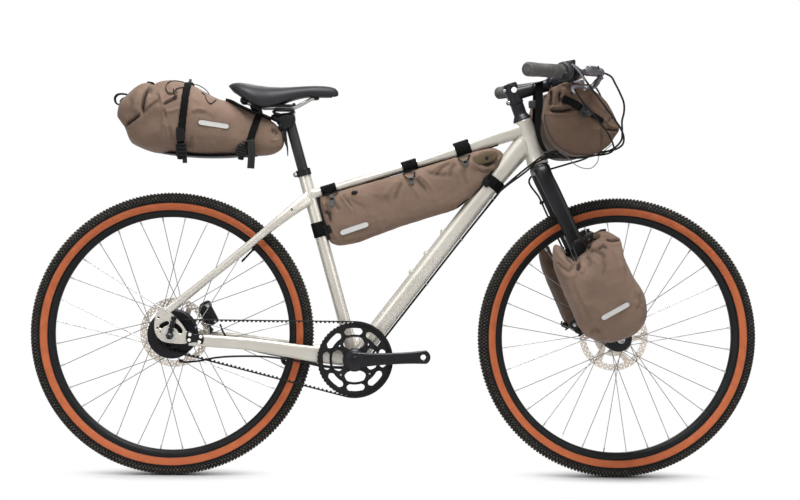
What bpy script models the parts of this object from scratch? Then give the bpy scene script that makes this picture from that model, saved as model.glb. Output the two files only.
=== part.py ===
"""Touring bicycle with belt drive, gear hub, disc brakes and five bags.

Metres. +X is forward, +Y is the bicycle's left, +Z is up. The origin is on the ground,
midway between the two places where the tyres touch it.
"""

import math

import bmesh
import bpy
import numpy as np
from mathutils import Matrix, Quaternion, Vector

# Clearances
gap = 0.0003  # between pieces that touch
running_gap = 0.0008  # between a rotor and what it runs past

# Wheels
wheelbase = 1.150
axle_height = 0.363  # of both axles, in the places typed below
tyre_height = 0.0435  # from the rim's edge to the ground
tyre_width = 0.053
tyre_wall = 0.0035
rim_outer = 0.3195
rim_depth = 0.0199
rim_width = 0.028
spoke_radius = 0.0010
spokes_per_wheel = 32
round_steps = 40
rotor_radius = 0.090
rotor_thickness = 0.0018
rotor_band = 0.017

# Frame
bracket_x = -0.107
bracket_z = 0.304
bracket_shell_radius = 0.024
bracket_shell_width = 0.073
seat_angle = math.radians(74.1)
seat_tube_radius = 0.0159
seat_tube_top = 0.790
seatpost_radius = 0.0136
seatpost_insertion = 0.165
head_angle = math.radians(69.6)
head_x = 0.364
head_z = 0.811
head_length = 0.121
head_radius_low = 0.0275
head_radius_top = 0.0235
down_depth = 0.047
down_width = 0.043
down_flare = 0.012
rear_hub_width = 0.137
dropout_thickness = 0.008
axle_radius = 0.006

# Drive
belt_line = 0.047
belt_width = 0.012
belt_pitch = 0.011
belt_back = 0.0022  # from the pitch line to the belt's outside
tooth_tip_drop = 0.0007  # from the pitch line to the sprocket's tips
tooth_depth = 0.0040
front_teeth = 55
rear_teeth = 22
sprocket_thickness = 0.004
bolt_circle = 0.052
crank_length = 0.175
crank_tilt = math.radians(3.0)
crank_thickness = 0.014
crank_boss_radius = 0.0225
crank_eye_radius = 0.0165
crank_offset = 0.062
spindle_radius = 0.012
pedal_hole_radius = 0.0071

# Fork and cockpit
steerer_radius = 0.0143
fork_leg_y_top = 0.048
fork_leg_y_low = 0.060
fork_eye_radius = 0.017
front_axle_radius = 0.0075
front_hub_width = 0.110
stem_low = 0.166
stem_high = 0.2185
stem_length = 0.10916  # from the steerer to the bar
stem_slope = math.radians(15.848)
bar_clamp_radius = 0.0159
bar_radius = 0.0111
grip_radius = 0.0165
grip_length = 0.1495
fixed_grip_length = 0.085
grip_sweep = math.radians(40.0)
grip_end_back = 0.1084  # behind the bar's middle
grip_end_y = 0.345
grip_end_rise = 0.0025
shifter_radius = 0.0254
shifter_length = 0.026
lever_clamp_place = 0.200
lever_drop = math.radians(42.0)
lever_pivot_along = 0.268
lever_pivot_reach = 0.038

# Bags
frame_bag_width = 0.060
saddle_bag_width = 0.170
handlebar_bag_length = 0.350
handlebar_bag_ahead = 0.047  # from the bar's middle
handlebar_bag_drop = 0.109
handlebar_bag_low_top = 0.070  # above the bag's own middle
fork_bag_depth = 0.118
fork_bag_y = 0.0765
strap_thickness = 0.0022
strap_play = 0.0004
strap_width = 0.032

# Places worked out from the values above
tyre_radius = rim_outer + tyre_height
rim_inner = rim_outer - rim_depth
rear_centre = Vector((-wheelbase / 2, 0, axle_height))
front_centre = Vector((wheelbase / 2, 0, axle_height))
bracket = Vector((bracket_x, 0, bracket_z))
seat_up = Vector((-math.cos(seat_angle), 0, math.sin(seat_angle)))
head_up = Vector((-math.cos(head_angle), 0, math.sin(head_angle)))
head_base = Vector((head_x, 0, head_z))
side_axis = Vector((0, 1, 0))
front_pitch_radius = front_teeth * belt_pitch / (2 * math.pi)
rear_pitch_radius = rear_teeth * belt_pitch / (2 * math.pi)
dropout_y = rear_hub_width / 2 + dropout_thickness / 2


def clear_scene():
    for thing in list(bpy.data.objects):
        bpy.data.objects.remove(thing, do_unlink=True)


def collection(name, hidden=False):
    made = bpy.data.collections.new(name)
    bpy.context.scene.collection.children.link(made)
    made.hide_render = hidden
    return made


clear_scene()
parts = collection("touring_bicycle")
cutters = collection("cutters", hidden=True)
materials = {}


def finish(name, colour, roughness, metallic=0.0):
    """A material with its colour written as sRGB values from 0 to 255."""
    linear = [((c / 255 + 0.055) / 1.055) ** 2.4 if c > 10 else c / 3294.6 for c in colour]
    made = bpy.data.materials.new(name)
    made.use_nodes = True
    shader = made.node_tree.nodes["Principled BSDF"]
    shader.inputs["Base Color"].default_value = (*linear, 1)
    shader.inputs["Roughness"].default_value = roughness
    shader.inputs["Metallic"].default_value = metallic
    made.diffuse_color = (*linear, 1)
    materials[name] = made


finish("frame_paint", (200, 196, 184), 0.38, 0.5)
finish("black_paint", (44, 44, 48), 0.45, 0.2)
finish("bag_fabric", (125, 105, 92), 0.85)
finish("strap_webbing", (40, 40, 40), 0.9)
finish("tyre_rubber", (50, 48, 45), 0.9)
finish("rim_black", (38, 41, 42), 0.5, 0.3)
finish("hub_black", (34, 34, 36), 0.4, 0.4)
finish("rotor_steel", (205, 190, 160), 0.35, 0.9)
finish("polished_metal", (196, 196, 198), 0.3, 0.9)
finish("belt_black", (30, 30, 32), 0.7)
finish("grip_rubber", (92, 88, 86), 0.85)
finish("saddle_cover", (58, 54, 58), 0.7)
finish("lever_metal", (150, 147, 150), 0.4, 0.6)
finish("hose_black", (36, 36, 38), 0.5)


def show(thing, slot):
    """Files a finished part with its material."""
    for group in list(thing.users_collection):
        group.objects.unlink(thing)
    parts.objects.link(thing)
    thing.data.materials.clear()
    thing.data.materials.append(materials[slot])
    return thing


def as_cutter(thing):
    for group in list(thing.users_collection):
        group.objects.unlink(thing)
    cutters.objects.link(thing)
    thing.hide_render = True
    thing.display_type = "WIRE"
    return thing


def object_from(name, verts, faces):
    mesh = bpy.data.meshes.new(name)
    mesh.from_pydata([tuple(v) for v in verts], [], faces)
    made = bpy.data.objects.new(name, mesh)
    cutters.objects.link(made)
    shape = bmesh.new()
    shape.from_mesh(mesh)
    bmesh.ops.recalc_face_normals(shape, faces=shape.faces)
    shape.to_mesh(mesh)
    shape.free()
    return made


def smooth(thing, angle=40):
    thing.data.shade_smooth()
    thing.data.set_sharp_from_angle(angle=math.radians(angle))
    return thing


def realise(thing):
    """Turns a curve or a modified object into a plain closed mesh in the same place."""
    bpy.context.view_layer.update()
    graph = bpy.context.evaluated_depsgraph_get()
    mesh = bpy.data.meshes.new_from_object(thing.evaluated_get(graph))
    made = bpy.data.objects.new(thing.name + "_mesh", mesh)
    made.matrix_world = thing.matrix_world.copy()
    name = thing.name
    cutters.objects.link(made)
    bpy.data.objects.remove(thing, do_unlink=True)
    made.name = name
    shape = bmesh.new()
    shape.from_mesh(mesh)
    bmesh.ops.remove_doubles(shape, verts=shape.verts, dist=0.00001)
    bmesh.ops.recalc_face_normals(shape, faces=shape.faces)
    shape.to_mesh(mesh)
    shape.free()
    return made


def boolean(thing, other, operation):
    change = thing.modifiers.new(operation.lower(), "BOOLEAN")
    change.operation = operation
    change.object = as_cutter(other)
    change.solver = "EXACT"
    return thing


def cut(thing, *others):
    for other in others:
        boolean(thing, other, "DIFFERENCE")
    return thing


def join(thing, *others):
    for other in others:
        boolean(thing, other, "UNION")
    return thing


def turned(name, profile, base, axis, steps=round_steps):
    """Turns a profile of (radius, distance along the axis) round the axis with a Screw."""
    area = sum(
        a[0] * b[1] - b[0] * a[1] for a, b in zip(profile, profile[1:] + profile[:1])
    )
    points = profile if area < 0 else profile[::-1]
    closed = min(r for r, _ in profile) > 1e-6
    if not closed:
        axis_points = [i for i, (r, _) in enumerate(points) if r < 1e-6]
        while not (points[0][0] < 1e-6 and points[-1][0] < 1e-6):
            points = points[1:] + points[:1]
            if len(axis_points) < 2:
                raise ValueError(name + " needs two points on its axis")
    mesh = bpy.data.meshes.new(name)
    edges = [(i, i + 1) for i in range(len(points) - 1)]
    if closed:
        edges.append((len(points) - 1, 0))
    mesh.from_pydata([(r, 0, s) for r, s in points], edges, [])
    made = bpy.data.objects.new(name, mesh)
    cutters.objects.link(made)
    screw = made.modifiers.new("turn", "SCREW")
    screw.axis = "Z"
    screw.steps = steps
    screw.render_steps = steps
    screw.use_merge_vertices = True
    screw.merge_threshold = 0.00001
    made.location = base
    made.rotation_euler = Vector(axis).to_track_quat("Z", "Y").to_euler()
    return made


def rod(name, start, end, radius, sides=24):
    """A plain round bar between two points."""
    shape = bmesh.new()
    start = Vector(start)
    run = Vector(end) - start
    bmesh.ops.create_cone(
        shape, cap_ends=True, segments=sides, radius1=radius, radius2=radius, depth=run.length,
        matrix=Matrix.Rotation(0.13, 4, "Z"),
    )
    mesh = bpy.data.meshes.new(name)
    shape.to_mesh(mesh)
    shape.free()
    made = bpy.data.objects.new(name, mesh)
    cutters.objects.link(made)
    made.location = start + run / 2
    made.rotation_euler = run.to_track_quat("Z", "Y").to_euler()
    return made


def block(name, centre, size, turn=(0, 0, 0), bevel=0.0, segments=2):
    """A box with its edges rounded by a Bevel."""
    shape = bmesh.new()
    bmesh.ops.create_cube(shape, size=1, matrix=Matrix.Diagonal((*size, 1)))
    mesh = bpy.data.meshes.new(name)
    shape.to_mesh(mesh)
    shape.free()
    made = bpy.data.objects.new(name, mesh)
    cutters.objects.link(made)
    made.location = centre
    made.rotation_euler = turn
    if bevel:
        rounding = made.modifiers.new("rounding", "BEVEL")
        rounding.width = bevel
        rounding.segments = segments
        rounding.limit_method = "NONE"
    return made


def thin_out(points, tolerance):
    """Keeps the points without which the line would leave the curve by more than the tolerance."""
    first, last = points[0], points[-1]
    run = last - first
    length = np.linalg.norm(run)
    if len(points) < 3:
        return [first, last]
    away = points - first
    along = np.clip(away @ run / length ** 2, 0, 1)
    off = np.linalg.norm(away - np.outer(along, run), axis=1)
    worst = int(np.argmax(off))
    if off[worst] < tolerance:
        return [first, last]
    return thin_out(points[: worst + 1], tolerance)[:-1] + thin_out(points[worst:], tolerance)


def smooth_path(points, tolerance):
    """A centripetal curve through the chosen points, thinned out to the tolerance."""
    chosen = [np.array(p, float) for p in points]
    first = chosen[0] * 2 - chosen[1]
    last = chosen[-1] * 2 - chosen[-2]
    padded = [first, *chosen, last]
    dense = []
    for a, b, c, d in zip(padded, padded[1:], padded[2:], padded[3:]):
        t1 = np.linalg.norm(b - a) ** 0.5
        t2 = t1 + np.linalg.norm(c - b) ** 0.5
        t3 = t2 + np.linalg.norm(d - c) ** 0.5
        for t in np.linspace(t1, t2, 12, endpoint=False):
            ab = (t1 - t) / t1 * a + t / t1 * b
            bc = (t2 - t) / (t2 - t1) * b + (t - t1) / (t2 - t1) * c
            cd = (t3 - t) / (t3 - t2) * c + (t - t2) / (t3 - t2) * d
            abc = (t2 - t) / t2 * ab + t / t2 * bc
            bcd = (t3 - t) / (t3 - t1) * bc + (t - t1) / (t3 - t1) * cd
            dense.append((t2 - t) / (t2 - t1) * abc + (t - t1) / (t2 - t1) * bcd)
    dense.append(chosen[-1])
    return thin_out(np.array(dense), tolerance)


def pipe(name, points, radius, resolution=2):
    """A round wire, hose or tube along its points, with closed ends."""
    curve = bpy.data.curves.new(name, "CURVE")
    curve.dimensions = "3D"
    line = curve.splines.new("POLY")
    line.points.add(len(points) - 1)
    for point, place in zip(line.points, points):
        point.co = (*place, 1)
    curve.bevel_depth = radius
    curve.bevel_resolution = resolution
    curve.use_fill_caps = True
    made = bpy.data.objects.new(name, curve)
    cutters.objects.link(made)
    return made


def plate(name, outlines, y, thickness):
    """A flat plate standing in the bicycle's plane, cut along closed outlines of (x, z) points."""
    curve = bpy.data.curves.new(name, "CURVE")
    curve.dimensions = "2D"
    curve.fill_mode = "BOTH"
    curve.extrude = thickness / 2
    for outline in outlines:
        line = curve.splines.new("POLY")
        line.points.add(len(outline) - 1)
        for point, (x, z) in zip(line.points, outline):
            point.co = (x, z, 0, 1)
        line.use_cyclic_u = True
    made = bpy.data.objects.new(name, curve)
    cutters.objects.link(made)
    made.rotation_euler = (math.pi / 2, 0, 0)
    made.location = (0, y, 0)
    return realise(made)


def loft(name, rings):
    """A closed body over rings that hold the same number of points."""
    count = len(rings[0])
    verts = [p for ring in rings for p in ring]
    faces = []
    for i in range(len(rings) - 1):
        for k in range(count):
            after = (k + 1) % count
            low, high = i * count, (i + 1) * count
            faces.append((low + k, low + after, high + after, high + k))
    faces.append(tuple(range(count)))
    faces.append(tuple(range(len(verts) - count, len(verts))))
    return object_from(name, verts, faces)


def ring_at(centre, across, up, half_width, half_height, count=16, power=2.4):
    """A rounded section: a superellipse of the given power."""
    centre, across, up = Vector(centre), Vector(across), Vector(up)
    made = []
    for k in range(count):
        angle = 2 * math.pi * k / count
        c, s = math.cos(angle), math.sin(angle)
        u = math.copysign(abs(c) ** (2 / power), c) * half_width
        v = math.copysign(abs(s) ** (2 / power), s) * half_height
        made.append(centre + across * u + up * v)
    return made


def tube_rings(stations, grow=0.0, count=12, power=2.2):
    """Rings across a bent tube. A station is its centre, its half height and its half width."""
    rings = []
    for i, (centre, half_height, half_width) in enumerate(stations):
        before = Vector(stations[max(i - 1, 0)][0])
        after = Vector(stations[min(i + 1, len(stations) - 1)][0])
        along = (after - before).normalized()
        across = Vector((0, 1, 0))
        across = (across - along * across.dot(along)).normalized()
        up = along.cross(across)
        rings.append(
            ring_at(centre, across, up, half_width + grow, half_height + grow, count, power)
        )
    return rings


def between(stations, start, end):
    """The stations of a straight stretch of a tube, given as shares of two neighbouring stations."""
    (a, height_a, width_a), (b, height_b, width_b) = stations
    a, b = Vector(a), Vector(b)
    return [
        (a.lerp(b, t), height_a + (height_b - height_a) * t, width_a + (width_b - width_a) * t)
        for t in (start, end)
    ]


def arc(centre, radius, start, end, count):
    """(x, z) points on an arc, with angles in degrees from +X towards +Z."""
    return [
        (
            centre[0] + radius * math.cos(math.radians(a)),
            centre[1] + radius * math.sin(math.radians(a)),
        )
        for a in np.linspace(start, end, count)
    ]


def on_head(distance, ahead=0.0, side=0.0):
    """A point by the steering axis: distance up from the head tube's base, and ahead of it."""
    forward = Vector((head_up.z, 0, -head_up.x))
    return head_base + head_up * distance + forward * ahead + side_axis * side


def on_seat(distance):
    return bracket + seat_up * distance


# Wheels
def rim_profile():
    """Half of the rim's section, mirrored: floor, wall, lip and well, as radius and side."""
    half = rim_width / 2
    lip = 0.003
    outer = [
        (rim_inner, 0.2 * rim_width),
        (rim_inner + 0.0040, half - 0.0025),
        (rim_outer, half),
        (rim_outer - 0.004, half - lip),
    ]
    return outer + [(r, -y) for r, y in reversed(outer)]


def tyre_profile():
    """The tyre's section: its outside from bead to bead, and its inside back again."""
    half = tyre_width / 2
    bead = rim_outer + gap
    height = tyre_radius - bead
    outside = [(0.0, 0.52), (0.18, 0.83), (0.45, 1.0), (0.80, 0.85)]
    outer = [(bead + h * height, w * half) for h, w in outside] + [(tyre_radius, 0.0)]
    inside = [(0.0, 0.52), (0.45, 0.97)]
    inner = []
    for h, w in inside:
        inner.append((bead + h * (height - tyre_wall), w * half - tyre_wall))
    inner.append((tyre_radius - 1.6 * tyre_wall, 0.0))
    left = outer + [(r, -y) for r, y in reversed(outer[:-1])]
    right = [(r, -y) for r, y in inner[:-1]] + [inner[-1]] + [(r, y) for r, y in reversed(inner[:-1])]
    return left + right


def laced_hub(name, centre, hub_profile, flange_radius, flange_y, bore):
    """A hub shell with its crossed spokes, which end just inside the rim."""
    hub = realise(turned(name, hub_profile + [(bore, s) for s in bore_ends(hub_profile)],
                         centre, side_axis, 20))
    tip = rim_inner * math.cos(math.pi / round_steps) - 2 * gap
    curve = bpy.data.curves.new(name + "_spokes", "CURVE")
    curve.dimensions = "3D"
    curve.bevel_depth = spoke_radius
    curve.bevel_resolution = 0
    curve.use_fill_caps = True
    pairs = spokes_per_wheel // 4
    step = 2 * math.pi / spokes_per_wheel
    for k in range(spokes_per_wheel):
        side = 1 if k % 2 else -1
        leading = 1 if (k // 2) % 2 else -1
        at_rim = (k + 0.5) * step
        at_hub = at_rim + leading * 2 * math.pi / pairs * 0.86
        inset = 0.0016 * leading
        low = Vector((flange_radius * math.cos(at_hub), side * flange_y + inset,
                      flange_radius * math.sin(at_hub)))
        high = Vector((tip * math.cos(at_rim), side * 0.003, tip * math.sin(at_rim)))
        line = curve.splines.new("POLY")
        line.points.add(1)
        line.points[0].co = (*(centre + low), 1)
        line.points[1].co = (*(centre + high), 1)
    spokes = bpy.data.objects.new(name + "_spokes", curve)
    cutters.objects.link(spokes)
    return join(hub, realise(spokes))


def bore_ends(profile):
    return (profile[-1][1], profile[0][1])


def rotor(name, centre, y, bore):
    """A brake disc: a perforated band on five arms, seated on its hub."""
    inner = rotor_radius - rotor_band
    hub = bore + 0.010
    outlines = [arc((centre.x, centre.z), rotor_radius, 0, 351, 40)]
    outlines.append(arc((centre.x, centre.z), bore, 0, 337.5, 16))
    arms = 5
    for k in range(arms):
        start = 360 / arms * k
        sweep = 22
        window = arc((centre.x, centre.z), inner, start + 5, start + 67, 6)
        window += arc((centre.x, centre.z), hub, start + 60 - sweep, start + 12 - sweep, 4)
        outlines.append(window)
    return smooth(show(plate(name, outlines, y, rotor_thickness), "rotor_steel"))


def build_wheels():
    for name, centre in (("rear", rear_centre), ("front", front_centre)):
        smooth(show(realise(turned(name + "_tyre", tyre_profile(), centre, side_axis)), "tyre_rubber"))
        smooth(show(realise(turned(name + "_rim", rim_profile(), centre, side_axis)), "rim_black"))
    drum = [(0.020, -0.041), (0.0545, -0.036), (0.0620, -0.0335), (0.0620, -0.0285), (0.0575, -0.026),
            (0.0575, 0.026), (0.0620, 0.0285), (0.0620, 0.0335), (0.040, 0.038), (0.018, 0.040),
            (0.018, rear_rotor_y - rotor_thickness / 2 - gap)]
    show(laced_hub("rear_hub", rear_centre, drum, 0.0590, 0.031, axle_radius + gap), "hub_black")
    dynamo = [(0.014, -0.046), (0.020, -0.034), (0.0345, -0.032), (0.0345, -0.0265), (0.0300, -0.024),
              (0.0300, 0.022), (0.0345, 0.0245), (0.0345, 0.030), (0.020, 0.032),
              (0.018, front_rotor_y - rotor_thickness / 2 - gap)]
    show(laced_hub("front_hub", front_centre, dynamo, 0.0318, 0.0285, front_axle_radius + gap), "hub_black")
    rotor("rear_rotor", rear_centre, rear_rotor_y, axle_radius + 0.006)
    rotor("front_rotor", front_centre, front_rotor_y, front_axle_radius + 0.006)


rear_rotor_y = 0.0520
front_rotor_y = 0.0450


# Frame
down_meets_head = 0.0767  # up the head tube
down_start = Vector((bracket_x + 0.0026, 0, bracket_z))
down_run = on_head(down_meets_head) - down_start
down_along = down_run.normalized()
down_length = down_run.length
down_normal = Vector((-down_along.z, 0, down_along.x))


def on_down(distance, above=0.0, side=0.0):
    """A point on the down tube's centre line, lifted off it square to the tube."""
    return down_start + down_along * distance + down_normal * above + side_axis * side


def down_stations():
    half, wide = down_depth / 2, down_width / 2
    return [
        (on_down(0.0), half, wide),
        (on_down(down_length * 0.80), half, wide),
        (on_down(down_length * 0.92, -down_flare / 4), half + down_flare / 4, wide),
        (on_down(down_length, -down_flare / 2), half + down_flare / 2, wide),
    ]


def top_stations():
    """Centre, half height and half width, flat and slender at the seat and deep at the head."""
    seat_end = on_seat(top_meets_seat)
    head_end = on_head(top_meets_head)
    stations = []
    for share, sag, half_height, half_width in (
            (0.0, 0.0, 0.0110, 0.0150), (0.2272, 0.0005, 0.0100, 0.0170), (0.5076, 0.0013, 0.0108, 0.0180),
            (0.7304, 0.0012, 0.0175, 0.0185), (0.8562, 0.0, 0.0205, 0.0195), (1.0, 0.0, 0.0208, 0.0200)):
        stations.append((seat_end.lerp(head_end, share) - Vector((0, 0, sag)), half_height, half_width))
    return stations


def head_outer(grow=0.0, reach=0.0):
    slope = (head_radius_top - head_radius_low) / head_length
    return rod_cone("head_cutter", on_head(-reach), on_head(head_length + reach),
                    head_radius_low - slope * reach + grow, head_radius_top + slope * reach + grow)


def rod_cone(name, start, end, radius_low, radius_high, sides=32):
    made = turned(name, [(0, 0), (radius_low, 0), (radius_high, (end - start).length),
                         (0, (end - start).length)], start, end - start, sides)
    twist = Quaternion((0, 0, 1), 0.05)
    made.rotation_euler = ((end - start).to_track_quat("Z", "Y") @ twist).to_euler()
    return made


def shell_cutter():
    half = Vector((0, bracket_shell_width, 0))
    return rod("shell_cutter", bracket - half, bracket + half, bracket_shell_radius + gap, 32)


def seat_cutter(extra=gap):
    return rod("seat_cutter", on_seat(-0.05), on_seat(0.6), seat_tube_radius + extra, 24)


def side_point(x, y, z, side):
    return Vector((x, y * side, z))


def by_axle(ahead, y, above, side):
    """A point placed from the rear axle's middle."""
    return Vector((rear_centre.x + ahead, y * side, rear_centre.z + above))


def chainstay_stations(side):
    return [
        (side_point(-0.112, 0.026, 0.305, side), 0.0215, 0.0085),
        (side_point(-0.200, 0.0315, 0.3145, side), 0.0205, 0.0085),
        (side_point(-0.270, 0.0430, 0.3250, side), 0.0185, 0.0085),
        (by_axle(0.195, 0.0590, -0.0210, side), 0.0155, 0.0085),
        (by_axle(0.095, dropout_y - 0.001, -0.0130, side), 0.0150, 0.0080),
        (by_axle(0.048, dropout_y, -0.0105, side), 0.0145, 0.0065),
    ]


def seatstay_stations(side):
    return [
        (side_point(-0.228, 0.010, 0.7190, side), 0.0120, 0.0075),
        (side_point(-0.262, 0.026, 0.6930, side), 0.0118, 0.0075),
        (side_point(-0.310, 0.0410, 0.6530, side), 0.0108, 0.0075),
        (by_axle(0.175, 0.0490, 0.2135, side), 0.0095, 0.0075),
        (by_axle(0.058, 0.0640, 0.1170, side), 0.0085, 0.0070),
        (by_axle(0.015, dropout_y - 0.001, 0.0815, side), 0.0095, 0.0060),
        (by_axle(-0.009, dropout_y, 0.0615, side), 0.0100, 0.0050),
    ]


def dropout_outline():
    """Round the rear axle."""
    outline = [(-0.0210, 0.0700), (-0.0320, 0.0610), (-0.0390, 0.0370), (-0.0390, 0.0140),
               (-0.0320, -0.0030), (-0.0190, -0.0140), (-0.0050, -0.0180), (0.0420, -0.0190),
               (0.0510, -0.0100), (0.0510, 0.0030), (0.0420, 0.0110), (0.0310, 0.0270),
               (0.0150, 0.0450), (-0.0010, 0.0600), (-0.0100, 0.0700)]
    return [(rear_centre.x + ahead, rear_centre.z + above) for ahead, above in outline]


def kidney(centre, radius, start, end, half_width):
    """A curved slot: two arcs about one centre."""
    outer = arc(centre, radius + half_width, start, end, 6)
    inner = arc(centre, radius - half_width, end, start, 6)
    return outer + inner


def build_frame():
    shell = turned("bottom_bracket_shell",
                   [(bracket_shell_radius, -bracket_shell_width / 2),
                    (bracket_shell_radius, bracket_shell_width / 2),
                    (spindle_radius + 2 * gap, bracket_shell_width / 2),
                    (spindle_radius + 2 * gap, -bracket_shell_width / 2)],
                   bracket, side_axis, 28)
    smooth(show(realise(shell), "frame_paint"))

    head = turned("head_tube",
                  [(head_radius_low, 0), (head_radius_top, head_length),
                   (steerer_radius + 0.002, head_length), (steerer_radius + 0.002, 0)],
                  head_base, head_up, 28)
    smooth(show(realise(head), "frame_paint"))

    down = loft("down_tube", tube_rings(down_stations()))
    bosses = [rod("boss", on_down(s, down_depth / 2 - 0.003), on_down(s, down_depth / 2 + 0.003), 0.0055, 12)
              for s in boss_places]
    cut(down, head_outer(gap, 0.05), shell_cutter())
    join(down, *bosses)
    smooth(show(down, "frame_paint"))

    seat = turned("seat_tube",
                  [(seat_tube_radius, 0), (seat_tube_radius, seat_tube_length),
                   (seatpost_radius + gap, seat_tube_length), (seatpost_radius + gap, 0)],
                  bracket, seat_up, 24)
    seat = realise(seat)
    cut(seat, shell_cutter(), loft("down_cutter", tube_rings(down_stations(), gap)))
    smooth(show(seat, "frame_paint"))

    top = loft("top_tube", tube_rings(top_stations()))
    cut(top, head_outer(gap, 0.05), seat_cutter(), loft("down_cutter", tube_rings(down_stations(), gap)))
    smooth(show(top, "frame_paint"))

    collar = turned("seat_collar",
                    [(seat_tube_radius + gap, 0), (0.0185, 0), (0.0185, 0.018),
                     (seat_tube_radius + gap, 0.018)],
                    on_seat(seat_tube_length - 0.017), seat_up, 20)
    lug_middle = on_seat(seat_tube_length - 0.008) + Vector((-0.0205, 0, -0.0055))
    collar = realise(collar)
    join(collar, block("lug", lug_middle, (0.0080, 0.016, 0.011), (0, seat_angle - math.pi / 2, 0), 0.002, 1))
    smooth(show(collar, "black_paint"))

    for word, side in (("right", -1), ("left", 1)):
        chainstay = loft("chainstay_" + word, tube_rings(chainstay_stations(side), power=2.6))
        cut(chainstay, shell_cutter(), seat_cutter(),
            plate("dropout_cutter", [dropout_grown()], side * dropout_y, dropout_thickness + 0.02))
        smooth(show(chainstay, "frame_paint"))
        seatstay = loft("seatstay_" + word, tube_rings(seatstay_stations(side), power=2.4))
        cut(seatstay, seat_cutter(), loft("top_cutter", tube_rings(top_stations(), gap)),
            block("middle", (-0.25, -side * 0.05, 0.70), (0.2, 0.1 + 2 * gap, 0.2)),
            plate("dropout_cutter", [dropout_grown()], side * dropout_y, dropout_thickness + 0.02))
        smooth(show(seatstay, "frame_paint"))
        hub = (rear_centre.x, rear_centre.z)
        holes = [arc(hub, axle_radius + gap, 0, 345, 24)]
        if side < 0:
            holes.append(kidney(hub, 0.028, 112, 152, 0.0062))
            holes.append(kidney(hub, 0.026, 28, 76, 0.0062))
        smooth(show(plate("dropout_" + word, [dropout_outline(), *holes], side * dropout_y,
                          dropout_thickness), "frame_paint"))

    reach = rear_hub_width / 2 + dropout_thickness
    nut = 0.009
    axle = turned("rear_axle",
                  [(0, -reach - nut), (0.0055, -reach - nut), (0.0100, -reach - 0.007), (0.0100, -reach - gap),
                   (axle_radius, -reach - gap), (axle_radius, reach + gap), (0.0100, reach + gap),
                   (0.0100, reach + 0.007), (0.0055, reach + nut), (0, reach + nut)],
                  rear_centre, side_axis, 20)
    smooth(show(realise(axle), "polished_metal"))


boss_places = (0.2640, 0.3260, 0.3960)
top_meets_seat = 0.436
top_meets_head = 0.0990
seat_tube_length = (seat_tube_top - bracket_z) / math.sin(seat_angle)


def dropout_grown():
    """The dropout's outline pushed out by the gap from its middle."""
    points = dropout_outline()
    middle = Vector((sum(p[0] for p in points) / len(points), sum(p[1] for p in points) / len(points)))
    grown = []
    for x, z in points:
        away = (Vector((x, z)) - middle).normalized() * gap * 1.6
        grown.append((x + away.x, z + away.y))
    return grown


def caliper(name, centre, angle, y, foot, stay):
    """A brake caliper slotted for its rotor, with a foot hollowed to the stay that carries it."""
    radial = Vector((math.cos(angle), 0, math.sin(angle)))
    middle = centre + radial * (rotor_radius + 0.0070) + side_axis * y
    turn = (0, -angle, 0)
    body = block(name, middle, (0.052, 0.034, 0.062), turn, 0.006, 2)
    rotor_slot = block("rotor_slot", centre + radial * (rotor_radius - 0.030) + side_axis * y,
                       (0.070, rotor_thickness + 2 * running_gap, 0.090), turn)
    join(body, block("caliper_foot", Vector(foot[0]), foot[1], foot[2], 0.002, 1))
    cut(body, rotor_slot, stay)
    return smooth(show(body, "black_paint"))


def build_brakes():
    stay = loft("stay_cutter", tube_rings(chainstay_stations(1), gap, power=2.6))
    caliper("rear_brake_caliper", rear_centre, math.radians(28.5), rear_rotor_y,
            (by_axle(0.095, 0.0630, 0.0030, 1), (0.040, 0.013, 0.026), (0, math.radians(-6), 0)), stay)
    leg = loft("leg_cutter", tube_rings(fork_leg_stations(1), gap, power=2.4))
    caliper("front_brake_caliper", front_centre, math.radians(152), front_rotor_y,
            (front_centre + Vector((-0.063, 0.056, 0.066)), (0.040, 0.012, 0.034), (0, math.radians(-26), 0)), leg)


# Belt drive
def toothed(centre, pitch_radius, teeth):
    """The outline of a belt sprocket: flat tips with a valley between each two."""
    tip = pitch_radius - tooth_tip_drop
    root = tip - tooth_depth
    step = 360 / teeth
    points = []
    for k in range(teeth):
        for share, radius in ((0.0, tip), (0.36, tip), (0.68, root)):
            angle = math.radians((k + share - 0.18) * step)
            points.append((centre.x + radius * math.cos(angle), centre.z + radius * math.sin(angle)))
    return points


def belt_outline(rise):
    """Both pulleys' arcs at one height over the pitch line, joined by their tangents."""
    front_radius, rear_radius = front_pitch_radius + rise, rear_pitch_radius + rise
    run = bracket - rear_centre
    slope = math.degrees(math.atan2(run.z, run.x))
    lean = math.degrees(math.asin((front_radius - rear_radius) / run.length))
    upper, lower = slope + 90 + lean, slope - 90 - lean
    front = arc((bracket.x, bracket.z), front_radius, lower, upper, 30)
    rear = arc((rear_centre.x, rear_centre.z), rear_radius, upper, lower + 360, 16)
    return front + rear


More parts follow.
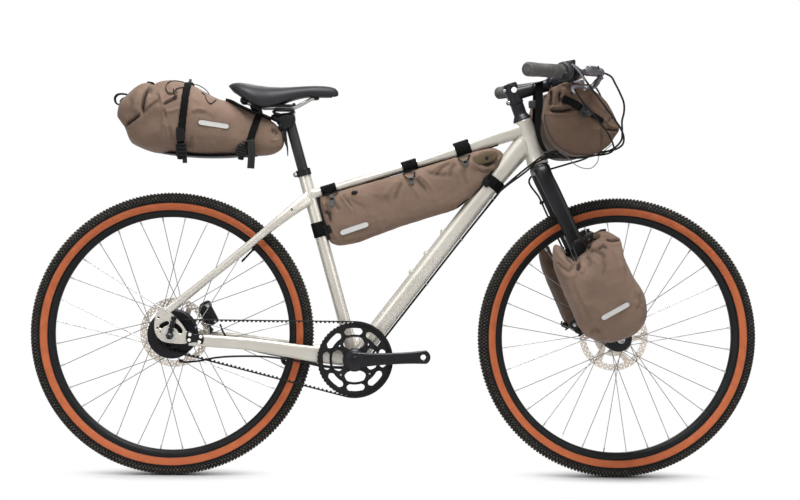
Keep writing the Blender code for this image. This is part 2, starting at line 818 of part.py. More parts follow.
def build_drive():
    belt = plate("drive_belt", [belt_outline(belt_back), belt_outline(gap - tooth_tip_drop)],
                 -belt_line, belt_width)
    smooth(show(belt, "belt_black"))

    hub = (bracket.x, bracket.z)
    holes = [arc(hub, bolt_circle - 0.008, 0, 345, 24)]
    for k in range(8):
        middle = 45 * k + 22.5
        window = arc(hub, 0.0840, middle - 16.5, middle + 16.5, 5)
        window += arc(hub, 0.0660, middle + 15.5, middle - 15.5, 3)
        holes.append(window)
    front = plate("front_sprocket", [toothed(bracket, front_pitch_radius, front_teeth), *holes],
                  -belt_line, sprocket_thickness)
    show(front, "black_paint")

    hub = (rear_centre.x, rear_centre.z)
    rear = plate("rear_sprocket", [toothed(rear_centre, rear_pitch_radius, rear_teeth),
                                   arc(hub, 0.0110, 0, 330, 12)],
                 -belt_line, sprocket_thickness)
    flange_y = belt_line - sprocket_thickness / 2 - 0.001
    boss = turned("driver_boss",
                  [(0.017, -0.056), (0.017, -flange_y), (axle_radius + gap, -flange_y),
                   (axle_radius + gap, -0.056)], rear_centre, side_axis, 20)
    join(rear, realise(boss))
    show(rear, "hub_black")

    arm_y = crank_offset + crank_thickness / 2
    for word, side, direction in (("right", -1, 0), ("left", 1, math.pi)):
        angle = direction + crank_tilt
        eye = bracket + Vector((math.cos(angle), 0, math.sin(angle))) * crank_length
        tilt = math.degrees(angle)
        lean = math.degrees(math.asin((crank_boss_radius - crank_eye_radius) / crank_length))
        outline = arc((bracket.x, bracket.z), crank_boss_radius, tilt + 90 - lean, tilt + 270 + lean, 12)
        outline += arc((eye.x, eye.z), crank_eye_radius, tilt - 90 + lean, tilt + 90 - lean, 10)
        arm = plate("crank_" + word, [outline], side * arm_y, crank_thickness)
        cut(arm, rod("pedal_hole", eye + side_axis * 0.2 * side, eye, pedal_hole_radius, 16))
        if side < 0:
            add_spider(arm)
        else:
            bore = rod("spindle_bore", bracket, bracket + side_axis * 0.2, spindle_radius + gap, 24)
            cut(arm, bore)
        smooth(show(arm, "black_paint"))


def add_spider(arm):
    """The right arm's four sprocket arms and the spindle that passes through the frame."""
    low = belt_line + sprocket_thickness / 2 + gap
    high = crank_offset + 0.004
    boss = rod("spider_boss", bracket - side_axis * low, bracket - side_axis * high, 0.0240, 24)
    join(arm, boss)
    for k in range(4):
        angle = math.radians(45 + 90 * k) + crank_tilt
        out = Vector((math.cos(angle), 0, math.sin(angle)))
        across = Vector((-out.z, 0, out.x))
        stations = ((0.006, 0.011), (0.030, 0.0085), (bolt_circle, 0.0075), (bolt_circle + 0.0075, 0.005))
        front, back = [], []
        for distance, half in stations:
            front.append((distance, half))
            back.append((distance, -half))
        outline = [
            ((bracket + out * d + across * w).x, (bracket + out * d + across * w).z)
            for d, w in front + back[::-1]
        ]
        tab = plate("spider_arm", [outline], -(low + 0.0025), 0.005)
        join(arm, tab)
    spindle = rod("spindle", bracket - side_axis * high,
                  bracket + side_axis * (crank_offset + crank_thickness - 0.001), spindle_radius, 24)
    join(arm, spindle)


# Fork and cockpit
def fork_leg_stations(side):
    top = on_head(-0.020, 0.0, side * fork_leg_y_top)
    low = Vector((front_centre.x, side * fork_leg_y_low, front_centre.z))
    return [
        (top, 0.0200, 0.0115),
        (top.lerp(low, 0.30), 0.0198, 0.0108),
        (top.lerp(low, 0.62), 0.0168, 0.0095),
        (top.lerp(low, 0.90), 0.0128, 0.0068),
        (top.lerp(low, 0.985), 0.0115, 0.0050),
    ]


def fork_sweep():
    """Rings from one leg's foot over the crown to the other foot."""
    legs = fork_leg_stations(-1)
    run = (legs[-1][0] - legs[0][0]).normalized()
    ahead_of_leg = Vector((-run.z, 0, run.x)).normalized()
    ahead_of_crown = Vector((head_up.z, 0, -head_up.x))
    half = [(centre, tall, wide, ahead_of_leg) for centre, tall, wide in reversed(legs[1:])]
    for drop, y, tall, wide in ((0.030, fork_leg_y_top - 0.0010, 0.0205, 0.0125), (0.0170, 0.0405, 0.0215, 0.0135),
                                (0.0140, 0.0260, 0.0235, 0.0135), (0.0140, 0.0, 0.0255, 0.0135)):
        half.append((on_head(-drop, 0, -y), tall, wide, ahead_of_crown))
    mirrored = [(Vector((c.x, -c.y, c.z)), tall, wide, ahead) for c, tall, wide, ahead in half[-2::-1]]
    stations = half + mirrored
    rings = []
    for i, (centre, tall, wide, ahead) in enumerate(stations):
        along = (stations[min(i + 1, len(stations) - 1)][0] - stations[max(i - 1, 0)][0]).normalized()
        rings.append(ring_at(centre, ahead, along.cross(ahead).normalized(), tall, wide, 12, 2.4))
    return rings


def build_fork():
    fork = loft("fork", fork_sweep())
    for side in (-1, 1):
        inside = front_hub_width / 2
        eye = rod("fork_eye", front_centre + side_axis * side * inside,
                  front_centre + side_axis * side * (inside + 0.011), fork_eye_radius, 16)
        join(fork, eye)
    join(fork, rod("steerer", on_head(-0.012), on_head(stem_high - 0.002), steerer_radius, 20))
    cut(fork, rod("axle_bore", front_centre - side_axis * 0.2, front_centre + side_axis * 0.2,
                  front_axle_radius + gap, 24))
    smooth(show(fork, "black_paint"))

    reach = front_hub_width / 2 + 0.011
    axle = turned("front_axle",
                  [(0, -reach - 0.004), (0.0095, -reach - 0.004), (0.0105, -reach - gap),
                   (front_axle_radius, -reach - gap), (front_axle_radius, reach + 0.002),
                   (0, reach + 0.002)],
                  front_centre, side_axis, 24)
    smooth(show(realise(axle), "polished_metal"))

    cover_top = head_length + 0.015
    stack = turned("headset_stack",
                   [(head_radius_top + 0.0005, head_length + gap), (0.0180, cover_top), (0.0170, cover_top),
                    (0.0170, stem_low - gap), (steerer_radius + gap, stem_low - gap),
                    (steerer_radius + gap, head_length + gap)],
                   head_base, head_up, 24)
    smooth(show(realise(stack), "black_paint"))


def from_bar(ahead, y, above, side):
    """A point placed from the bar's middle."""
    return Vector((bar_x + ahead, y * side, bar_z + above))


stem_middle = on_head((stem_low + stem_high) / 2)
bar_x = stem_middle.x + stem_length * math.cos(stem_slope)
bar_z = stem_middle.z + stem_length * math.sin(stem_slope)
grip_end = Vector((bar_x - grip_end_back, grip_end_y, bar_z + grip_end_rise))
grip_inward = Vector((math.sin(grip_sweep), -math.cos(grip_sweep), 0.045)).normalized()


def on_grip(distance, side, ahead=0.0, above=0.0):
    """A point by the grip's axis, measured inwards from the bar's end."""
    forward = Vector((math.cos(grip_sweep), math.sin(grip_sweep), 0))
    place = grip_end + grip_inward * distance + forward * ahead + Vector((0, 0, above))
    return Vector((place.x, place.y * side, place.z))


def bar_route():
    """The right half of the bar from its end to the middle, and the left half back again."""
    right = [on_grip(0.002, -1), on_grip(0.09, -1), on_grip(0.165, -1), on_grip(0.195, -1),
             on_grip(0.214, -1), on_grip(0.228, -1), from_bar(0.046, 0.150, 0.0120, -1),
             from_bar(0.046, 0.126, 0.0110, -1), from_bar(0.032, 0.096, 0.0070, -1),
             from_bar(0.010, 0.064, 0.0015, -1), from_bar(0.0, 0.045, 0.0, -1)]
    left = [Vector((p.x, -p.y, p.z)) for p in reversed(right)]
    return right + [Vector((bar_x, 0, bar_z))] + left


def build_cockpit():
    bar = realise(pipe("handlebar", smooth_path(bar_route(), 0.00022), bar_radius, 2))
    swell = turned("bar_swell",
                   [(bar_radius - 0.001, -0.060), (bar_clamp_radius, -0.038), (bar_clamp_radius, 0.038),
                    (bar_radius - 0.001, 0.060), (0, 0.060), (0, -0.060)],
                   Vector((bar_x, 0, bar_z)), side_axis, 20)
    join(bar, realise(swell))
    smooth(show(bar, "black_paint"))

    bar_middle = Vector((bar_x, 0, bar_z))
    reach = bar_middle - stem_middle
    outward = reach.normalized()
    stem = rod("stem", on_head(stem_low), on_head(stem_high), 0.0185, 24)
    neck = rod_cone("neck", stem_middle, bar_middle - outward * 0.010, 0.0165, 0.0150, 20)
    grip_block = rod("bar_clamp", bar_middle - side_axis * 0.021, bar_middle + side_axis * 0.021, 0.0215, 24)
    join(stem, neck, grip_block)
    bar_cutter = rod("bar_cutter", bar_middle - side_axis * 0.2, bar_middle + side_axis * 0.2,
                     bar_clamp_radius + gap, 20)
    steerer_cutter = rod("steerer_cutter", on_head(0), on_head(stem_high - 0.001), steerer_radius + gap, 24)
    face = block("face_cutter", bar_middle + outward * 0.03, (0.06, 0.2, 0.2),
                 outward.to_track_quat("X", "Z").to_euler())
    cut(stem, bar_cutter, steerer_cutter, face)
    smooth(show(stem, "black_paint"))
    plate_body = rod("stem_faceplate", bar_middle - side_axis * 0.021, bar_middle + side_axis * 0.021, 0.0215, 24)
    back = block("back_cutter", bar_middle - outward * (0.03 - 2 * gap), (0.06, 0.2, 0.2),
                 outward.to_track_quat("X", "Z").to_euler())
    lug_up = Vector((0, 0, 1)) - outward * outward.z
    face_block = block("face_lugs", bar_middle + outward * 0.006, (0.010, 0.036, 0.050),
                       outward.to_track_quat("X", "Z").to_euler(), 0.002, 2)
    join(plate_body, face_block)
    cut(plate_body, rod("bar_cutter", bar_middle - side_axis * 0.2, bar_middle + side_axis * 0.2,
                        bar_clamp_radius + gap, 20), back)
    smooth(show(plate_body, "black_paint"))

    for word, side, length in (("right", -1, fixed_grip_length), ("left", 1, grip_length)):
        axis = on_grip(1, side) - on_grip(0, side)
        grip = turned("grip_" + word,
                      [(0, -0.004), (grip_radius - 0.002, -0.004), (grip_radius + 0.0008, 0.0005),
                       (grip_radius + 0.0008, 0.006), (grip_radius, 0.008), (grip_radius, length),
                       (bar_radius + gap, length), (bar_radius + gap, 0.002 - gap), (0, 0.002 - gap)],
                      on_grip(0, side), axis, 20)
        smooth(show(realise(grip), "grip_rubber"))

    axis = on_grip(1, -1) - on_grip(0, -1)
    sleeve = turned("twist_shifter",
                    [(grip_radius, fixed_grip_length + gap), (grip_radius, grip_length - 0.010),
                     (grip_radius + 0.0015, grip_length - gap), (bar_radius + gap, grip_length - gap),
                     (bar_radius + gap, fixed_grip_length + gap)],
                    on_grip(0, -1), axis, 20)
    smooth(show(realise(sleeve), "grip_rubber"))
    end = grip_length + shifter_length
    drum = turned("shifter_housing",
                  [(0.0190, grip_length), (0.0242, grip_length + 0.0065), (shifter_radius, grip_length + 0.0125),
                   (0.0245, grip_length + 0.0190), (0.0190, end), (bar_radius + gap, end),
                   (bar_radius + gap, grip_length)],
                  on_grip(0, -1), axis, 24)
    smooth(show(realise(drum), "grip_rubber"))

    for word, side in (("right", -1), ("left", 1)):
        build_brake_lever(word, side)


def in_lever_plane(along, reach, side, lift=0.0):
    """A point in the lever's plane, which drops forward from the grip's axis."""
    ahead = reach * math.cos(lever_drop) + lift * math.sin(lever_drop)
    above = -reach * math.sin(lever_drop) + lift * math.cos(lever_drop)
    return on_grip(along, side, ahead, above)


def cylinder_point(along, side):
    return on_grip(along, side, 0.035, 0.0)


def build_brake_lever(word, side):
    """The lever's clamp and cylinder on the bar, and the blade below its knuckle."""
    axis = (on_grip(1, side) - on_grip(0, side)).normalized()
    low, high = lever_clamp_place, lever_clamp_place + 0.012
    clamp = turned("brake_body_" + word,
                   [(0.0165, low), (0.0165, high), (bar_radius + gap, high), (bar_radius + gap, low)],
                   on_grip(0, side), axis, 20)
    clamp = realise(clamp)
    neck = pipe("lever_neck", [on_grip(low + 0.006, side, 0.0135), on_grip(low + 0.012, side, 0.034)],
                0.0058, 2)
    cylinder = rod("lever_cylinder", cylinder_point(low + 0.003, side), cylinder_point(low + 0.080, side), 0.0105, 16)
    along, reach = lever_pivot_along, lever_pivot_reach
    knuckle = rod("lever_knuckle", in_lever_plane(along, reach, side, gap),
                  in_lever_plane(along, reach, side, 0.019), 0.0080, 12)
    join(clamp, realise(neck), cylinder, knuckle)
    smooth(show(clamp, "lever_metal"))

    boss = rod("brake_lever_" + word, in_lever_plane(along, reach, side, -0.0125),
               in_lever_plane(along, reach, side, 0.0), 0.0080, 12)
    blade_route = [in_lever_plane(along - 0.002, reach, side, -0.006)]
    for place, out in ((0.245, 0.049), (0.210, 0.053), (0.170, 0.050), (0.140, 0.058), (0.124, 0.078)):
        blade_route.append(in_lever_plane(place, out, side, -0.006))
    blade = pipe("blade", smooth_path(blade_route, 0.0008), 0.0042, 1)
    join(boss, realise(blade))
    smooth(show(boss, "lever_metal"))


# Seat
def build_seat():
    top = seatpost_top
    post = turned("seatpost",
                  [(0, seat_tube_length - seatpost_insertion), (seatpost_radius, seat_tube_length - seatpost_insertion),
                   (seatpost_radius, top), (0, top)],
                  bracket, seat_up, 24)
    post = realise(post)

    side_route = [(-0.388, 0.024, 0.9590), (-0.372, 0.023, 0.9515), (-0.350, rail_y, rail_z),
                  (-0.310, rail_y, rail_z), (-0.272, rail_y, rail_z + 0.0005), (-0.246, 0.019, 0.9600),
                  (-0.226, 0.013, 0.9710), (-0.217, 0.006, 0.9735)]
    mirrored = [(x, -y, z) for x, y, z in reversed(side_route)]
    route = [Vector(p) for p in side_route + mirrored]
    rails = pipe("saddle_rails", smooth_path(route, 0.0007), rail_radius, 1)
    smooth(show(realise(rails), "polished_metal"))

    clamp_middle = Vector((-0.2955, 0, rail_z - 0.0015))
    clamp = block("post_head", clamp_middle, (0.044, 0.056, 0.024), (0, 0, 0), 0.004, 2)
    grown = realise(pipe("rail_cutter", smooth_path(route, 0.0007), rail_radius + 2 * gap, 1))
    join(post, clamp)
    cut(post, grown)
    smooth(show(post, "black_paint"))

    stations = [(-0.4370, 0.9985, 0.9900, 0.030), (-0.4260, 1.0060, 0.9790, 0.054), (-0.4050, 1.0100, 0.9700, 0.070),
                (-0.3750, 1.0090, 0.9620, 0.0745), (-0.3450, 1.0060, 0.9580, 0.0680),
                (-0.3100, 1.0040, 0.9620, 0.0520), (-0.2700, 1.0045, 0.9680, 0.0370),
                (-0.2200, 1.0060, 0.9780, 0.0250), (-0.1800, 1.0040, 0.9800, 0.0190),
                (-0.1600, 0.9960, 0.9815, 0.0130)]
    rings = []
    for x, high, low, half in stations:
        rings.append(ring_at((x, 0, (high + low) / 2), side_axis, (0, 0, 1), half, (high - low) / 2, 20, 2.6))
    smooth(show(loft("saddle", rings), "saddle_cover"))


seatpost_top = (0.9345 - bracket_z) / math.sin(seat_angle)
rail_y = 0.022
rail_z = 0.9475
rail_radius = 0.0035


# Bags
def saddle_bag_stations():
    """x, top, bottom and half width, from the rolled rear end to the nose at the seatpost."""
    half = saddle_bag_width / 2
    return [(-0.7200, 0.9450, 0.9000, 0.60 * half), (-0.7050, 0.9700, 0.8850, 0.78 * half),
            (-0.6800, 0.9860, 0.8530, 0.92 * half), (-0.6450, 1.0040, 0.8350, 1.00 * half),
            (-0.5900, 1.0130, 0.8280, 1.00 * half), (-0.5550, 1.0120, 0.8240, 0.98 * half),
            (-0.5100, 0.9900, 0.8210, 0.92 * half), (-0.4600, 0.9670, 0.8200, 0.84 * half),
            (-0.4000, 0.9400, 0.8220, 0.70 * half), (-0.3500, 0.9130, 0.8260, 0.54 * half),
            (-0.3180, 0.8980, 0.8330, 0.42 * half), (-0.2985, 0.8820, 0.8480, 0.28 * half)]


def saddle_bag_rings(grow=0.0, count=20):
    return [
        ring_at((x, 0, (high + low) / 2), side_axis, (0, 0, 1), half + grow, (high - low) / 2 + grow, count, 2.7)
        for x, high, low, half in saddle_bag_stations()
    ]


def strap_round(name, inner_rings, outer_rings, slot="strap_webbing"):
    """A strap wound round a tube or a bag: the space between two lofts."""
    outer = loft(name, outer_rings)
    cut(outer, loft(name + "_inside", inner_rings))
    return smooth(show(outer, slot))


def stations_at(stations, place, width):
    """Two stations, one strap width apart, about a place given by x on a bent tube."""
    for first, second in zip(stations, stations[1:]):
        low, high = sorted((first[0].x, second[0].x))
        if low <= place <= high:
            share = (place - first[0].x) / (second[0].x - first[0].x)
            reach = width / 2 / (second[0] - first[0]).length
            return (between([first, second], share - reach, share + reach),
                    between([first, second], share - 2 * reach, share + 2 * reach))
    raise ValueError("no stretch of the tube holds that place")


def tube_strap(name, stations, place, width, count=12, power=2.2):
    strap_stations, longer = stations_at(stations, place, width)
    return strap_round(name, tube_rings(longer, strap_play, count, power),
                       tube_rings(strap_stations, strap_play + strap_thickness, count, power))


def frame_bag_outline():
    """The bag under the top tube, kept clear of the three tubes round it."""
    return [(-0.1930, 0.7180), (-0.1000, 0.7455), (0.0600, 0.7925), (0.1700, 0.8240), (0.2350, 0.8420),
            (0.2540, 0.8420), (0.2590, 0.8330), (0.2370, 0.8010), (0.2070, 0.7610), (0.1770, 0.7220),
            (0.1560, 0.6990), (0.0070, 0.6460), (-0.1310, 0.5990), (-0.1490, 0.5940), (-0.1660, 0.6030),
            (-0.1790, 0.6720), (-0.1970, 0.7110)]


def handlebar_bag_outline():
    """The roll's end about its middle: flat behind, cut slanting on top, pointed in front."""
    return [(-0.0965, 0.0080), (-0.0900, 0.0460), (-0.0810, 0.0720), (-0.0650, 0.0900),
            (-0.0410, 0.0970), (-0.0110, 0.0960), (0.0170, 0.0810), (0.0480, 0.0600),
            (0.0750, 0.0380), (0.0910, 0.0100), (0.0960, -0.0190), (0.0780, -0.0520),
            (0.0490, -0.0740), (0.0160, -0.0840), (-0.0110, -0.0870), (-0.0390, -0.0830),
            (-0.0640, -0.0710), (-0.0850, -0.0400)]


def fork_bag_outline():
    return [(0.3980, 0.5930), (0.4400, 0.6180), (0.5080, 0.6400), (0.5480, 0.6250), (0.5680, 0.5780),
            (0.5960, 0.5160), (0.6180, 0.4780), (0.6270, 0.4420), (0.6180, 0.4050), (0.5880, 0.3770),
            (0.5370, 0.3600), (0.4880, 0.3680), (0.4630, 0.3860), (0.4400, 0.4400), (0.4090, 0.5100),
            (0.3900, 0.5680)]


def build_bags():
    smooth(show(loft("saddle_bag", saddle_bag_rings()), "bag_fabric"))
    grown = saddle_bag_rings(strap_play + 0.0003)
    for name, place in (("saddle_bag_strap_rear", 5), ("saddle_bag_strap_front", 9)):
        stations = saddle_bag_stations()
        inner = grown[place - 1:place + 2]
        outer = []
        for offset in (-0.45, 0.45):
            x = stations[place][0] + offset * strap_width
            other = stations[place + (1 if offset > 0 else -1)]
            share = (x - stations[place][0]) / (other[0] - stations[place][0])
            high, low, half = (a + (b - a) * share for a, b in zip(stations[place][1:], other[1:]))
            outer.append(ring_at((x, 0, (high + low) / 2), side_axis, (0, 0, 1), half + strap_thickness + 0.0012,
                                 (high - low) / 2 + strap_thickness + 0.0012, 20, 2.7))
        strap_round(name, inner, outer)

    bag = plate("frame_bag", [frame_bag_outline()], 0, frame_bag_width)
    rounding = bag.modifiers.new("rounding", "BEVEL")
    rounding.width = 0.009
    rounding.segments = 2
    rounding.limit_method = "ANGLE"
    rounding.angle_limit = math.radians(60)
    smooth(show(bag, "bag_fabric"))
    for name, place in (("top_tube_strap_rear", -0.172), ("top_tube_strap_middle", 0.026),
                        ("top_tube_strap_front", 0.152)):
        tube_strap(name, top_stations(), place, strap_width)
    tube_strap("down_tube_strap", down_stations(), 0.262, strap_width)
    seat_stations = [(on_seat(0.2), seat_tube_radius, seat_tube_radius),
                     (on_seat(0.45), seat_tube_radius, seat_tube_radius)]
    tube_strap("seat_tube_strap", seat_stations, on_seat(0.345).x, 0.040, 24, 2.0)

    half = handlebar_bag_length / 2
    middle_x = bar_x + handlebar_bag_ahead
    middle_z = bar_z - handlebar_bag_drop
    rings = []
    highest = max(z for _, z in handlebar_bag_outline()) + 0.001
    for share, scale, top in ((-1.0, 0.86, highest), (-0.95, 0.97, highest), (-0.80, 1.0, highest),
                              (-0.55, 1.0, 0.088), (-0.32, 1.0, handlebar_bag_low_top),
                              (0.32, 1.0, handlebar_bag_low_top), (0.55, 1.0, 0.088), (0.80, 1.0, highest),
                              (0.95, 0.97, highest), (1.0, 0.86, highest)):
        ring = []
        for x, z in handlebar_bag_outline():
            z = z * scale
            if z > 0:
                z = z * min(1.0, top / highest)
            z = z + middle_z
            x = middle_x + x * scale
            if abs(share) < 0.4:
                x = max(x, head_x - (z - head_z) / math.tan(head_angle) + head_radius_low + 0.0035)
            ring.append(Vector((x, share * half, z)))
        rings.append(ring)
    smooth(show(loft("handlebar_bag", rings), "bag_fabric"))

    for word, side in (("right", -1), ("left", 1)):
        middle = side * (fork_bag_y + fork_bag_depth / 2)
        bag = plate("fork_bag_" + word, [fork_bag_outline()], middle, fork_bag_depth)
        rounding = bag.modifiers.new("rounding", "BEVEL")
        rounding.width = 0.026
        rounding.segments = 2
        rounding.limit_method = "ANGLE"
        rounding.angle_limit = math.radians(60)
        join(bag, fork_bag_holder(side))
        smooth(show(bag, "bag_fabric"))


def fork_bag_holder(side):
    """The block between a fork leg and its bag, hollowed to the leg's shape."""
    leg = fork_leg_stations(side)
    centre = leg[0][0].lerp(leg[-1][0], 0.56)
    run = (leg[-1][0] - leg[0][0]).normalized()
    outer = fork_bag_y + 0.010
    inner = abs(centre.y) - 0.004
    turn = (0, math.atan2(run.x, run.z) - math.pi, 0)
    holder = block("fork_bag_holder", Vector((centre.x, side * (outer + inner) / 2, centre.z)),
                   (0.032, outer - inner, 0.150), turn, 0.003, 2)
    cut(holder, loft("leg_cutter", tube_rings(fork_leg_stations(side), gap, power=2.4)))
    return realise(holder)


# Hoses and the gear cable
hose_radius = 0.0025


def under_down(distance, side):
    return on_down(distance, -down_depth / 2 - hose_radius - 0.0012, side)


def round_shell(angle, side, out=0.0):
    """A point just outside the bottom bracket shell, at an angle in degrees from +X."""
    reach = bracket_shell_radius + hose_radius + 0.0034 + out
    turn = math.radians(angle)
    return bracket + Vector((reach * math.cos(turn), side, reach * math.sin(turn)))


def build_hoses():
    cylinder_end = cylinder_point(lever_clamp_place + 0.079, -1)
    rear = [cylinder_end + Vector((0.0035, 0.0040, 0)), Vector((0.5170, -0.1440, 1.0310)),
            Vector((0.5450, -0.1340, 1.0000)), Vector((0.5665, -0.1240, 0.9520)), Vector((0.5580, -0.1100, 0.9120)),
            Vector((0.5660, -0.0950, 0.8710)), Vector((0.5380, -0.0750, 0.8330)), Vector((0.4800, -0.0560, 0.8120)),
            Vector((0.4120, -0.0460, 0.8125)), Vector((0.3620, -0.0400, 0.8130)), Vector((0.3230, -0.0330, 0.7880)),
            Vector((0.2980, -0.0200, 0.7640)), under_down(0.570, 0.002), under_down(0.500, 0.002),
            under_down(0.400, 0.002), under_down(0.300, 0.002), under_down(0.200, 0.002),
            under_down(0.100, 0.002), under_down(0.030, 0.004), round_shell(-62, 0.008), round_shell(-88, 0.012),
            round_shell(-118, 0.019, 0.002), Vector((-0.1750, 0.0330, 0.2790)), Vector((-0.2600, 0.0470, 0.2960)),
            Vector((-0.3600, 0.0520, 0.3150)), Vector((-0.4250, 0.0480, 0.3350)),
            Vector((-0.4480, rear_rotor_y - 0.002, 0.3620)), Vector((-0.4580, rear_rotor_y, 0.3850))]
    hose = pipe("rear_brake_hose", smooth_path(rear, 0.0012), hose_radius, 1)
    smooth(show(realise(hose), "hose_black"))

    shifter_end = on_grip(grip_length + 0.0130, -1, 0.014, 0.0245)
    gear = [shifter_end, Vector((0.4300, -0.2300, 1.0490)), Vector((0.4530, -0.2310, 1.0260)),
            Vector((0.4860, -0.2180, 0.9970)), Vector((0.5200, -0.2000, 0.9650)), Vector((0.5470, -0.1870, 0.9240)),
            Vector((0.5560, -0.1700, 0.8870)), Vector((0.5430, -0.1400, 0.8480)), Vector((0.5050, -0.1000, 0.8270)),
            Vector((0.4500, -0.0620, 0.8190)), Vector((0.4020, -0.0450, 0.8220)), Vector((0.3620, -0.0370, 0.8235)),
            Vector((0.3300, -0.0350, 0.8040)), Vector((0.3050, -0.0310, 0.7800)), under_down(0.585, -0.0150),
            under_down(0.540, -0.0080), under_down(0.500, -0.0070), under_down(0.400, -0.0070),
            under_down(0.300, -0.0070), under_down(0.200, -0.0070), under_down(0.100, -0.0070),
            under_down(0.030, -0.0090), round_shell(-62, -0.012), round_shell(-88, -0.017),
            round_shell(-118, -0.0220, 0.002), Vector((-0.1800, -0.0330, 0.2830)), Vector((-0.2600, -0.0355, 0.2990)),
            Vector((-0.3300, -0.0360, 0.3080)), Vector((-0.4010, -0.0355, 0.3090)),
            Vector((-0.4600, -0.0360, 0.3050)), Vector((-0.5050, -0.0370, 0.2960)), Vector((-0.5450, -0.0388, 0.2925))]
    cable = realise(pipe("gear_cable", smooth_path(gear, 0.0012), hose_radius, 1))
    join(cable, block("cable_box", Vector((-0.5560, -0.0388, 0.2925)), (0.034, 0.0062, 0.018), (0, 0.20, 0), 0.001, 1))
    smooth(show(cable, "hose_black"))

    cylinder_end = cylinder_point(lever_clamp_place + 0.079, 1)
    leg = fork_leg_stations(1)
    run = (leg[-1][0] - leg[0][0]).normalized()
    behind = Vector((run.z, 0, -run.x))
    front = [cylinder_end + Vector((0.0035, -0.0040, 0)), Vector((0.5170, 0.1440, 1.0310)),
             Vector((0.5450, 0.1340, 1.0000)), Vector((0.5665, 0.1240, 0.9520)), Vector((0.5600, 0.1120, 0.9000)),
             Vector((0.5450, 0.0950, 0.8550)), Vector((0.5050, 0.0780, 0.8250)), Vector((0.4500, 0.0680, 0.8100)),
             Vector((0.4000, 0.0660, 0.7980)), Vector((0.3620, 0.0655, 0.7880)), Vector((0.3480, 0.0600, 0.7680))]
    for share, half in ((0.13, 0.0199), (0.22, 0.0198), (0.32, 0.0197), (0.42, 0.0188), (0.52, 0.0178),
                        (0.62, 0.0168), (0.72, 0.0154)):
        place = leg[0][0].lerp(leg[-1][0], share)
        front.append(place + behind * (half + hose_radius + 0.0032))
    front.append(Vector((0.4830, 0.0500, 0.4530)))
    hose = pipe("front_brake_hose", smooth_path(front, 0.0009), hose_radius, 1)
    smooth(show(realise(hose), "hose_black"))


def stand_on_tyres():
    """Lifts the whole bicycle, cutters too, by what the tyres differ from the typed axle height."""
    for group in (parts, cutters):
        for thing in group.objects:
            thing.location.z += tyre_radius - axle_height


build_wheels()
build_frame()
build_brakes()
build_drive()
build_fork()
build_cockpit()
build_seat()
build_bags()
build_hoses()
stand_on_tyres()
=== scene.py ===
# Looks of the touring bicycle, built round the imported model: skins, treads, spokes, cloth, straps and finishes
import math

import bmesh
import bpy
import numpy as np
from mathutils import Matrix, Vector


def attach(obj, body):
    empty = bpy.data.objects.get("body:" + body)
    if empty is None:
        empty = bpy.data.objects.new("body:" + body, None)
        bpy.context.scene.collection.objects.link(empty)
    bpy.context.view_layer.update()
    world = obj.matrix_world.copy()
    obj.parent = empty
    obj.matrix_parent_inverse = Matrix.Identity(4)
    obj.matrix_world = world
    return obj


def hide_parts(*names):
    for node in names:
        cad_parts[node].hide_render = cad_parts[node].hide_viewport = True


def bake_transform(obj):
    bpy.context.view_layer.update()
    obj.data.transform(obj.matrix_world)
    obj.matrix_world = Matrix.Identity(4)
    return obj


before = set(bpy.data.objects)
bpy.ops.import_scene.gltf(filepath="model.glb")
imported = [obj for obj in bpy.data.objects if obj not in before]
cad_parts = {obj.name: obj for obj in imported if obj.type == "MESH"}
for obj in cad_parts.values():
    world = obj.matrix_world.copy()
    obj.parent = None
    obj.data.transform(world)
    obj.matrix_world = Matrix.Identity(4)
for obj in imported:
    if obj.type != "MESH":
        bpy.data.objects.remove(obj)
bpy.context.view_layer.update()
print("model loaded:", len(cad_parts), "nodes")


# One output of a shader node. A sum on it adds a Math node to the same tree
class Wire:
    def __init__(self, nodes, socket):
        self.nodes, self.socket = nodes, socket

    def sum(self, operation, *parts):
        return self.nodes.node("ShaderNodeMath", {"operation": operation}, dict(enumerate(parts)))

    def __add__(self, other):
        return self.sum("ADD", self, other)

    def __sub__(self, other):
        return self.sum("SUBTRACT", self, other)

    def __rsub__(self, other):
        return self.sum("SUBTRACT", other, self)

    def __mul__(self, other):
        return self.sum("MULTIPLY", self, other)

    __radd__ = __add__
    __rmul__ = __mul__

    def sine(self):
        return self.sum("SINE", self)

    def size(self):
        return self.sum("ABSOLUTE", self)

    def band(self, low, high, toLow=0.0, toHigh=1.0):  # 0 to 1 between two values, eased and clamped
        return self.nodes.node("ShaderNodeMapRange", {"interpolation_type": "SMOOTHSTEP"}, {0: self, 1: low, 2: high,
            3: toLow, 4: toHigh})


def linear(colour):  # sRGB from 0 to 255 as linear light
    share = np.array(colour) / 255
    light = np.where(share > .04045, ((share + .055) / 1.055) ** 2.4, share / 12.92)
    return (*light.tolist(), 1.0)


# The nodes of a material or a world: constants go on their own sockets, and wires are linked
class Nodes:
    def __init__(self, owner):
        owner.use_nodes = True
        self.tree = owner.node_tree

    def join(self, value, socket):
        if isinstance(value, Wire):
            self.tree.links.new(value.socket, socket)
        else:
            socket.default_value = value

    def node(self, kind, settings=None, values=None, output=0):
        made = self.tree.nodes.new(kind)
        for key, value in (settings or {}).items():
            setattr(made, key, value)
        for key, value in (values or {}).items():
            self.join(value, made.inputs[key])
        return Wire(self, made.outputs[output])

    def place(self, output="Object"):
        return self.node("ShaderNodeTexCoord", output=output)


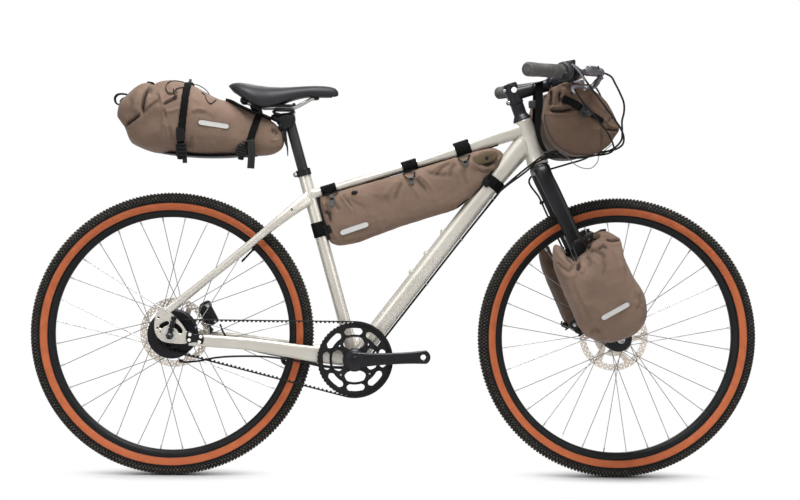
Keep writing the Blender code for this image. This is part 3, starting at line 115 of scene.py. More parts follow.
# A material of one shader: what is the same all over goes on its sockets, and what changes comes from nodes
class Finish(Nodes):
    def __init__(self, name, colour, roughness, metallic=0.0, **constants):
        self.material = bpy.data.materials.new(name)
        super().__init__(self.material)
        self.shader = self.tree.nodes["Principled BSDF"]
        self.material.diffuse_color = linear(colour)
        self.put("Base Color", linear(colour))
        self.put("Roughness", roughness)
        self.put("Metallic", metallic)
        for socket, value in constants.items():
            self.put(socket.replace("_", " "), value)

    def put(self, socket, value):
        self.join(value, self.shader.inputs[socket])

    def split(self, vector):
        made = self.node("ShaderNodeSeparateXYZ", None, {0: vector})
        return [Wire(self, out) for out in made.socket.node.outputs]

    def noise(self, scale, detail=3.0, roughness=.55, at=None, stretch=None):
        at = at or self.place()
        if stretch:
            at = self.node("ShaderNodeMapping", None, {"Vector": at, "Scale": stretch})
        return self.node("ShaderNodeTexNoise", None, {"Vector": at, "Scale": scale, "Detail": detail,
            "Roughness": roughness})

    def blend(self, share, first, second):
        return self.node("ShaderNodeMix", {"data_type": "RGBA"}, {0: share, 6: first, 7: second}, output=2)

    def bump(self, height, distance, strength=1.0):
        self.put("Normal", self.node("ShaderNodeBump", None, {"Height": height, "Distance": distance,
            "Strength": strength}))


# A mesh put together from grids of points. Closed round the columns, it is a tube
class Shape:
    def __init__(self):
        self.points, self.faces, self.uvs, self.paints, self.total = [], [], [], [], 0

    def faceRows(self, rows, uv, paint):
        self.faces.append(rows)
        self.uvs.append(uv)
        self.paints.append(np.full(len(rows), paint))

    # Points of the shape (rows, columns, 3) become quads between neighbours, and ends close with a fan
    def grid(self, points, round=True, ends=True, loop=False, paint=0):
        points = np.asarray(points, float)
        rows, columns = points.shape[:2]
        index = np.arange(rows * columns).reshape(rows, columns) + self.total
        down = np.append(index, index[:1], 0) if loop else index
        both = np.append(down, down[:, :1], 1) if round else down
        wide = np.append(points, points[:, :1], 1) if round else points
        wide = np.append(wide, wide[:1], 0) if loop else wide
        u = np.cumsum(np.linalg.norm(np.diff(wide, axis=1, prepend=wide[:, :1]), axis=2), 1)
        u = u.mean(0)[None, :] + 0 * u
        v = np.cumsum(np.linalg.norm(np.diff(wide, axis=0, prepend=wide[:1]), axis=2), 0)
        v = v.mean(1)[:, None] + 0 * v
        flat = np.stack([u, v], 2)
        quads = np.stack([both[:-1, :-1], both[:-1, 1:], both[1:, 1:], both[1:, :-1]], 2).reshape(-1, 4)
        uv = np.stack([flat[:-1, :-1], flat[:-1, 1:], flat[1:, 1:], flat[1:, :-1]], 2).reshape(-1, 4, 2)
        self.points.append(points.reshape(-1, 3))
        self.total += rows * columns
        if isinstance(paint, (list, np.ndarray)):  # one finish for each row of faces
            self.faceRows(quads, uv, 0)
            self.paints[-1] = np.repeat(np.asarray(paint), both.shape[1] - 1)
            paint = 0
        else:
            self.faceRows(quads, uv, paint)
        if ends and round and not loop:
            for ring, turn in ((0, 1), (rows - 1, -1)):
                middle = points[ring].mean(0)
                self.points.append(middle[None])
                rim = both[ring][::turn]
                fan = np.stack([rim[1:], rim[:-1], np.full(columns, self.total)], 1)
                at = np.append(points[ring], points[ring][:1], 0)[::turn]
                side = np.stack([at[1:], at[:-1], np.tile(middle, (columns, 1))], 1)
                self.total += 1
                self.faceRows(fan, side[..., [0, 2]], paint)
        return self

    # Four short ways to add a grid: a turned profile, a rounded block, a round cord, and a carried section
    def turn(self, profile, base, axis, steps=48, paint=0, loop=False, **more):
        return self.grid(turned(profile, base, axis, steps, **more), ends=False, loop=loop, paint=paint)

    def block(self, centre, half, turn=None, power=6.0, paint=0):
        return self.grid(softBlock(centre, half, turn, power), paint=paint)

    def cord(self, line, radius, sides=10, paint=0):
        return self.grid(cordGrid(line, radius, sides), paint=paint)

    def carry(self, line, section, across=(0, 1, 0), scale=1.0, closed=False, paint=0):
        return self.grid(carried(line, section, across, scale, closed), ends=not closed, loop=closed, paint=paint)

    # The same small form at many places: each has a 3 by 3 turn and a place
    def copies(self, points, faces, turns, places, paint=0):
        points, places = np.asarray(points, float), np.asarray(places, float)
        every = np.einsum("nij,kj->nki", np.asarray(turns, float), points) + places[:, None]
        count = len(points)
        for size in {len(face) for face in faces}:
            chosen = np.array([face for face in faces if len(face) == size])
            rows = (chosen[None] + np.arange(len(places))[:, None, None] * count + self.total).reshape(-1, size)
            uv = np.broadcast_to(points[chosen][None, ..., :2], (len(places), *chosen.shape, 2)).reshape(-1, size, 2)
            self.faceRows(rows, uv, paint)
        self.points.append(every.reshape(-1, 3))
        self.total += len(places) * count
        return self

    def add(self, other, paint=0):
        for rows, uv, paints in zip(other.faces, other.uvs, other.paints):
            self.faceRows(rows + self.total, uv, 0)
            self.paints[-1] = paints + paint
        self.points += other.points
        self.total += other.total
        return self

    def build(self, name, finishes, body, slot, replaces=(), sharp=35, merge=False):
        mesh = bpy.data.meshes.new(name)
        faces = [np.asarray(rows) for rows in self.faces]
        totals = np.concatenate([np.full(len(rows), rows.shape[1]) for rows in faces])
        corners = np.concatenate([rows.ravel() for rows in faces]).astype(np.int32)
        mesh.vertices.add(self.total)
        mesh.vertices.foreach_set("co", np.concatenate(self.points).astype(np.float32).ravel())
        mesh.loops.add(len(corners))
        mesh.loops.foreach_set("vertex_index", corners)
        mesh.polygons.add(len(totals))
        mesh.polygons.foreach_set("loop_start", np.append(0, np.cumsum(totals)[:-1]).astype(np.int32))
        mesh.polygons.foreach_set("material_index", np.concatenate(self.paints).astype(np.int32))
        mesh.uv_layers.new(name="cloth")
        mesh.uv_layers["cloth"].data.foreach_set("uv", np.concatenate([uv.reshape(-1, 2)
            for uv in self.uvs]).astype(np.float32).ravel())
        for finish in finishes if isinstance(finishes, (list, tuple)) else [finishes]:
            mesh.materials.append(finish.material)
        mesh.update(calc_edges=True)
        mesh.validate()
        if merge:
            work = bmesh.new()
            work.from_mesh(mesh)
            bmesh.ops.remove_doubles(work, verts=work.verts, dist=1e-6)
            bmesh.ops.recalc_face_normals(work, faces=work.faces)
            work.to_mesh(mesh)
            work.free()
        mesh.shade_smooth()
        mesh.set_sharp_from_angle(angle=math.radians(sharp))
        piece = bpy.data.objects.new(name, mesh)
        bpy.context.scene.collection.objects.link(piece)
        return settle(piece, body, replaces)


def settle(piece, body, replaces=()):  # files a piece: hides the nodes it stands for, and hangs it on the body it rides on
    if replaces:
        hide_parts(*([replaces] if isinstance(replaces, str) else replaces))
    if body:
        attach(piece, body)
    return piece


def unit(vectors):  # each divided by its own length
    vectors = np.asarray(vectors, float)
    return vectors / np.maximum(np.linalg.norm(vectors, axis=-1, keepdims=True), 1e-12)


# A cubic through given values, with each tangent taken from its two neighbours
def eased(at, places, values):
    places, values, at = (np.asarray(x, float) for x in (places, values, at))
    slope = np.gradient(values, places, axis=0)
    k = np.clip(np.searchsorted(places, at) - 1, 0, len(places) - 2)
    wide = places[k + 1] - places[k]
    t = (at - places[k]) / wide
    if values.ndim > 1:
        wide, t = wide[..., None], t[..., None]
    return ((1 + 2 * t) * (1 - t) ** 2 * values[k] + t * (1 - t) ** 2 * wide * slope[k] + t * t * (3 - 2 * t)
        * values[k + 1] + t * t * (t - 1) * wide * slope[k + 1])


# The points of a smooth line through chosen points, spaced evenly along it
def lineThrough(points, count, closed=False):
    points = np.asarray(points, float)
    if closed:
        points = np.concatenate([points[-3:], points, points[:4]])
    reach = np.append(0, np.cumsum(np.linalg.norm(np.diff(points, axis=0), axis=1) ** .5))
    fine = eased(np.linspace(*(reach[[3, -4]] if closed else reach[[0, -1]]), count * 6), reach, points)
    along = np.append(0, np.cumsum(np.linalg.norm(np.diff(fine, axis=0), axis=1)))
    at = np.linspace(0, along[-1], count + (1 if closed else 0))
    line = np.stack([np.interp(at, along, fine[:, k]) for k in range(points.shape[1])], 1)
    return line[:-1] if closed else line


def ring(halfWide, halfTall, count=32, power=2.0):  # a rounded section: cosine and sine raised to 2 / power
    angle = np.linspace(0, 2 * math.pi, count, endpoint=False)
    c, s = np.cos(angle), np.sin(angle)
    return np.stack([halfWide * np.sign(c) * np.abs(c) ** (2 / power),
        halfTall * np.sign(s) * np.abs(s) ** (2 / power)], 1)


# Directions square to a line at each of its points: the first as near to across as can be
def squareTo(line, across, closed=False):
    steps = np.roll(line, -1, 0) - np.roll(line, 1, 0) if closed else np.gradient(line, axis=0)
    along = unit(steps)
    across = np.broadcast_to(np.asarray(across, float), line.shape)
    first = unit(across - along * (across * along).sum(1, keepdims=True))
    return along, first, np.cross(along, first)


# A section carried along a line: each point is the line's, plus the section's two measures in the square directions
def carried(line, section, across=(0, 1, 0), scale=1.0, closed=False):
    line = np.asarray(line, float)
    _, first, second = squareTo(line, across, closed)
    section = np.broadcast_to(np.asarray(section, float), (len(line), *np.shape(section)[-2:]))
    section = section * (np.reshape(scale, (-1, 1, 1)) if np.ndim(scale) else scale)
    return line[:, None] + section[..., :1] * first[:, None] + section[..., 1:] * second[:, None]


# A round cord or bar: its ring is carried along the line with no twist from one point to the next
def cordGrid(line, radius, sides=10):
    line = np.asarray(line, float)
    along = unit(np.gradient(line, axis=0))
    first = np.zeros_like(line)
    first[0] = unit(np.cross(along[0], (.31, .62, .72)))
    for k in range(1, len(line)):
        first[k] = unit(first[k - 1] - along[k] * (first[k - 1] @ along[k]))
    second = np.cross(along, first)
    circle = ring(1, 1, sides)
    radius = np.reshape(radius, (-1, 1, 1)) if np.ndim(radius) else radius
    return line[:, None] + radius * (circle[:, :1] * first[:, None] + circle[:, 1:] * second[:, None])


def axes(direction, near=(0, 0, 1)):  # a right-handed turn whose third axis is the direction
    third = unit(direction)
    first = np.cross(near, third)
    if np.linalg.norm(first) < 1e-6:
        first = np.cross((1, 0, 0), third)
    first = unit(first)
    return np.stack([first, np.cross(third, first), third], 1)


# A profile of (radius, distance along the axis) turned round an axis
def turned(profile, base, axis, steps=48, near=(0, 0, 1), sides=0):
    profile = np.asarray(profile, float)
    frameOf = axes(axis, near)
    angle = np.linspace(0, 2 * math.pi, steps, endpoint=False)
    reach = profile[:, :1] + 0 * angle
    if sides:  # the profile's radii marked negative become flats of a socket
        flat = np.cos(math.pi / sides) / np.cos((angle + 1e-9) % (2 * math.pi / sides) - math.pi / sides)
        reach = np.where(profile[:, :1] < 0, -profile[:, :1] * flat, reach)
    local = np.stack([reach * np.cos(angle), reach * np.sin(angle), profile[:, 1:] + 0 * angle], 2)
    return local @ frameOf.T + np.asarray(base, float)


def screwProfile(radius, height):  # a low head with a six-sided socket
    return [(0, height * .35), (-radius * .5, height * .35), (-radius * .55, height), (radius * .82, height),
        (radius, height * .75), (radius, 0), (0, 0)]


# A small round head with its socket, turned round its axis
def screw(shape, base, axis, radius=.004, height=.003, paint=0):
    return shape.turn(screwProfile(radius, height), base, axis, 24, sides=6, paint=paint)


# A flat plate with holes, cut along closed outlines in the plane of two axes, its edges rounded
def plateShape(outlines, base, axis, thickness, near=(0, 0, 1), edge=.0004):
    curve = bpy.data.curves.new("outline", "CURVE")
    curve.dimensions, curve.fill_mode = "2D", "BOTH"
    curve.extrude, curve.bevel_depth, curve.bevel_resolution = thickness / 2 - edge, edge, 0
    curve.offset = -edge
    for outline in outlines:
        spline = curve.splines.new("POLY")
        spline.points.add(len(outline) - 1)
        flat = np.zeros((len(outline), 4))
        flat[:, :2] = outline
        flat[:, 3] = 1
        spline.points.foreach_set("co", flat.ravel())
        spline.use_cyclic_u = True
    holder = bpy.data.objects.new("outline", curve)
    mesh = bpy.data.meshes.new_from_object(holder)
    made = Shape()
    points = np.zeros(len(mesh.vertices) * 3)
    mesh.vertices.foreach_get("co", points)
    made.points.append(points.reshape(-1, 3) @ axes(axis, near).T + np.asarray(base, float))
    made.total = len(mesh.vertices)
    sizes = {len(face.vertices) for face in mesh.polygons}
    for size in sizes:
        rows = np.array([list(face.vertices) for face in mesh.polygons if len(face.vertices) == size])
        made.faceRows(rows, points.reshape(-1, 3)[rows][..., :2], 0)
    bpy.data.objects.remove(holder)
    bpy.data.curves.remove(curve)
    return made


def arcPoints(centre, radius, start, end, count):  # angles in degrees
    angle = np.radians(np.linspace(start, end, count))
    return np.stack([centre[0] + radius * np.cos(angle), centre[1] + radius * np.sin(angle)], 1)


def roundAxle(angle):  # unit directions square to the axles, at these angles
    return np.stack([np.cos(angle), 0 * angle, np.sin(angle)], 1)


def inPlane(points, y=0.0):  # (x, z) points of the bicycle's plane, as seen from behind the plane's normal -y
    points = np.asarray(points, float)
    return np.stack([points[..., 0], np.full(points.shape[:-1], y), points[..., 1]], -1)


# The camera's place and turn, and its focal length and middle in steps of a view 800 wide
eye = {"place": (-.1504, -4.1477, .6457), "yaw": .03815, "pitch": .01463, "roll": .01183, "focal": 1603.45,
    "middle": (400.6, 250)}


def eyeTurn():  # the camera's turn, from its yaw, pitch and roll
    turn = Matrix.Rotation(-eye["yaw"], 3, "Z") @ Matrix.Rotation(math.pi / 2 - eye["pitch"], 3, "X")
    return turn @ Matrix.Rotation(eye["roll"], 3, "Z")


def seen(points):  # where points of the near side fall in a view 800 wide
    points = np.array(points, float)
    points[..., 1] = -np.abs(points[..., 1])
    local = (points - eye["place"]) @ np.array(eyeTurn())
    across, up, back = local[..., 0], local[..., 1], local[..., 2]
    middle, focal = eye["middle"], eye["focal"]
    return np.stack([middle[0] + focal * across / -back, middle[1] - focal * up / -back], -1)


def fromView(px, py, y):  # the point at depth y that is seen there
    middle, focal = eye["middle"], eye["focal"]
    ray = np.array(eyeTurn()) @ np.array([(px - middle[0]) / focal, (middle[1] - py) / focal, -1.0])
    return np.array(eye["place"]) + ray * (y - eye["place"][1]) / ray[1]


def viewLine(y, count, *places):  # a smooth line at one depth through places of the view
    return lineThrough([fromView(px, py, y) for px, py in places], count)


def tilted(angle):  # axes turned in the view by an angle in degrees; the third points to the camera's side
    c, s = math.cos(math.radians(angle)), math.sin(math.radians(angle))
    return np.stack([(c, 0, s), (-s, 0, c), (0, -1, 0)], 1)


def softBlock(centre, half, turn=None, power=6.0, rows=14, sides=32):
    # a block with rounded edges: a ring of that power, drawn in towards both ends by the same power
    rise = np.linspace(-math.pi / 2, math.pi / 2, rows)
    scale = np.abs(np.cos(rise)) ** (2 / power) + 1e-5
    level = np.sign(rise) * np.abs(np.sin(rise)) ** (2 / power)
    flat = ring(half[0], half[1], sides, power)
    local = np.concatenate([flat[None] * scale[:, None, None], np.broadcast_to((level * half[2])[:, None, None],
        (rows, sides, 1))], 2)
    return local @ (np.eye(3) if turn is None else np.asarray(turn)).T + np.asarray(centre, float)


# Finishes. Each number pair in a comment is a real size in millimetres
def framePaint():
    made = Finish("champagnePaint", (196, 192, 183), .38, .5, Coat_Weight=.25, Coat_Roughness=.12)
    cloud = made.noise(7.0, 4)
    dust = made.noise(30.0, 2, .5).band(.52, .8)
    tone = made.blend(cloud.band(.3, .7), linear((201, 197, 188)), linear((191, 186, 176)))
    made.put("Base Color", made.blend(dust * .05, tone, linear((160, 150, 132))))
    made.put("Roughness", .33 + dust * .1 + cloud * .06)
    made.bump(cloud, .00002, .2)
    return made


# Satin paint: a slow cloud in its tone and gloss over a very fine grain
def blackPaint(name="satinBlack", colour=(40, 40, 44), roughness=.38, metallic=.25):
    made = Finish(name, colour, roughness, metallic, Specular_IOR_Level=.3)
    cloud = made.noise(14.0, 4)
    grain = made.noise(1500.0, 2)
    lift = tuple(min(255, c * 1.25 + 4) for c in colour)
    made.put("Base Color", made.blend(cloud.band(.35, .75), linear(colour), linear(lift)))
    made.put("Roughness", roughness - .05 + cloud * .12)
    made.bump(grain, .00003, .4)
    return made


def bareMetal(name, colour, roughness, along=None, metallic=1.0):  # fine brushed lines, stretched along one axis
    made = Finish(name, colour, roughness, metallic)
    lines = made.noise(260.0, 3, stretch=along or (1, 1, 1))
    stain = made.noise(45.0, 4)
    dark = tuple(c * .86 for c in colour)
    made.put("Base Color", made.blend(stain.band(.35, .7), linear(colour), linear(dark)))
    made.put("Roughness", roughness - .06 + lines * .14)
    made.bump(lines, .00004, .3)
    return made


def bagCloth(name="bagCloth", colour=(115, 94, 80), dark=(104, 84, 71), pale=(132, 110, 95), deep=(30, 20, 14)):
    # coated cloth: a plain weave of 0.55 by 0.55, a soft mottle, paler wear where it bulges, and painted shade in its
    # creases, read from the shade attribute
    made = Finish(name, colour, .72, 0.0, Sheen_Weight=.08, Sheen_Roughness=.45, Specular_IOR_Level=.3)
    u, v, _ = made.split(made.place("UV"))
    threads = (u * 11400.0).sine() * (v * 11400.0).sine()
    mottle = made.noise(16.0, 5, .6)
    fine = made.noise(420.0, 3)
    creased = made.noise(60.0, 4, .7, stretch=(1, 1, 2.2))
    tone = made.blend(mottle.band(.3, .72), linear(dark), linear(colour))
    tone = made.blend(creased.band(.55, .8) * .35, tone, linear(pale))
    tone = made.blend(fine.band(.5, .8) * .18, tone, linear(dark))
    # painted shade: the shade attribute darkens the cloth towards the deep colour in creases and recesses
    creaseShade = made.node("ShaderNodeAttribute", {"attribute_name": "shade"}, output=2)
    made.put("Base Color", made.blend(creaseShade, tone, linear(deep)))
    made.put("Roughness", .64 + mottle * .16)
    made.bump(threads * .3 + fine * .5 + creased * 1.6 + mottle * 1.2, .0006, .5)
    return made


def webbing(name="webbing", colour=(8, 8, 9), pale=(20, 19, 19)):  # woven tape: ribs 1.6 apart across it, edges bound
    made = Finish(name, colour, .86, Specular_IOR_Level=.12)
    u, v, _ = made.split(made.place("UV"))
    ribs = (v * 3900.0).sine() * .5 + (u * 5200.0 + (v * 3900.0).sine()).sine() * .3
    fray = made.noise(300.0, 3)
    made.put("Base Color", made.blend(fray.band(.4, .8) * .5 + ribs * .12, linear(colour), linear(pale)))
    made.bump(ribs + fray * .4, .00035, .6)
    return made


# Moulded plastic: a fine grain, and paler scuffs in patches
def plastic(name, colour, roughness=.45):
    made = Finish(name, colour, roughness, Specular_IOR_Level=.25)
    grain = made.noise(900.0, 2)
    scuff = made.noise(60.0, 5, .7)
    pale = tuple(min(255, c * 1.3 + 8) for c in colour)
    made.put("Base Color", made.blend(scuff.band(.55, .8) * .4, linear(colour), linear(pale)))
    made.put("Roughness", roughness - .05 + scuff * .14)
    made.bump(grain, .00008, .35)
    return made


def wheelReach(made):  # distance from the nearer wheel's axle, and height
    x, y, z = made.split(made.place())
    ahead, above = x.size() - .575, z - .363
    return (ahead * ahead + above * above).sum("SQRT", ahead * ahead + above * above), y


# Rubber with pale dust in patches
def treadRubber(name, dark, pale):
    made = Finish(name, dark, .86, Specular_IOR_Level=.2)
    dust = made.noise(70.0, 5, .7)
    grain = made.noise(1300.0, 2)
    made.put("Base Color", made.blend(dust.band(.42, .8), linear(dark), linear(pale)))
    made.put("Roughness", .78 + dust * .16)
    made.bump(grain + dust, .0002, .4)
    return made


def sideWall():  # orange-brown side wall: fine cords, a browner rim at both edges, two moulded rings
    made = Finish("sideWall", (200, 92, 44), .7)
    reach, _ = wheelReach(made)
    edge = 1 - reach.band(.3176, .3196) * reach.band(.3363, .3346)
    mottle = made.noise(42.0, 5, .65)
    cords = (reach * 9000.0 + made.noise(30.0, 2) * 4.0).sine()
    rings = reach.band(.3226, .3229) * reach.band(.3236, .3233)
    tone = made.blend(mottle.band(.3, .75), linear((157, 76, 35)), linear((172, 89, 44)))
    tone = made.blend(cords * .05 + .05, tone, linear((134, 65, 34)))
    made.put("Base Color", made.blend(edge * .75, tone, linear((70, 40, 24))))
    made.put("Roughness", .62 + mottle * .18)
    made.bump(cords * .15 + rings * 2.0 + mottle * .5, .00025, .5)
    return made


def rotorMetal():  # fine rings round the axle, as the pads leave them
    made = Finish("rotorMetal", (232, 216, 186), .34, .85)
    reach, _ = wheelReach(made)
    swept = (reach * 14000.0 + made.noise(120.0, 3) * 5.0).sine()
    heat = made.noise(26.0, 3)
    made.put("Base Color", made.blend(heat.band(.35, .7), linear((240, 230, 218)), linear((226, 212, 196))))
    made.put("Roughness", .3 + swept * .05)
    made.bump(swept, .00003, .4)
    return made


def gripRubber():  # grey rubber with a fine moulded pattern of small squares
    made = Finish("gripRubber", (94, 91, 90), .78)
    u, v, _ = made.split(made.place("UV"))
    squares = (u * 1500.0).sine() * (v * 1500.0).sine()
    rubbed = made.noise(48.0, 4, .65)
    made.put("Base Color", made.blend(rubbed.band(.4, .75), linear((66, 64, 62)), linear((86, 83, 80))))
    made.put("Roughness", .68 + rubbed * .18)
    made.bump(squares * .5 + rubbed * .6, .0003, .5)
    return made


def saddleSkin():  # dark leather-like cover with a fine grain, paler where it is rubbed
    made = Finish("saddleSkin", (54, 51, 55), .52, 0.0, Sheen_Weight=.05, Specular_IOR_Level=.3)
    grain = made.noise(650.0, 4, .6)
    rubbed = made.noise(22.0, 4)
    made.put("Base Color", made.blend(rubbed.band(.35, .75), linear((15, 13, 17)), linear((23, 20, 25))))
    made.put("Roughness", .44 + rubbed * .16)
    made.bump(grain, .00025, .45)
    return made


paint = framePaint()
satin = blackPaint(colour=(23, 23, 26))
softBlack = blackPaint("deepBlack", (14, 14, 15), .5, .1)
hubBlack = blackPaint("hubAnodised", (22, 22, 24), .4, .45)
rimBlack = blackPaint("rimAnodised", (16, 17, 18), .5, .3)
cloth = bagCloth()
# painted shade: a darker copy of the bag cloth for the handlebar bag, which sits in the levers' shadow
clothBarShaded = bagCloth("bagClothBarShaded", (92, 72, 58), (81, 62, 49), (108, 87, 72))
# painted shade: a much darker copy of the bag cloth for the far fork bag, in the shade behind the wheel
clothFarShaded = bagCloth("bagClothFarShaded", (82, 64, 50), (70, 54, 41), (97, 78, 62))
clothShade = bagCloth("bagClothInside", (92, 78, 56), (74, 61, 44), (112, 98, 72))
clothSeam = bagCloth("bagClothSeam", (58, 42, 32), (46, 33, 25), (72, 55, 43))
tape = webbing()
greyTape = webbing("greyWebbing", (36, 36, 35), (54, 53, 51))
buckle = plastic("buckle", (11, 11, 12), .4)
greyPlastic = plastic("greyPlastic", (80, 80, 81), .42)
darkPlastic = plastic("darkPlastic", (48, 48, 49), .42)
palePatch = plastic("palePatch", (178, 176, 173), .5)
boltPale = plastic("boltPale", (226, 223, 219), .5)
# painted light and shade on one rubber: the crown between the knobs is painted darker as shade, and the knobs paler
# as lit; both have pale dust in patches
treadShadeBetweenKnobs = treadRubber("treadShadeBetweenKnobs", (15, 14, 14), (27, 26, 24))
treadKnobsLit = treadRubber("treadRubber", (50, 47, 43), (78, 74, 67))
wall = sideWall()
spokeSteel = bareMetal("spokeSteel", (150, 150, 152), .34)
boltSteel = bareMetal("boltSteel", (222, 222, 224), .3)
rotorGold = rotorMetal()
beltRubber = plastic("beltRubber", (17, 18, 19), .62)
grip = gripRubber()
housing = plastic("housing", (46, 46, 47), .5)
leverGrey = bareMetal("leverGrey", (104, 100, 106), .4, metallic=.6)
saddleCover = saddleSkin()
hoseBlack = plastic("hoseBlack", (17, 17, 18), .36)
# pale grey: the thin wire loop's own colour, and on the gear cable's first stretch below the lever a painted
# highlight
paleCableAndHighlight = plastic("paleCableAndHighlight", (116, 116, 120), .4)
print("finishes made:", len(bpy.data.materials))


# Wheels
wheels = {"base": 1.15, "axleHeight": .363, "crown": .3584, "bead": .315, "widest": .3385, "tyreHalf": .0258,
    "bandInner": .3178, "bandOuter": .3363, "knobPitch": .0092, "spokes": 32, "spokeRadius": .00095,
    "rotorRadius": .09, "around": 288}
rearAxle = np.array([-wheels["base"] / 2, 0, wheels["axleHeight"]])
frontAxle = rearAxle * (-1, 1, 1)


def tyreSection():
    # the tyre's side as two quarter ovals about its widest radius, from the bead up and over to the other bead
    size = wheels
    low = np.array([size["bead"], size["bandInner"], .3184, .3188, .3194, .3198, .325, .331, .334, size["bandOuter"]])
    lowTurn = np.arcsin((size["widest"] - low) / (size["widest"] - size["bead"]))
    lowHalf = size["tyreHalf"] * (.52 + .48 * np.cos(lowTurn))
    lowHalf[3:5] += .0004  # a moulded ring
    turn = np.linspace(0, math.pi / 2, 13)
    high = size["widest"] + (size["crown"] - size["widest"]) * np.sin(turn) ** .92
    highHalf = size["tyreHalf"] * np.cos(turn) ** .86
    radius = np.concatenate([low, high])
    half = np.concatenate([lowHalf, highHalf])
    return (np.concatenate([radius, radius[-2::-1]]), np.concatenate([half, -half[-2::-1]]), len(low))


def roundWheel(radius, side, centre, count):  # a section of (radius, side) turned about the axle
    angle = np.linspace(0, 2 * math.pi, count, endpoint=False)
    radius, side = np.asarray(radius)[:, None], np.asarray(side)[:, None]
    return np.stack([radius * np.cos(angle), side + 0 * angle, radius * np.sin(angle)], 2) + centre


knob = (np.array([(-.5, -.5, -.2), (.5, -.5, -.2), (.5, .5, -.2), (-.5, .5, -.2), (-.4, -.38, .8), (.4, -.38, .8),
    (.4, .38, .8), (-.4, .38, .8), (-.3, -.28, 1), (.3, -.28, 1), (.3, .28, 1), (-.3, .28, 1)]),
    [(0, 1, 5, 4), (1, 2, 6, 5), (2, 3, 7, 6), (3, 0, 4, 7), (4, 5, 9, 8), (5, 6, 10, 9), (6, 7, 11, 10),
    (7, 4, 8, 11), (8, 9, 10, 11), (3, 2, 1, 0)])


def addKnobs(shape, centre):
    # rows of blocks: each row has a turn round the section, a length, a width, a height, a shift and a skew
    size = wheels
    count = int(2 * math.pi * .3615 / size["knobPitch"])
    for turn, long, wide, tall, shift, skew in ((84, .0048, .0056, .0046, 0, .15), (64, .0048, .0052, .0042, .5, -.2),
            (46, .005, .005, .004, 0, .15), (29, .0056, .006, .0038, .5, 0), (14, .004, .0036, .0018, 0, 0)):
        for side in (1, -1):
            a = math.radians(turn)
            radius = size["widest"] + (size["crown"] - size["widest"]) * math.sin(a) ** .92
            half = size["tyreHalf"] * math.cos(a) ** .86
            around = (np.arange(count) + shift) * 2 * math.pi / count
            radial = roundAxle(around)
            ahead = np.stack([-np.sin(around), 0 * around, np.cos(around)], 1)
            out = unit(radial * math.sin(a) + np.array([0, side * math.cos(a) * .85, 0]))
            first = unit(ahead + np.cross(out, ahead) * skew * side)
            turns = np.stack([first * long, np.cross(out, first) * wide, out * tall], 2)
            places = centre + radial * radius + np.array([0, side * half, 0])
            shape.copies(*knob, turns, places)


def bars(shape, starts, ends, radius, sides=8, paint=0, tip=1.0):
    # many straight round bars: one capped prism, turned and stretched from each start to its end
    starts, ends = np.atleast_2d(starts).astype(float), np.atleast_2d(ends).astype(float)
    circle = np.concatenate([ring(1, 1, sides), ring(tip, tip, sides)])
    form = np.column_stack([circle, np.repeat([0, 1], sides)])
    k = np.arange(sides)
    faces = [(a, (a + 1) % sides, (a + 1) % sides + sides, a + sides) for a in k]
    faces += [tuple(k[::-1]), tuple(k + sides)]
    run = ends - starts
    third = unit(run)
    first = unit(np.cross(third, (.21, .37, .9)))
    radius = np.broadcast_to(radius, len(run))[:, None]
    turns = np.stack([first * radius, np.cross(third, first) * radius, run], 2)
    return shape.copies(form, faces, turns, starts, paint)


def lacing(flangeRadius, flangeSide, centre):
    # crossed spokes: each leaves its flange a few holes ahead or behind of where it meets the rim
    k = np.arange(wheels["spokes"])
    side = np.where(k % 2, 1.0, -1.0)
    leading = np.where((k // 2) % 2, 1.0, -1.0)
    atRim = (k + .5) * 2 * math.pi / len(k)
    atHub = atRim + leading * 4 * math.pi / len(k) * 2 * .86
    low = np.stack([flangeRadius * np.cos(atHub), side * flangeSide + .0016 * leading, flangeRadius * np.sin(atHub)],
        1)
    high = np.stack([.301 * np.cos(atRim), side * .003, .301 * np.sin(atRim)], 1)
    return centre + low, centre + high, side


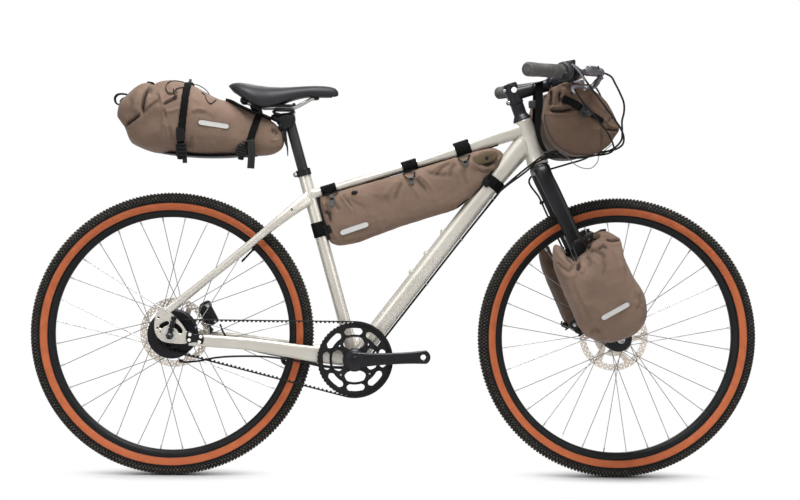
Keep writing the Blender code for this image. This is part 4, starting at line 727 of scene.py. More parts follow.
def buildWheel(word, centre, hubProfile, flangeRadius, flangeSide, rotorSide, bore):
    body = word + "_wheel"
    radius, side, lowCount = tyreSection()
    rows = len(radius)
    # the bead and the crown between the knobs take the painted shade, the rows above the bead the side wall
    paints = np.full(rows, 2)
    paints[1:lowCount - 1] = 1
    paints[rows - lowCount:rows - 2] = 1
    tyre = Shape().grid(roundWheel(radius, side, centre, wheels["around"]), loop=True, paint=paints)
    addKnobs(tyre, centre)
    tyre.build(word + "TyreTread", [treadKnobsLit, wall, treadShadeBetweenKnobs], body, "tyre_rubber", word + "_tyre", sharp=40)

    half = [(.2998, .0), (.2998, .004), (.3006, .0066), (.304, .0104), (.3075, .0125), (.311, .0135), (.3134, .014),
        (.3156, .014), (.3165, .0134), (.3161, .0122), (.313, .0112), (.311, .0095), (.3095, .0)]
    section = np.array(half + [(r, -y) for r, y in half[-2:0:-1]])
    rim = Shape().grid(roundWheel(section[:, 0], section[:, 1], centre, 192), loop=True,
        paint=(section[:, 0] > .3115).astype(int))
    k = np.radians(112.0 if word == "front" else 47.0)
    out = np.array([np.cos(k), 0, np.sin(k)])
    bars(rim, centre + out * .3, centre + out * .2965, .0042, 12, 1)
    bars(rim, centre + out * .3, centre + out * .264, .0026, 12, 1)
    bars(rim, centre + out * .266, centre + out * .256, .0034, 12, 1, .7)
    rim.build(word + "RimHoop", [rimBlack, softBlack], body, "rim_black", word + "_rim", merge=True)

    low, high, sides = lacing(flangeRadius, flangeSide, centre)
    spokes = Shape()
    bars(spokes, low, high, wheels["spokeRadius"])
    run = unit(high - low)
    bars(spokes, high - run * .0115, high, .0021, 6, 1, .9)
    inward = np.stack([0 * sides, -np.sign(sides) * .0042, 0 * sides], 1)
    bars(spokes, low - run * .0004, low + inward, .0011, 8)
    bars(spokes, low - inward * .35, low - inward * .1, .0021, 8, 0)
    spokes.build(word + "Spokes", [spokeSteel, boltSteel], body, "hub_black", word + "_hub")

    hub = Shape().turn(hubProfile, centre, (0, 1, 0), 72, loop=True)
    for flange in (1, -1):  # a ring of dark holes' rims on each flange
        around = (np.arange(16) + .5) * 2 * math.pi / 16
        spot = roundAxle(around)
        bars(hub, centre + spot * (flangeRadius - .0042) + (0, flange * (flangeSide + .0022), 0),
            centre + spot * (flangeRadius - .0042) + (0, flange * (flangeSide + .003), 0), .0014, 8, 1)
    hub.build(word + "HubShell", [hubBlack, boltSteel], body, "hub_black", merge=True)

    middle = (0.0, 0.0)
    outlines = [arcPoints(middle, wheels["rotorRadius"], 0, 357.5, 144), arcPoints(middle, bore + .0045, 0, 350, 36)]
    for arm in range(6):
        start = arm * 60
        outlines.append(np.concatenate([arcPoints(middle, .0735, start + 6, start + 54, 12), arcPoints(middle, .052,
            start + 46, start + 6, 8), arcPoints(middle, .03, start + 14, start - 10, 6)]))
    for radiusAt, shift in ((.0765, 0.0), (.0815, .5), (.0865, 0.0)):
        for k in range(36):
            a = math.radians((k + shift) * 10)
            outlines.append(arcPoints((radiusAt * math.cos(a), radiusAt * math.sin(a)), .0021, 0, 315, 8))
    disc = plateShape(outlines, centre + (0, rotorSide, 0), (0, -1, 0), .0018, edge=.0002)
    for k in range(6):  # six screws hold the disc to the hub
        a = math.radians(k * 60 + 20)
        spot = centre + (.022 * math.cos(a), rotorSide + .0009, .022 * math.sin(a))
        screw(disc, spot, (0, 1, 0), .0042, .0026, 1)
    disc.build(word + "BrakeDisc", [rotorGold, softBlack], body, "rotor_steel", word + "_rotor")


rearShell = [(.0063, -.041), (.02, -.041), (.0215, -.0398), (.033, -.0392), (.0345, -.038), (.05, -.0372),
    (.0545, -.036), (.0612, -.0345), (.062, -.0335), (.062, -.029), (.061, -.0284), (.0578, -.0262), (.057, -.02),
    (.0578, -.019), (.0578, .019), (.057, .02), (.0578, .0262), (.061, .0284), (.062, .029), (.062, .0335),
    (.061, .0345), (.048, .0362), (.04, .038), (.0225, .039), (.0215, .04), (.0215, .0508), (.0063, .0508)]
frontShell = [(.0078, -.046), (.0125, -.046), (.014, -.045), (.015, -.0385), (.019, -.035), (.033, -.033),
    (.0345, -.032), (.0345, -.0265), (.0335, -.0258), (.0302, -.024), (.03, .022), (.0335, .024), (.0345, .0246),
    (.0345, .03), (.033, .0312), (.024, .0325), (.0215, .034), (.0215, .0438), (.0078, .0438)]
buildWheel("rear", rearAxle, rearShell, .059, .031, .052, .006)
buildWheel("front", frontAxle, frontShell, .0318, .0285, .045, .0075)
print("wheels built")


# Frame
tube = {"bracket": (-.107, 0.0, .304), "seatUp": (-.27396, 0, .96174), "seatRadius": .0159, "seatLength": .50533,
    "headBase": (.364, 0, .811), "headUp": (-.34857, 0, .93728), "downStart": (-.1044, 0, .304), "downAlong": (.60658,
    0, .79504), "downLength": .72813, "bead": .0017}
bracket, seatUp, headUp = np.array(tube["bracket"]), np.array(tube["seatUp"]), np.array(tube["headUp"])
headBase, downAlong = np.array(tube["headBase"]), np.array(tube["downAlong"])
downNormal = np.array([-downAlong[2], 0, downAlong[0]])


# A place up the seat tube's axis, moved sideways, and back square to the tube
def onSeat(distance, y=0.0, back=0.0):
    return bracket + seatUp * distance + np.array([-seatUp[2] * back, y, seatUp[0] * back])


# The same up the head tube's axis, and ahead of it
def onHead(distance, y=0.0, ahead=0.0):
    return headBase + headUp * distance + np.array([headUp[2] * ahead, y, -headUp[0] * ahead])


# The same along the down tube's axis, and out from it upwards
def onDown(distance, y=0.0, out=0.0):
    return np.array(tube["downStart"]) + downAlong * distance + downNormal * out + np.array([0, y, 0])


def tubeSkin(stations, count, power, across=(0, 1, 0), sides=44, closeIn=0.0):
    # stations: place (3), half height, half width; the section is eased from station to station
    stations = np.asarray(stations, float)
    reach = np.append(0, np.cumsum(np.linalg.norm(np.diff(stations[:, :3], axis=0), axis=1)))
    at = np.linspace(closeIn, reach[-1] - closeIn, count)
    line = eased(at, reach, stations[:, :3])
    sizes = eased(at, reach, stations[:, 3:])
    section = np.stack([ring(wide, tall, sides, power) for tall, wide in sizes])
    return carried(line, section, across)


downStations = [(*onDown(d, 0, low), tall, wide) for d, low, tall, wide in ((0, 0, .0235, .0215),
    (.2, 0, .0235, .0215), (.45, 0, .0235, .0215), (.6, -.0008, .0245, .0215), (.67, -.003, .0265, .0215),
    (tube["downLength"], -.006, .0295, .0215))]
topStart, topEnd = onSeat(.436), onHead(.099)
topStations = [(*(topStart + (topEnd - topStart) * share - (0, 0, sag)), tall, wide)
    for share, sag, tall, wide in ((0, 0, .016, .015), (.045, .0004, .0118, .0158), (.2272, .0016, .0104, .017),
    (.5076, .0032, .011, .018), (.7304, .0024, .0175, .0185), (.8562, 0, .0205, .0195), (1, 0, .0208, .02))]
chainStations = [(-.112, .026, .305, .0215, .0085), (-.2, .0315, .3145, .0205, .0085), (-.27, .043, .325, .0185,
    .0085), (-.38, .059, .342, .0155, .0085), (-.48, .0715, .35, .015, .008), (-.527, .0725, .3525, .0145, .0065)]
seatStations = [(-.228, .01, .717, .0175, .0075), (-.262, .026, .691, .014, .0075), (-.31, .041, .653, .0108, .0075),
    (-.4, .049, .5765, .0095, .0075), (-.517, .064, .48, .0085, .007), (-.56, .0715, .4445, .0095, .006),
    (-.584, .0725, .4245, .01, .005)]


def beadRound(shape, skin, axisBase, axis, radius, paint=0):
    # a weld where a skin runs into a round tube: along each line of the skin, the first point inside the tube
    skin = skin if np.linalg.norm(np.cross(skin[0].mean(0) - axisBase, axis)) > .045 else skin[::-1]
    offset = skin - axisBase
    flat = offset - np.einsum("rck,k->rc", offset, axis)[..., None] * axis
    reach = np.linalg.norm(flat, axis=2) - radius
    row = np.argmax(reach < 0, axis=0)
    row = np.where((reach < 0).any(0), row, len(skin) - 1)
    k = np.arange(skin.shape[1])
    before, after = reach[row - 1, k], reach[row, k]
    share = np.clip(before / np.maximum(before - after, 1e-9), 0, 1)[:, None]
    path = skin[row - 1, k] * (1 - share) + skin[row, k] * share
    path = lineThrough(path, 90, closed=True)
    ripple = tube["bead"] * (1 + .14 * np.sin(np.arange(90) * 2 * math.pi / 3))
    return shape.carry(path, ring(1, 1, 8), path - path.mean(0), ripple, closed=True, paint=paint)


downSkin = tubeSkin(downStations, 60, 2.2)
topSkin = tubeSkin(topStations, 48, 2.2)
seatTube = turned([(tube["seatRadius"], 0), (tube["seatRadius"], tube["seatLength"] - .002),
    (tube["seatRadius"] - .0008, tube["seatLength"]), (.0139, tube["seatLength"]), (.0139, tube["seatLength"] - .12)],
    bracket, seatUp, 48)
headTube = turned([(.018, 0), (.0268, 0), (.0275, .001), (.0275, .01), (.0262, .0125), (.0252, .03), (.0246, .07),
    (.024, .11), (.0246, .112), (.0246, .12), (.0238, .121), (.0165, .121)], headBase, headUp, 60)


def buildFrame():
    down = Shape().grid(downSkin)
    for distance in (.264, .326, .396):  # bottle bosses with their screws
        down.turn([(.0078, -.001), (.0078, .0006), (.006, .0012), (.0055, .0028), (.005, .003), (0, .003)],
            onDown(distance, 0, .0235), downNormal, 24)
        screw(down, onDown(distance, 0, .0264), downNormal, .0046, .0022, 1)
    for distance in (.265, .41, .544):  # clips that hold the hoses below the tube
        base = onDown(distance, -.0025, -.0236)
        down.cord(lineThrough([base + (0, -.0115, 0), base + (0, -.0105, 0) - downNormal * .004,
            base - downNormal * .0066, base + (0, .0105, 0) - downNormal * .004, base + (0, .0115, 0)], 16), .0013, 8,
            paint=1)
        screw(down, base - downNormal * .0064, -downNormal, .0034, .0018, 1)
    beadRound(down, downSkin, headBase, headUp, .0265)
    beadRound(down, downSkin[::-1], bracket, np.array([0, 1.0, 0]), .0246)
    down.build("downTubeSkin", [paint, boltSteel], "frame", "frame_paint", "down_tube")

    top = Shape().grid(topSkin)
    beadRound(top, topSkin, headBase, headUp, .0244)
    beadRound(top, topSkin[::-1], bracket, seatUp, .0162)
    top.build("topTubeSkin", [paint], "frame", "frame_paint", "top_tube", merge=True)

    seat = Shape().grid(seatTube, ends=False)
    seat.build("seatTubeSkin", [paint], "frame", "frame_paint", "seat_tube", merge=True)
    head = Shape().grid(headTube, ends=False, loop=True)
    head.build("headTubeSkin", [paint], "frame", "frame_paint", "head_tube", merge=True)

    shell = Shape().turn([(.0185, -.0365), (.0232, -.0365), (.024, -.0357), (.024, .0357), (.0232, .0365),
        (.0185, .0365)], bracket, (0, 1, 0), 60, loop=True)
    for side in (1, -1):  # threaded cups with notches round them
        around = np.arange(16) * 2 * math.pi / 16
        spot = roundAxle(around)
        shell.turn([(.015, 0), (.0208, 0), (.0214, .0006), (.0214, .0042), (.0206, .005), (.015, .005)],
            bracket + (0, side * .0355, 0), (0, side, 0), 48, loop=True, paint=1)
        bars(shell, bracket + spot * .0222 + (0, side * .0362, 0), bracket + spot * .0222 + (0, side * .04, 0), .0012,
            6, 1)
    shell.build("bracketShell", [paint, softBlack], "frame", "frame_paint", "bottom_bracket_shell")

    for word, side in (("right", -1), ("left", 1)):
        flip = np.array([1, side, 1, 1, 1])
        chainSkin = tubeSkin(np.array(chainStations) * flip, 44, 2.6)
        stay = Shape().grid(chainSkin)
        beadRound(stay, chainSkin[::-1], bracket, np.array([0, 1.0, 0]), .0244)
        stay.build(word + "ChainstaySkin", [paint], "frame", "frame_paint", "chainstay_" + word, merge=True)
        seatSkin = tubeSkin(np.array(seatStations) * flip, 52, 2.4)
        stay = Shape().grid(seatSkin)
        beadRound(stay, seatSkin[::-1], bracket, seatUp, .016)
        spot = np.array([-.2722, side * .0375, .6861])
        screw(stay, spot + (0, -side * .0012, 0), (0, side, 0), .0034, .0016, 1)
        stay.build(word + "SeatstaySkin", [paint, softBlack], "frame", "frame_paint", "seatstay_" + word, merge=True)

    collar = Shape().turn([(.014, -.017), (.0182, -.017), (.0188, -.0164), (.0188, -.0004), (.0182, .0003),
        (.014, .0003)], onSeat(tube["seatLength"]), seatUp, 48, loop=True)
    ear = onSeat(tube["seatLength"] - .0085, 0, .0215)
    for side in (1, -1):
        bars(collar, ear + (0, side * .0012, 0), ear + (0, side * .0085, 0), .0062, 20)
        screw(collar, ear + (0, side * .0083, 0), (0, side, 0), .004, .002, 1)
    collar.build("seatCollar", [satin, boltSteel], "frame", "black_paint", "seat_collar")
    print("frame tubes built")


dropout = {"plate": [(-.596, .433), (-.607, .424), (-.614, .4), (-.614, .377), (-.607, .36), (-.594, .349),
    (-.58, .345), (-.533, .344), (-.524, .353), (-.524, .366), (-.533, .374), (-.544, .39), (-.56, .408),
    (-.576, .423), (-.585, .433)], "side": .0725, "thick": .008}


# A curved slot of two concentric arcs, closed by half a circle at both ends
def kidney(radius, start, end, half, centre=(-.575, .363)):
    outer = arcPoints(centre, radius + half, start, end, 10)
    inner = arcPoints(centre, radius - half, end, start, 10)
    cap = [arcPoints(centre, radius, angle, angle, 1)[0] for angle in (end, start)]
    spin = math.radians(end)
    first = cap[0] + np.array([(math.cos(spin + t), math.sin(spin + t)) for t in (.6, 1.2, 1.8, 2.4)]) * half
    spin = math.radians(start)
    second = cap[1] + np.array([(math.cos(spin + t), math.sin(spin + t)) for t in (3.8, 4.4, 5.0, 5.6)]) * half
    return np.concatenate([outer, first, inner, second])


def hole(x, z, radius, count=16):  # a circle of that many points
    return arcPoints((x, z), radius, 0, 360 - 360 / count, count)


def buildDropouts():
    outline = lineThrough(dropout["plate"], 70, closed=True)
    for word, side in (("right", -1), ("left", 1)):
        cuts = [outline]
        if side < 0:
            cuts += [kidney(.032, 104, 134, .0056), kidney(.0285, 24, 76, .0062)]
        cuts += [hole(-.604, .4086, .0026), hole(-.6063, .382, .0026), hole(-.5986, .3719, .002), hole(-.575, .363,
            .007)]
        plate = plateShape(cuts, (0, side * dropout["side"], 0), (0, -1, 0), dropout["thick"], edge=.001)
        if side < 0:  # the black plate that closes the frame's gap for the belt, with its four bolts
            black = plateShape([lineThrough([(-.53, .3745), (-.511, .3665), (-.493, .368), (-.489, .36),
                (-.4925, .3425), (-.511, .347), (-.529, .345), (-.5335, .352)], 48, closed=True)], (0, side * .079,
                0), (0, -1, 0), .0044, edge=.0008)
            plate.add(black, 2)
            for x, z in ((-.5242, .3663), (-.5259, .3524), (-.4965, .3615), (-.5001, .3476)):
                screw(plate, (x, side * .081, z), (0, side, 0), .0044, .0026, 1)
        plate.build(word + "DropoutPlate", [paint, boltPale, softBlack], "frame", "frame_paint", "dropout_" + word)

    axle = Shape().turn([(0, -.0885), (.0042, -.0885), (.006, -.0878), (.006, .0878), (.0042, .0885), (0, .0885)],
        rearAxle, (0, 1, 0), 32)
    # the gear box's cable guide, which lies over the right dropout down to the axle
    guide = lineThrough([(-.564, -.079, .412), (-.5685, -.08, .392), (-.5735, -.0815, .372), (-.5768, -.085, .356)],
        24)
    axle.cord(guide, np.linspace(.003, .0062, 24), 14, paint=1)
    axle.block(rearAxle + (-.0002, -.0885, .001), (.0085, .003, .0062), tilted(-14), 4, paint=2)
    for row, finish in ((2, 1), (6, 2), (10, 1), (14, 2), (18, 1)):
        axle.block(guide[row], (.0072, .0046, .0028), tilted(-14), 4, paint=finish)
    for side in (1, -1):
        axle.turn([(.006, 0), (.0125, 0), (.013, .0006), (.013, .0016), (.01, .002)], rearAxle + (0, side * .0766, 0),
            (0, side, 0), 36)
        nut = [(.003, 0), (-.01, 0), (-.0104, .0008), (-.0104, .0056), (-.0094, .0066), (.0062, .0068), (.006, .005)]
        axle.turn(nut, rearAxle + (0, side * .0786, 0), (0, side, 0), 36, sides=6, paint=2 if side < 0 else 0)
    axle.build("rearAxleNuts", [boltSteel, hubBlack, darkPlastic], "frame", "polished_metal", "rear_axle", sharp=25)
    print("dropouts built")


buildFrame()
buildDropouts()


# Drive
drive = {"line": -.047, "pitch": .011, "front": .09629, "rear": .03852, "teeth": (55, 22), "armLength": .175,
    "armTilt": 3.0, "beltWidth": .0118}
axleFlat, bracketFlat = rearAxle[[0, 2]], bracket[[0, 2]]


def toothedOutline(centre, pitchRadius, teeth, depth=.004):
    # each tooth: a rounded tip at the pitch circle and a round valley below it, six points a tooth
    steps = np.arange(teeth * 8)
    wave = .5 + .5 * np.cos(steps * 2 * math.pi / 8)
    radius = pitchRadius - .0007 - depth * (1 - wave ** .7)
    angle = steps * 2 * math.pi / (teeth * 8)
    return np.stack([centre[0] + radius * np.cos(angle), centre[1] + radius * np.sin(angle)], 1)


def slot(centre, inner, outer, start, end):  # a curved slot with round corners
    middle, half = (inner + outer) / 2, (outer - inner) / 2
    trim = math.degrees(half * .75 / middle)
    points = np.concatenate([arcPoints(centre, outer, start + trim, end - trim, 8), arcPoints(centre,
        middle + half * .3, end, end, 1), arcPoints(centre, middle - half * .3, end, end, 1), arcPoints(centre, inner,
        end - trim, start + trim, 8), arcPoints(centre, middle - half * .3, start, start, 1), arcPoints(centre,
        middle + half * .3, start, start, 1)])
    return lineThrough(points, 40, closed=True)


def beltPath(rise, count=1400):
    # round both pulleys and along the two straight runs between them, with equal steps; its normal points outwards
    gap = bracketFlat - axleFlat
    distance = np.linalg.norm(gap)
    tilt = math.atan2(gap[1], gap[0])
    lean = math.acos((drive["rear"] - drive["front"]) / distance)
    rearRadius, frontRadius = drive["rear"] + rise, drive["front"] + rise
    frontArc = np.linspace(tilt + lean, tilt - lean, 400)
    rearArc = np.linspace(tilt - lean, tilt + lean - 2 * math.pi, 300)
    front = bracketFlat + frontRadius * np.stack([np.cos(frontArc), np.sin(frontArc)], 1)
    rear = axleFlat + rearRadius * np.stack([np.cos(rearArc), np.sin(rearArc)], 1)
    whole = np.concatenate([front, rear])
    along = np.append(0, np.cumsum(np.linalg.norm(np.diff(np.append(whole, whole[:1], 0), axis=0), axis=1)))
    at = np.linspace(0, along[-1], count, endpoint=False)
    closedLine = np.append(whole, whole[:1], 0)
    return np.stack([np.interp(at, along, closedLine[:, k]) for k in (0, 1)], 1), along[-1]


def buildDrive():
    flat, length = beltPath(.0009)
    line = inPlane(flat, drive["line"])
    half = drive["beltWidth"] / 2
    section = [(-half, -.0013), (-half, .0008), (-half * .94, .0013), (half * .94, .0013), (half, .0008),
        (half, -.0013)]
    belt = Shape().carry(line, section, (0, 1, 0), closed=True)
    count = round(length / drive["pitch"])
    toothLine, _ = beltPath(-.0004, count)
    ahead = unit(np.roll(toothLine, -1, 0) - np.roll(toothLine, 1, 0))
    ahead = np.stack([ahead[:, 0], 0 * ahead[:, 0], ahead[:, 1]], 1)
    inward = np.cross(ahead, (0, 1, 0))
    spot = inPlane(toothLine, drive["line"])
    centre = inPlane(np.tile((axleFlat + bracketFlat) / 2, (count, 1)), drive["line"])
    inward = inward * np.sign(np.einsum("nk,nk->n", inward, centre - spot))[:, None]
    form = np.array([(x, y, z) for z, w in ((0, 1), (.62, .86), (1, .45)) for x, y in ((-.5 * w, -.5), (.5 * w, -.5),
        (.5 * w, .5), (-.5 * w, .5))])
    faces = [(a + r, (a + 1) % 4 + r, (a + 1) % 4 + 4 + r, a + 4 + r) for r in (0, 4) for a in range(4)]
    faces += [(8, 9, 10, 11), (3, 2, 1, 0)]
    turns = np.stack([ahead * .0058, np.broadcast_to((0, drive["beltWidth"], 0), ahead.shape), inward * .003], 2)
    belt.copies(form, faces, turns, spot + inward * .0003)
    # where the belt lies on the pulleys its inner side fills the valleys between their teeth
    for middle, radius, start, end in ((bracketFlat, drive["front"], -97, 93), (axleFlat, drive["rear"], 98, 263)):
        arc = inPlane(arcPoints(tuple(middle), radius - .0024, start, end, 160), drive["line"])
        belt.carry(arc, [(-half * .96, -.0022), (-half * .96, .0022), (half * .96, .0022), (half * .96, -.0022)],
            (0, 1, 0))
    belt.build("toothedBelt", [beltRubber], "frame", "belt_black", "drive_belt", merge=True)

    centre = tuple(bracketFlat)
    cuts = [toothedOutline(centre, drive["front"], drive["teeth"][0], .002), arcPoints(centre, .058, 0, 355, 72)]
    for k in range(8):
        cuts.append(slot(centre, .0642, .0809, 45 * k + 3 - 18, 45 * k + 3 + 18))
    ringPlate = plateShape(cuts, (0, drive["line"], 0), (0, -1, 0), .005, edge=.0007)
    around = np.arange(55) * 2 * math.pi / 55
    guide = roundAxle(around)
    bars(ringPlate, bracket + guide * (drive["front"] - .0065) + (0, drive["line"] - .003, 0),
        bracket + guide * (drive["front"] - .0065) + (0, drive["line"] - .0042, 0), .0016, 6)
    ringPlate.build("frontBeltRing", [softBlack], "crank", "black_paint", "front_sprocket")

    centre = tuple(axleFlat)
    cuts = [toothedOutline(centre, drive["rear"], drive["teeth"][1]), arcPoints(centre, .008, 0, 345, 24)]
    cuts += [slot(centre, .0215, .0295, 60 * k, 60 * k + 38) for k in range(6)]
    cog = plateShape(cuts, (0, drive["line"], 0), (0, -1, 0), .005, edge=.0006)
    cog.turn([(.0066, -.009), (.016, -.009), (.017, -.0084), (.017, -.0034), (.0185, -.0024), (.0185, 0), (.0066, 0)],
        rearAxle + (0, drive["line"], 0), (0, 1, 0), 48, loop=True)
    cog.build("rearBeltCog", [hubBlack], "rear_sprocket", "hub_black", "rear_sprocket")


def armOutline(direction):  # waisted between the boss and the pedal eye, and round about both
    across = np.array([-direction[2], 0, direction[0]])
    length = drive["armLength"]
    share = np.linspace(.012, .16, 24)
    half = eased(share, [0, .012, .035, .06, .1, .14, .16, .175], [.0214, .0195, .0168, .0153, .0144, .0148, .0158,
        .0183])
    nearArc, farArc = np.radians(np.linspace(68, 292, 24)), np.radians(np.linspace(-68, 68, 20))
    top = np.stack([share, half], 1)
    far = np.stack([length + .0183 * np.cos(farArc[::-1]), .0183 * np.sin(farArc[::-1])], 1)
    near = np.stack([.0212 * np.cos(nearArc), .0212 * np.sin(nearArc)], 1)
    flat = np.concatenate([top, far, top[::-1] * (1, -1), near[::-1]])
    return (bracket + flat[:, :1] * direction + flat[:, 1:] * across)[:, [0, 2]]


def buildCranks():
    tilt = math.radians(drive["armTilt"])
    for word, side, angle in (("right", -1, 0.0), ("left", 1, math.pi)):
        direction = np.array([math.cos(angle + tilt), 0, math.sin(angle + tilt)])
        eye = bracket + direction * drive["armLength"]
        arm = plateShape([armOutline(direction), arcPoints(eye[[0, 2]], .0071, 0, 345, 24)], (0, side * .069, 0),
            (0, -1, 0), .0145, edge=.0024)
        boss = bracket + (0, side * .0705, 0)
        arm.turn([(.0204, .003), (.0196, .0066), (.018, .0078), (.0135, .0082), (.0, .0083)], boss, (0, side, 0), 48)
        arm.turn([(0, .0076), (.01, .008), (.0104, .0084), (.0098, .0089), (.0044, .009), (.004, .008), (0, .008)],
            boss, (0, side, 0), 36, paint=1 if side > 0 else 0)
        arm.turn([(.0117, 0), (.0117, .03)], bracket + (0, side * .038, 0), (0, side, 0), 30, paint=1)
        if side < 0:
            # the spider: a disc with four round-cornered windows, bolted to the toothed ring
            cuts = [arcPoints(tuple(bracketFlat), .0602, 0, 355, 72)]
            cuts += [slot(tuple(bracketFlat), .03, .0578, 90 * k + 3 - 34, 90 * k + 3 + 34) for k in range(4)]
            arm.add(plateShape(cuts, (0, -.0535, 0), (0, -1, 0), .0046, edge=.001))
            for k in range(4):
                turn = math.radians(90 * k + 48)
                spot = bracket + np.array([math.cos(turn), 0, math.sin(turn)]) * .052 - (0, .0556, 0)
                arm.turn([(.005, 0), (.005, .0012), (.0044, .0016), (0, .0016)], spot, (0, -1, 0), 24, paint=2)
                screw(arm, spot - (0, .0014, 0), (0, -1, 0), .0022, .0012, 1)
            arm.turn([(.012, 0), (.03, .001), (.0304, .006), (.0296, .008), (.025, .013), (.018, .0165),
                (.012, .0165)], bracket - (0, .05, 0), (0, -1, 0), 48, loop=True)
        arm.build(word + "CrankArm", [satin, boltSteel, softBlack], "crank", "black_paint", "crank_" + word, sharp=32)
    print("drive built")


buildDrive()
buildCranks()


# Fork and cockpit
bar = {"middle": (.402, 0.0, 1.021), "radius": .0111, "clampRadius": .0159, "gripEnd": (.2936, .345, 1.0235),
    "inward": (.642138, -.76527, .044955), "gripRadius": .0165, "drop": 42.0}
barMiddle, stemMiddle = np.array(bar["middle"]), np.array([.29699, 0, .99119])
stemOut = unit(barMiddle - stemMiddle)
stemUp = np.array([-stemOut[2], 0, stemOut[0]])


def onGrip(distance, side, ahead=0.0, above=0.0):  # beside the grip's axis, measured inwards from the bar's end
    place = np.array(bar["gripEnd"]) + np.array(bar["inward"]) * distance
    return (place + np.array([.76604, .64279, 0]) * ahead + np.array([0, 0, above])) * (1, side, 1)


def inLeverPlane(along, reach, side, lift=0.0):  # the levers' plane drops forward from the grip's axis
    drop = math.radians(bar["drop"])
    return onGrip(along, side, reach * math.cos(drop) + lift * math.sin(drop), -reach * math.sin(drop) + lift
        * math.cos(drop))


forkLeg = {"top": (-.02, .048), "foot": (.575, .06, .363), "screws": (.36, .5, .74)}
legTop, legFoot = onHead(*forkLeg["top"]), np.array(forkLeg["foot"])
legRun = unit(legFoot - legTop)


def onLeg(share):  # a share of the way down the left leg's axis
    return legTop + (legFoot - legTop) * share


def buildFork():
    legAhead, crownAhead = unit([-legRun[2], 0, legRun[0]]), np.array([headUp[2], 0, -headUp[0]])
    half = [(onLeg(share), tall, wide, legAhead) for share, tall, wide in ((.985, .0112, .005), (.94, .012, .0058),
        (.9, .0128, .0068), (.78, .0148, .0082), (.62, .0168, .0095), (.46, .0184, .0102), (.3, .0198, .0108),
        (.12, .0203, .0114))]
    half += [(onHead(-drop, y), tall, wide, crownAhead) for drop, y, tall, wide in ((.03, .047, .0205, .0125),
        (.017, .0405, .0215, .0135), (.014, .026, .0235, .0135), (.014, 0, .0255, .0135))]
    flip = np.array([1, -1, 1])
    stations = half + [(place * flip, tall, wide, ahead) for place, tall, wide, ahead in half[-2::-1]]
    table = np.array([[*place, tall, wide, *ahead] for place, tall, wide, ahead in stations])
    reach = np.append(0, np.cumsum(np.linalg.norm(np.diff(table[:, :3], axis=0), axis=1)))
    fine = eased(np.linspace(0, reach[-1], 190), reach, table)
    section = np.stack([ring(tall, wide, 40, 2.4) for tall, wide in fine[:, 3:5]])
    fork = Shape().carry(fine[:, :3], section, fine[:, 5:8])
    for side in (1, -1):
        fork.turn([(.0078, .055), (.0155, .055), (.0168, .0558), (.017, .0565), (.017, .065), (.0162, .066),
            (.0135, .066), (.013, .0652), (.011, .065), (.0078, .065)], frontAxle, (0, side, 0), 48, loop=True)
    fork.turn([(.0143, -.012), (.0143, .214), (.012, .2148), (.012, .206), (0, .206)], headBase, headUp, 36)
    fork.turn([(.015, -.006), (.0262, -.005), (.0268, -.004), (.027, -.0008), (.0262, -.0004), (.015, -.0004)],
        headBase, headUp, 60, loop=True, paint=1)
    for side in (1, -1):  # three bag-mount screws down the outside of each leg
        for share in forkLeg["screws"]:
            wide = float(np.interp(share, [.3, .62, .9], [.0108, .0095, .0068]))
            screw(fork, onLeg(share) * (1, side, 1) + (0, side * (wide - .0006), 0), (0, side, 0), .0044, .0022, 2)
    fork.build("forkLegs", [satin, softBlack, hubBlack], "steering", "black_paint", "fork")

    axle = Shape().turn([(0, -.0702), (.0042, -.0702), (.0048, -.069), (.0095, -.07), (.0105, -.069), (.0105, -.0664),
        (.0075, -.0662), (.0075, .0676), (.0066, .0682), (0, .0682)], frontAxle, (0, 1, 0), 36)
    axle.build("frontThroughAxle", [boltSteel], "steering", "polished_metal", "front_axle")

    stack = Shape().turn([(.015, .1216), (.0246, .1216), (.0248, .1228), (.0238, .125), (.0205, .131), (.0184, .1352),
        (.0174, .1362), (.017, .1372), (.017, .1455), (.0166, .1458), (.017, .1461), (.017, .1555), (.0166, .1558),
        (.017, .1561), (.017, .1655), (.015, .1657)], headBase, headUp, 60, loop=True)
    stack.build("headsetStack", [satin], "steering", "black_paint", "headset_stack", merge=True)
    print("fork built")


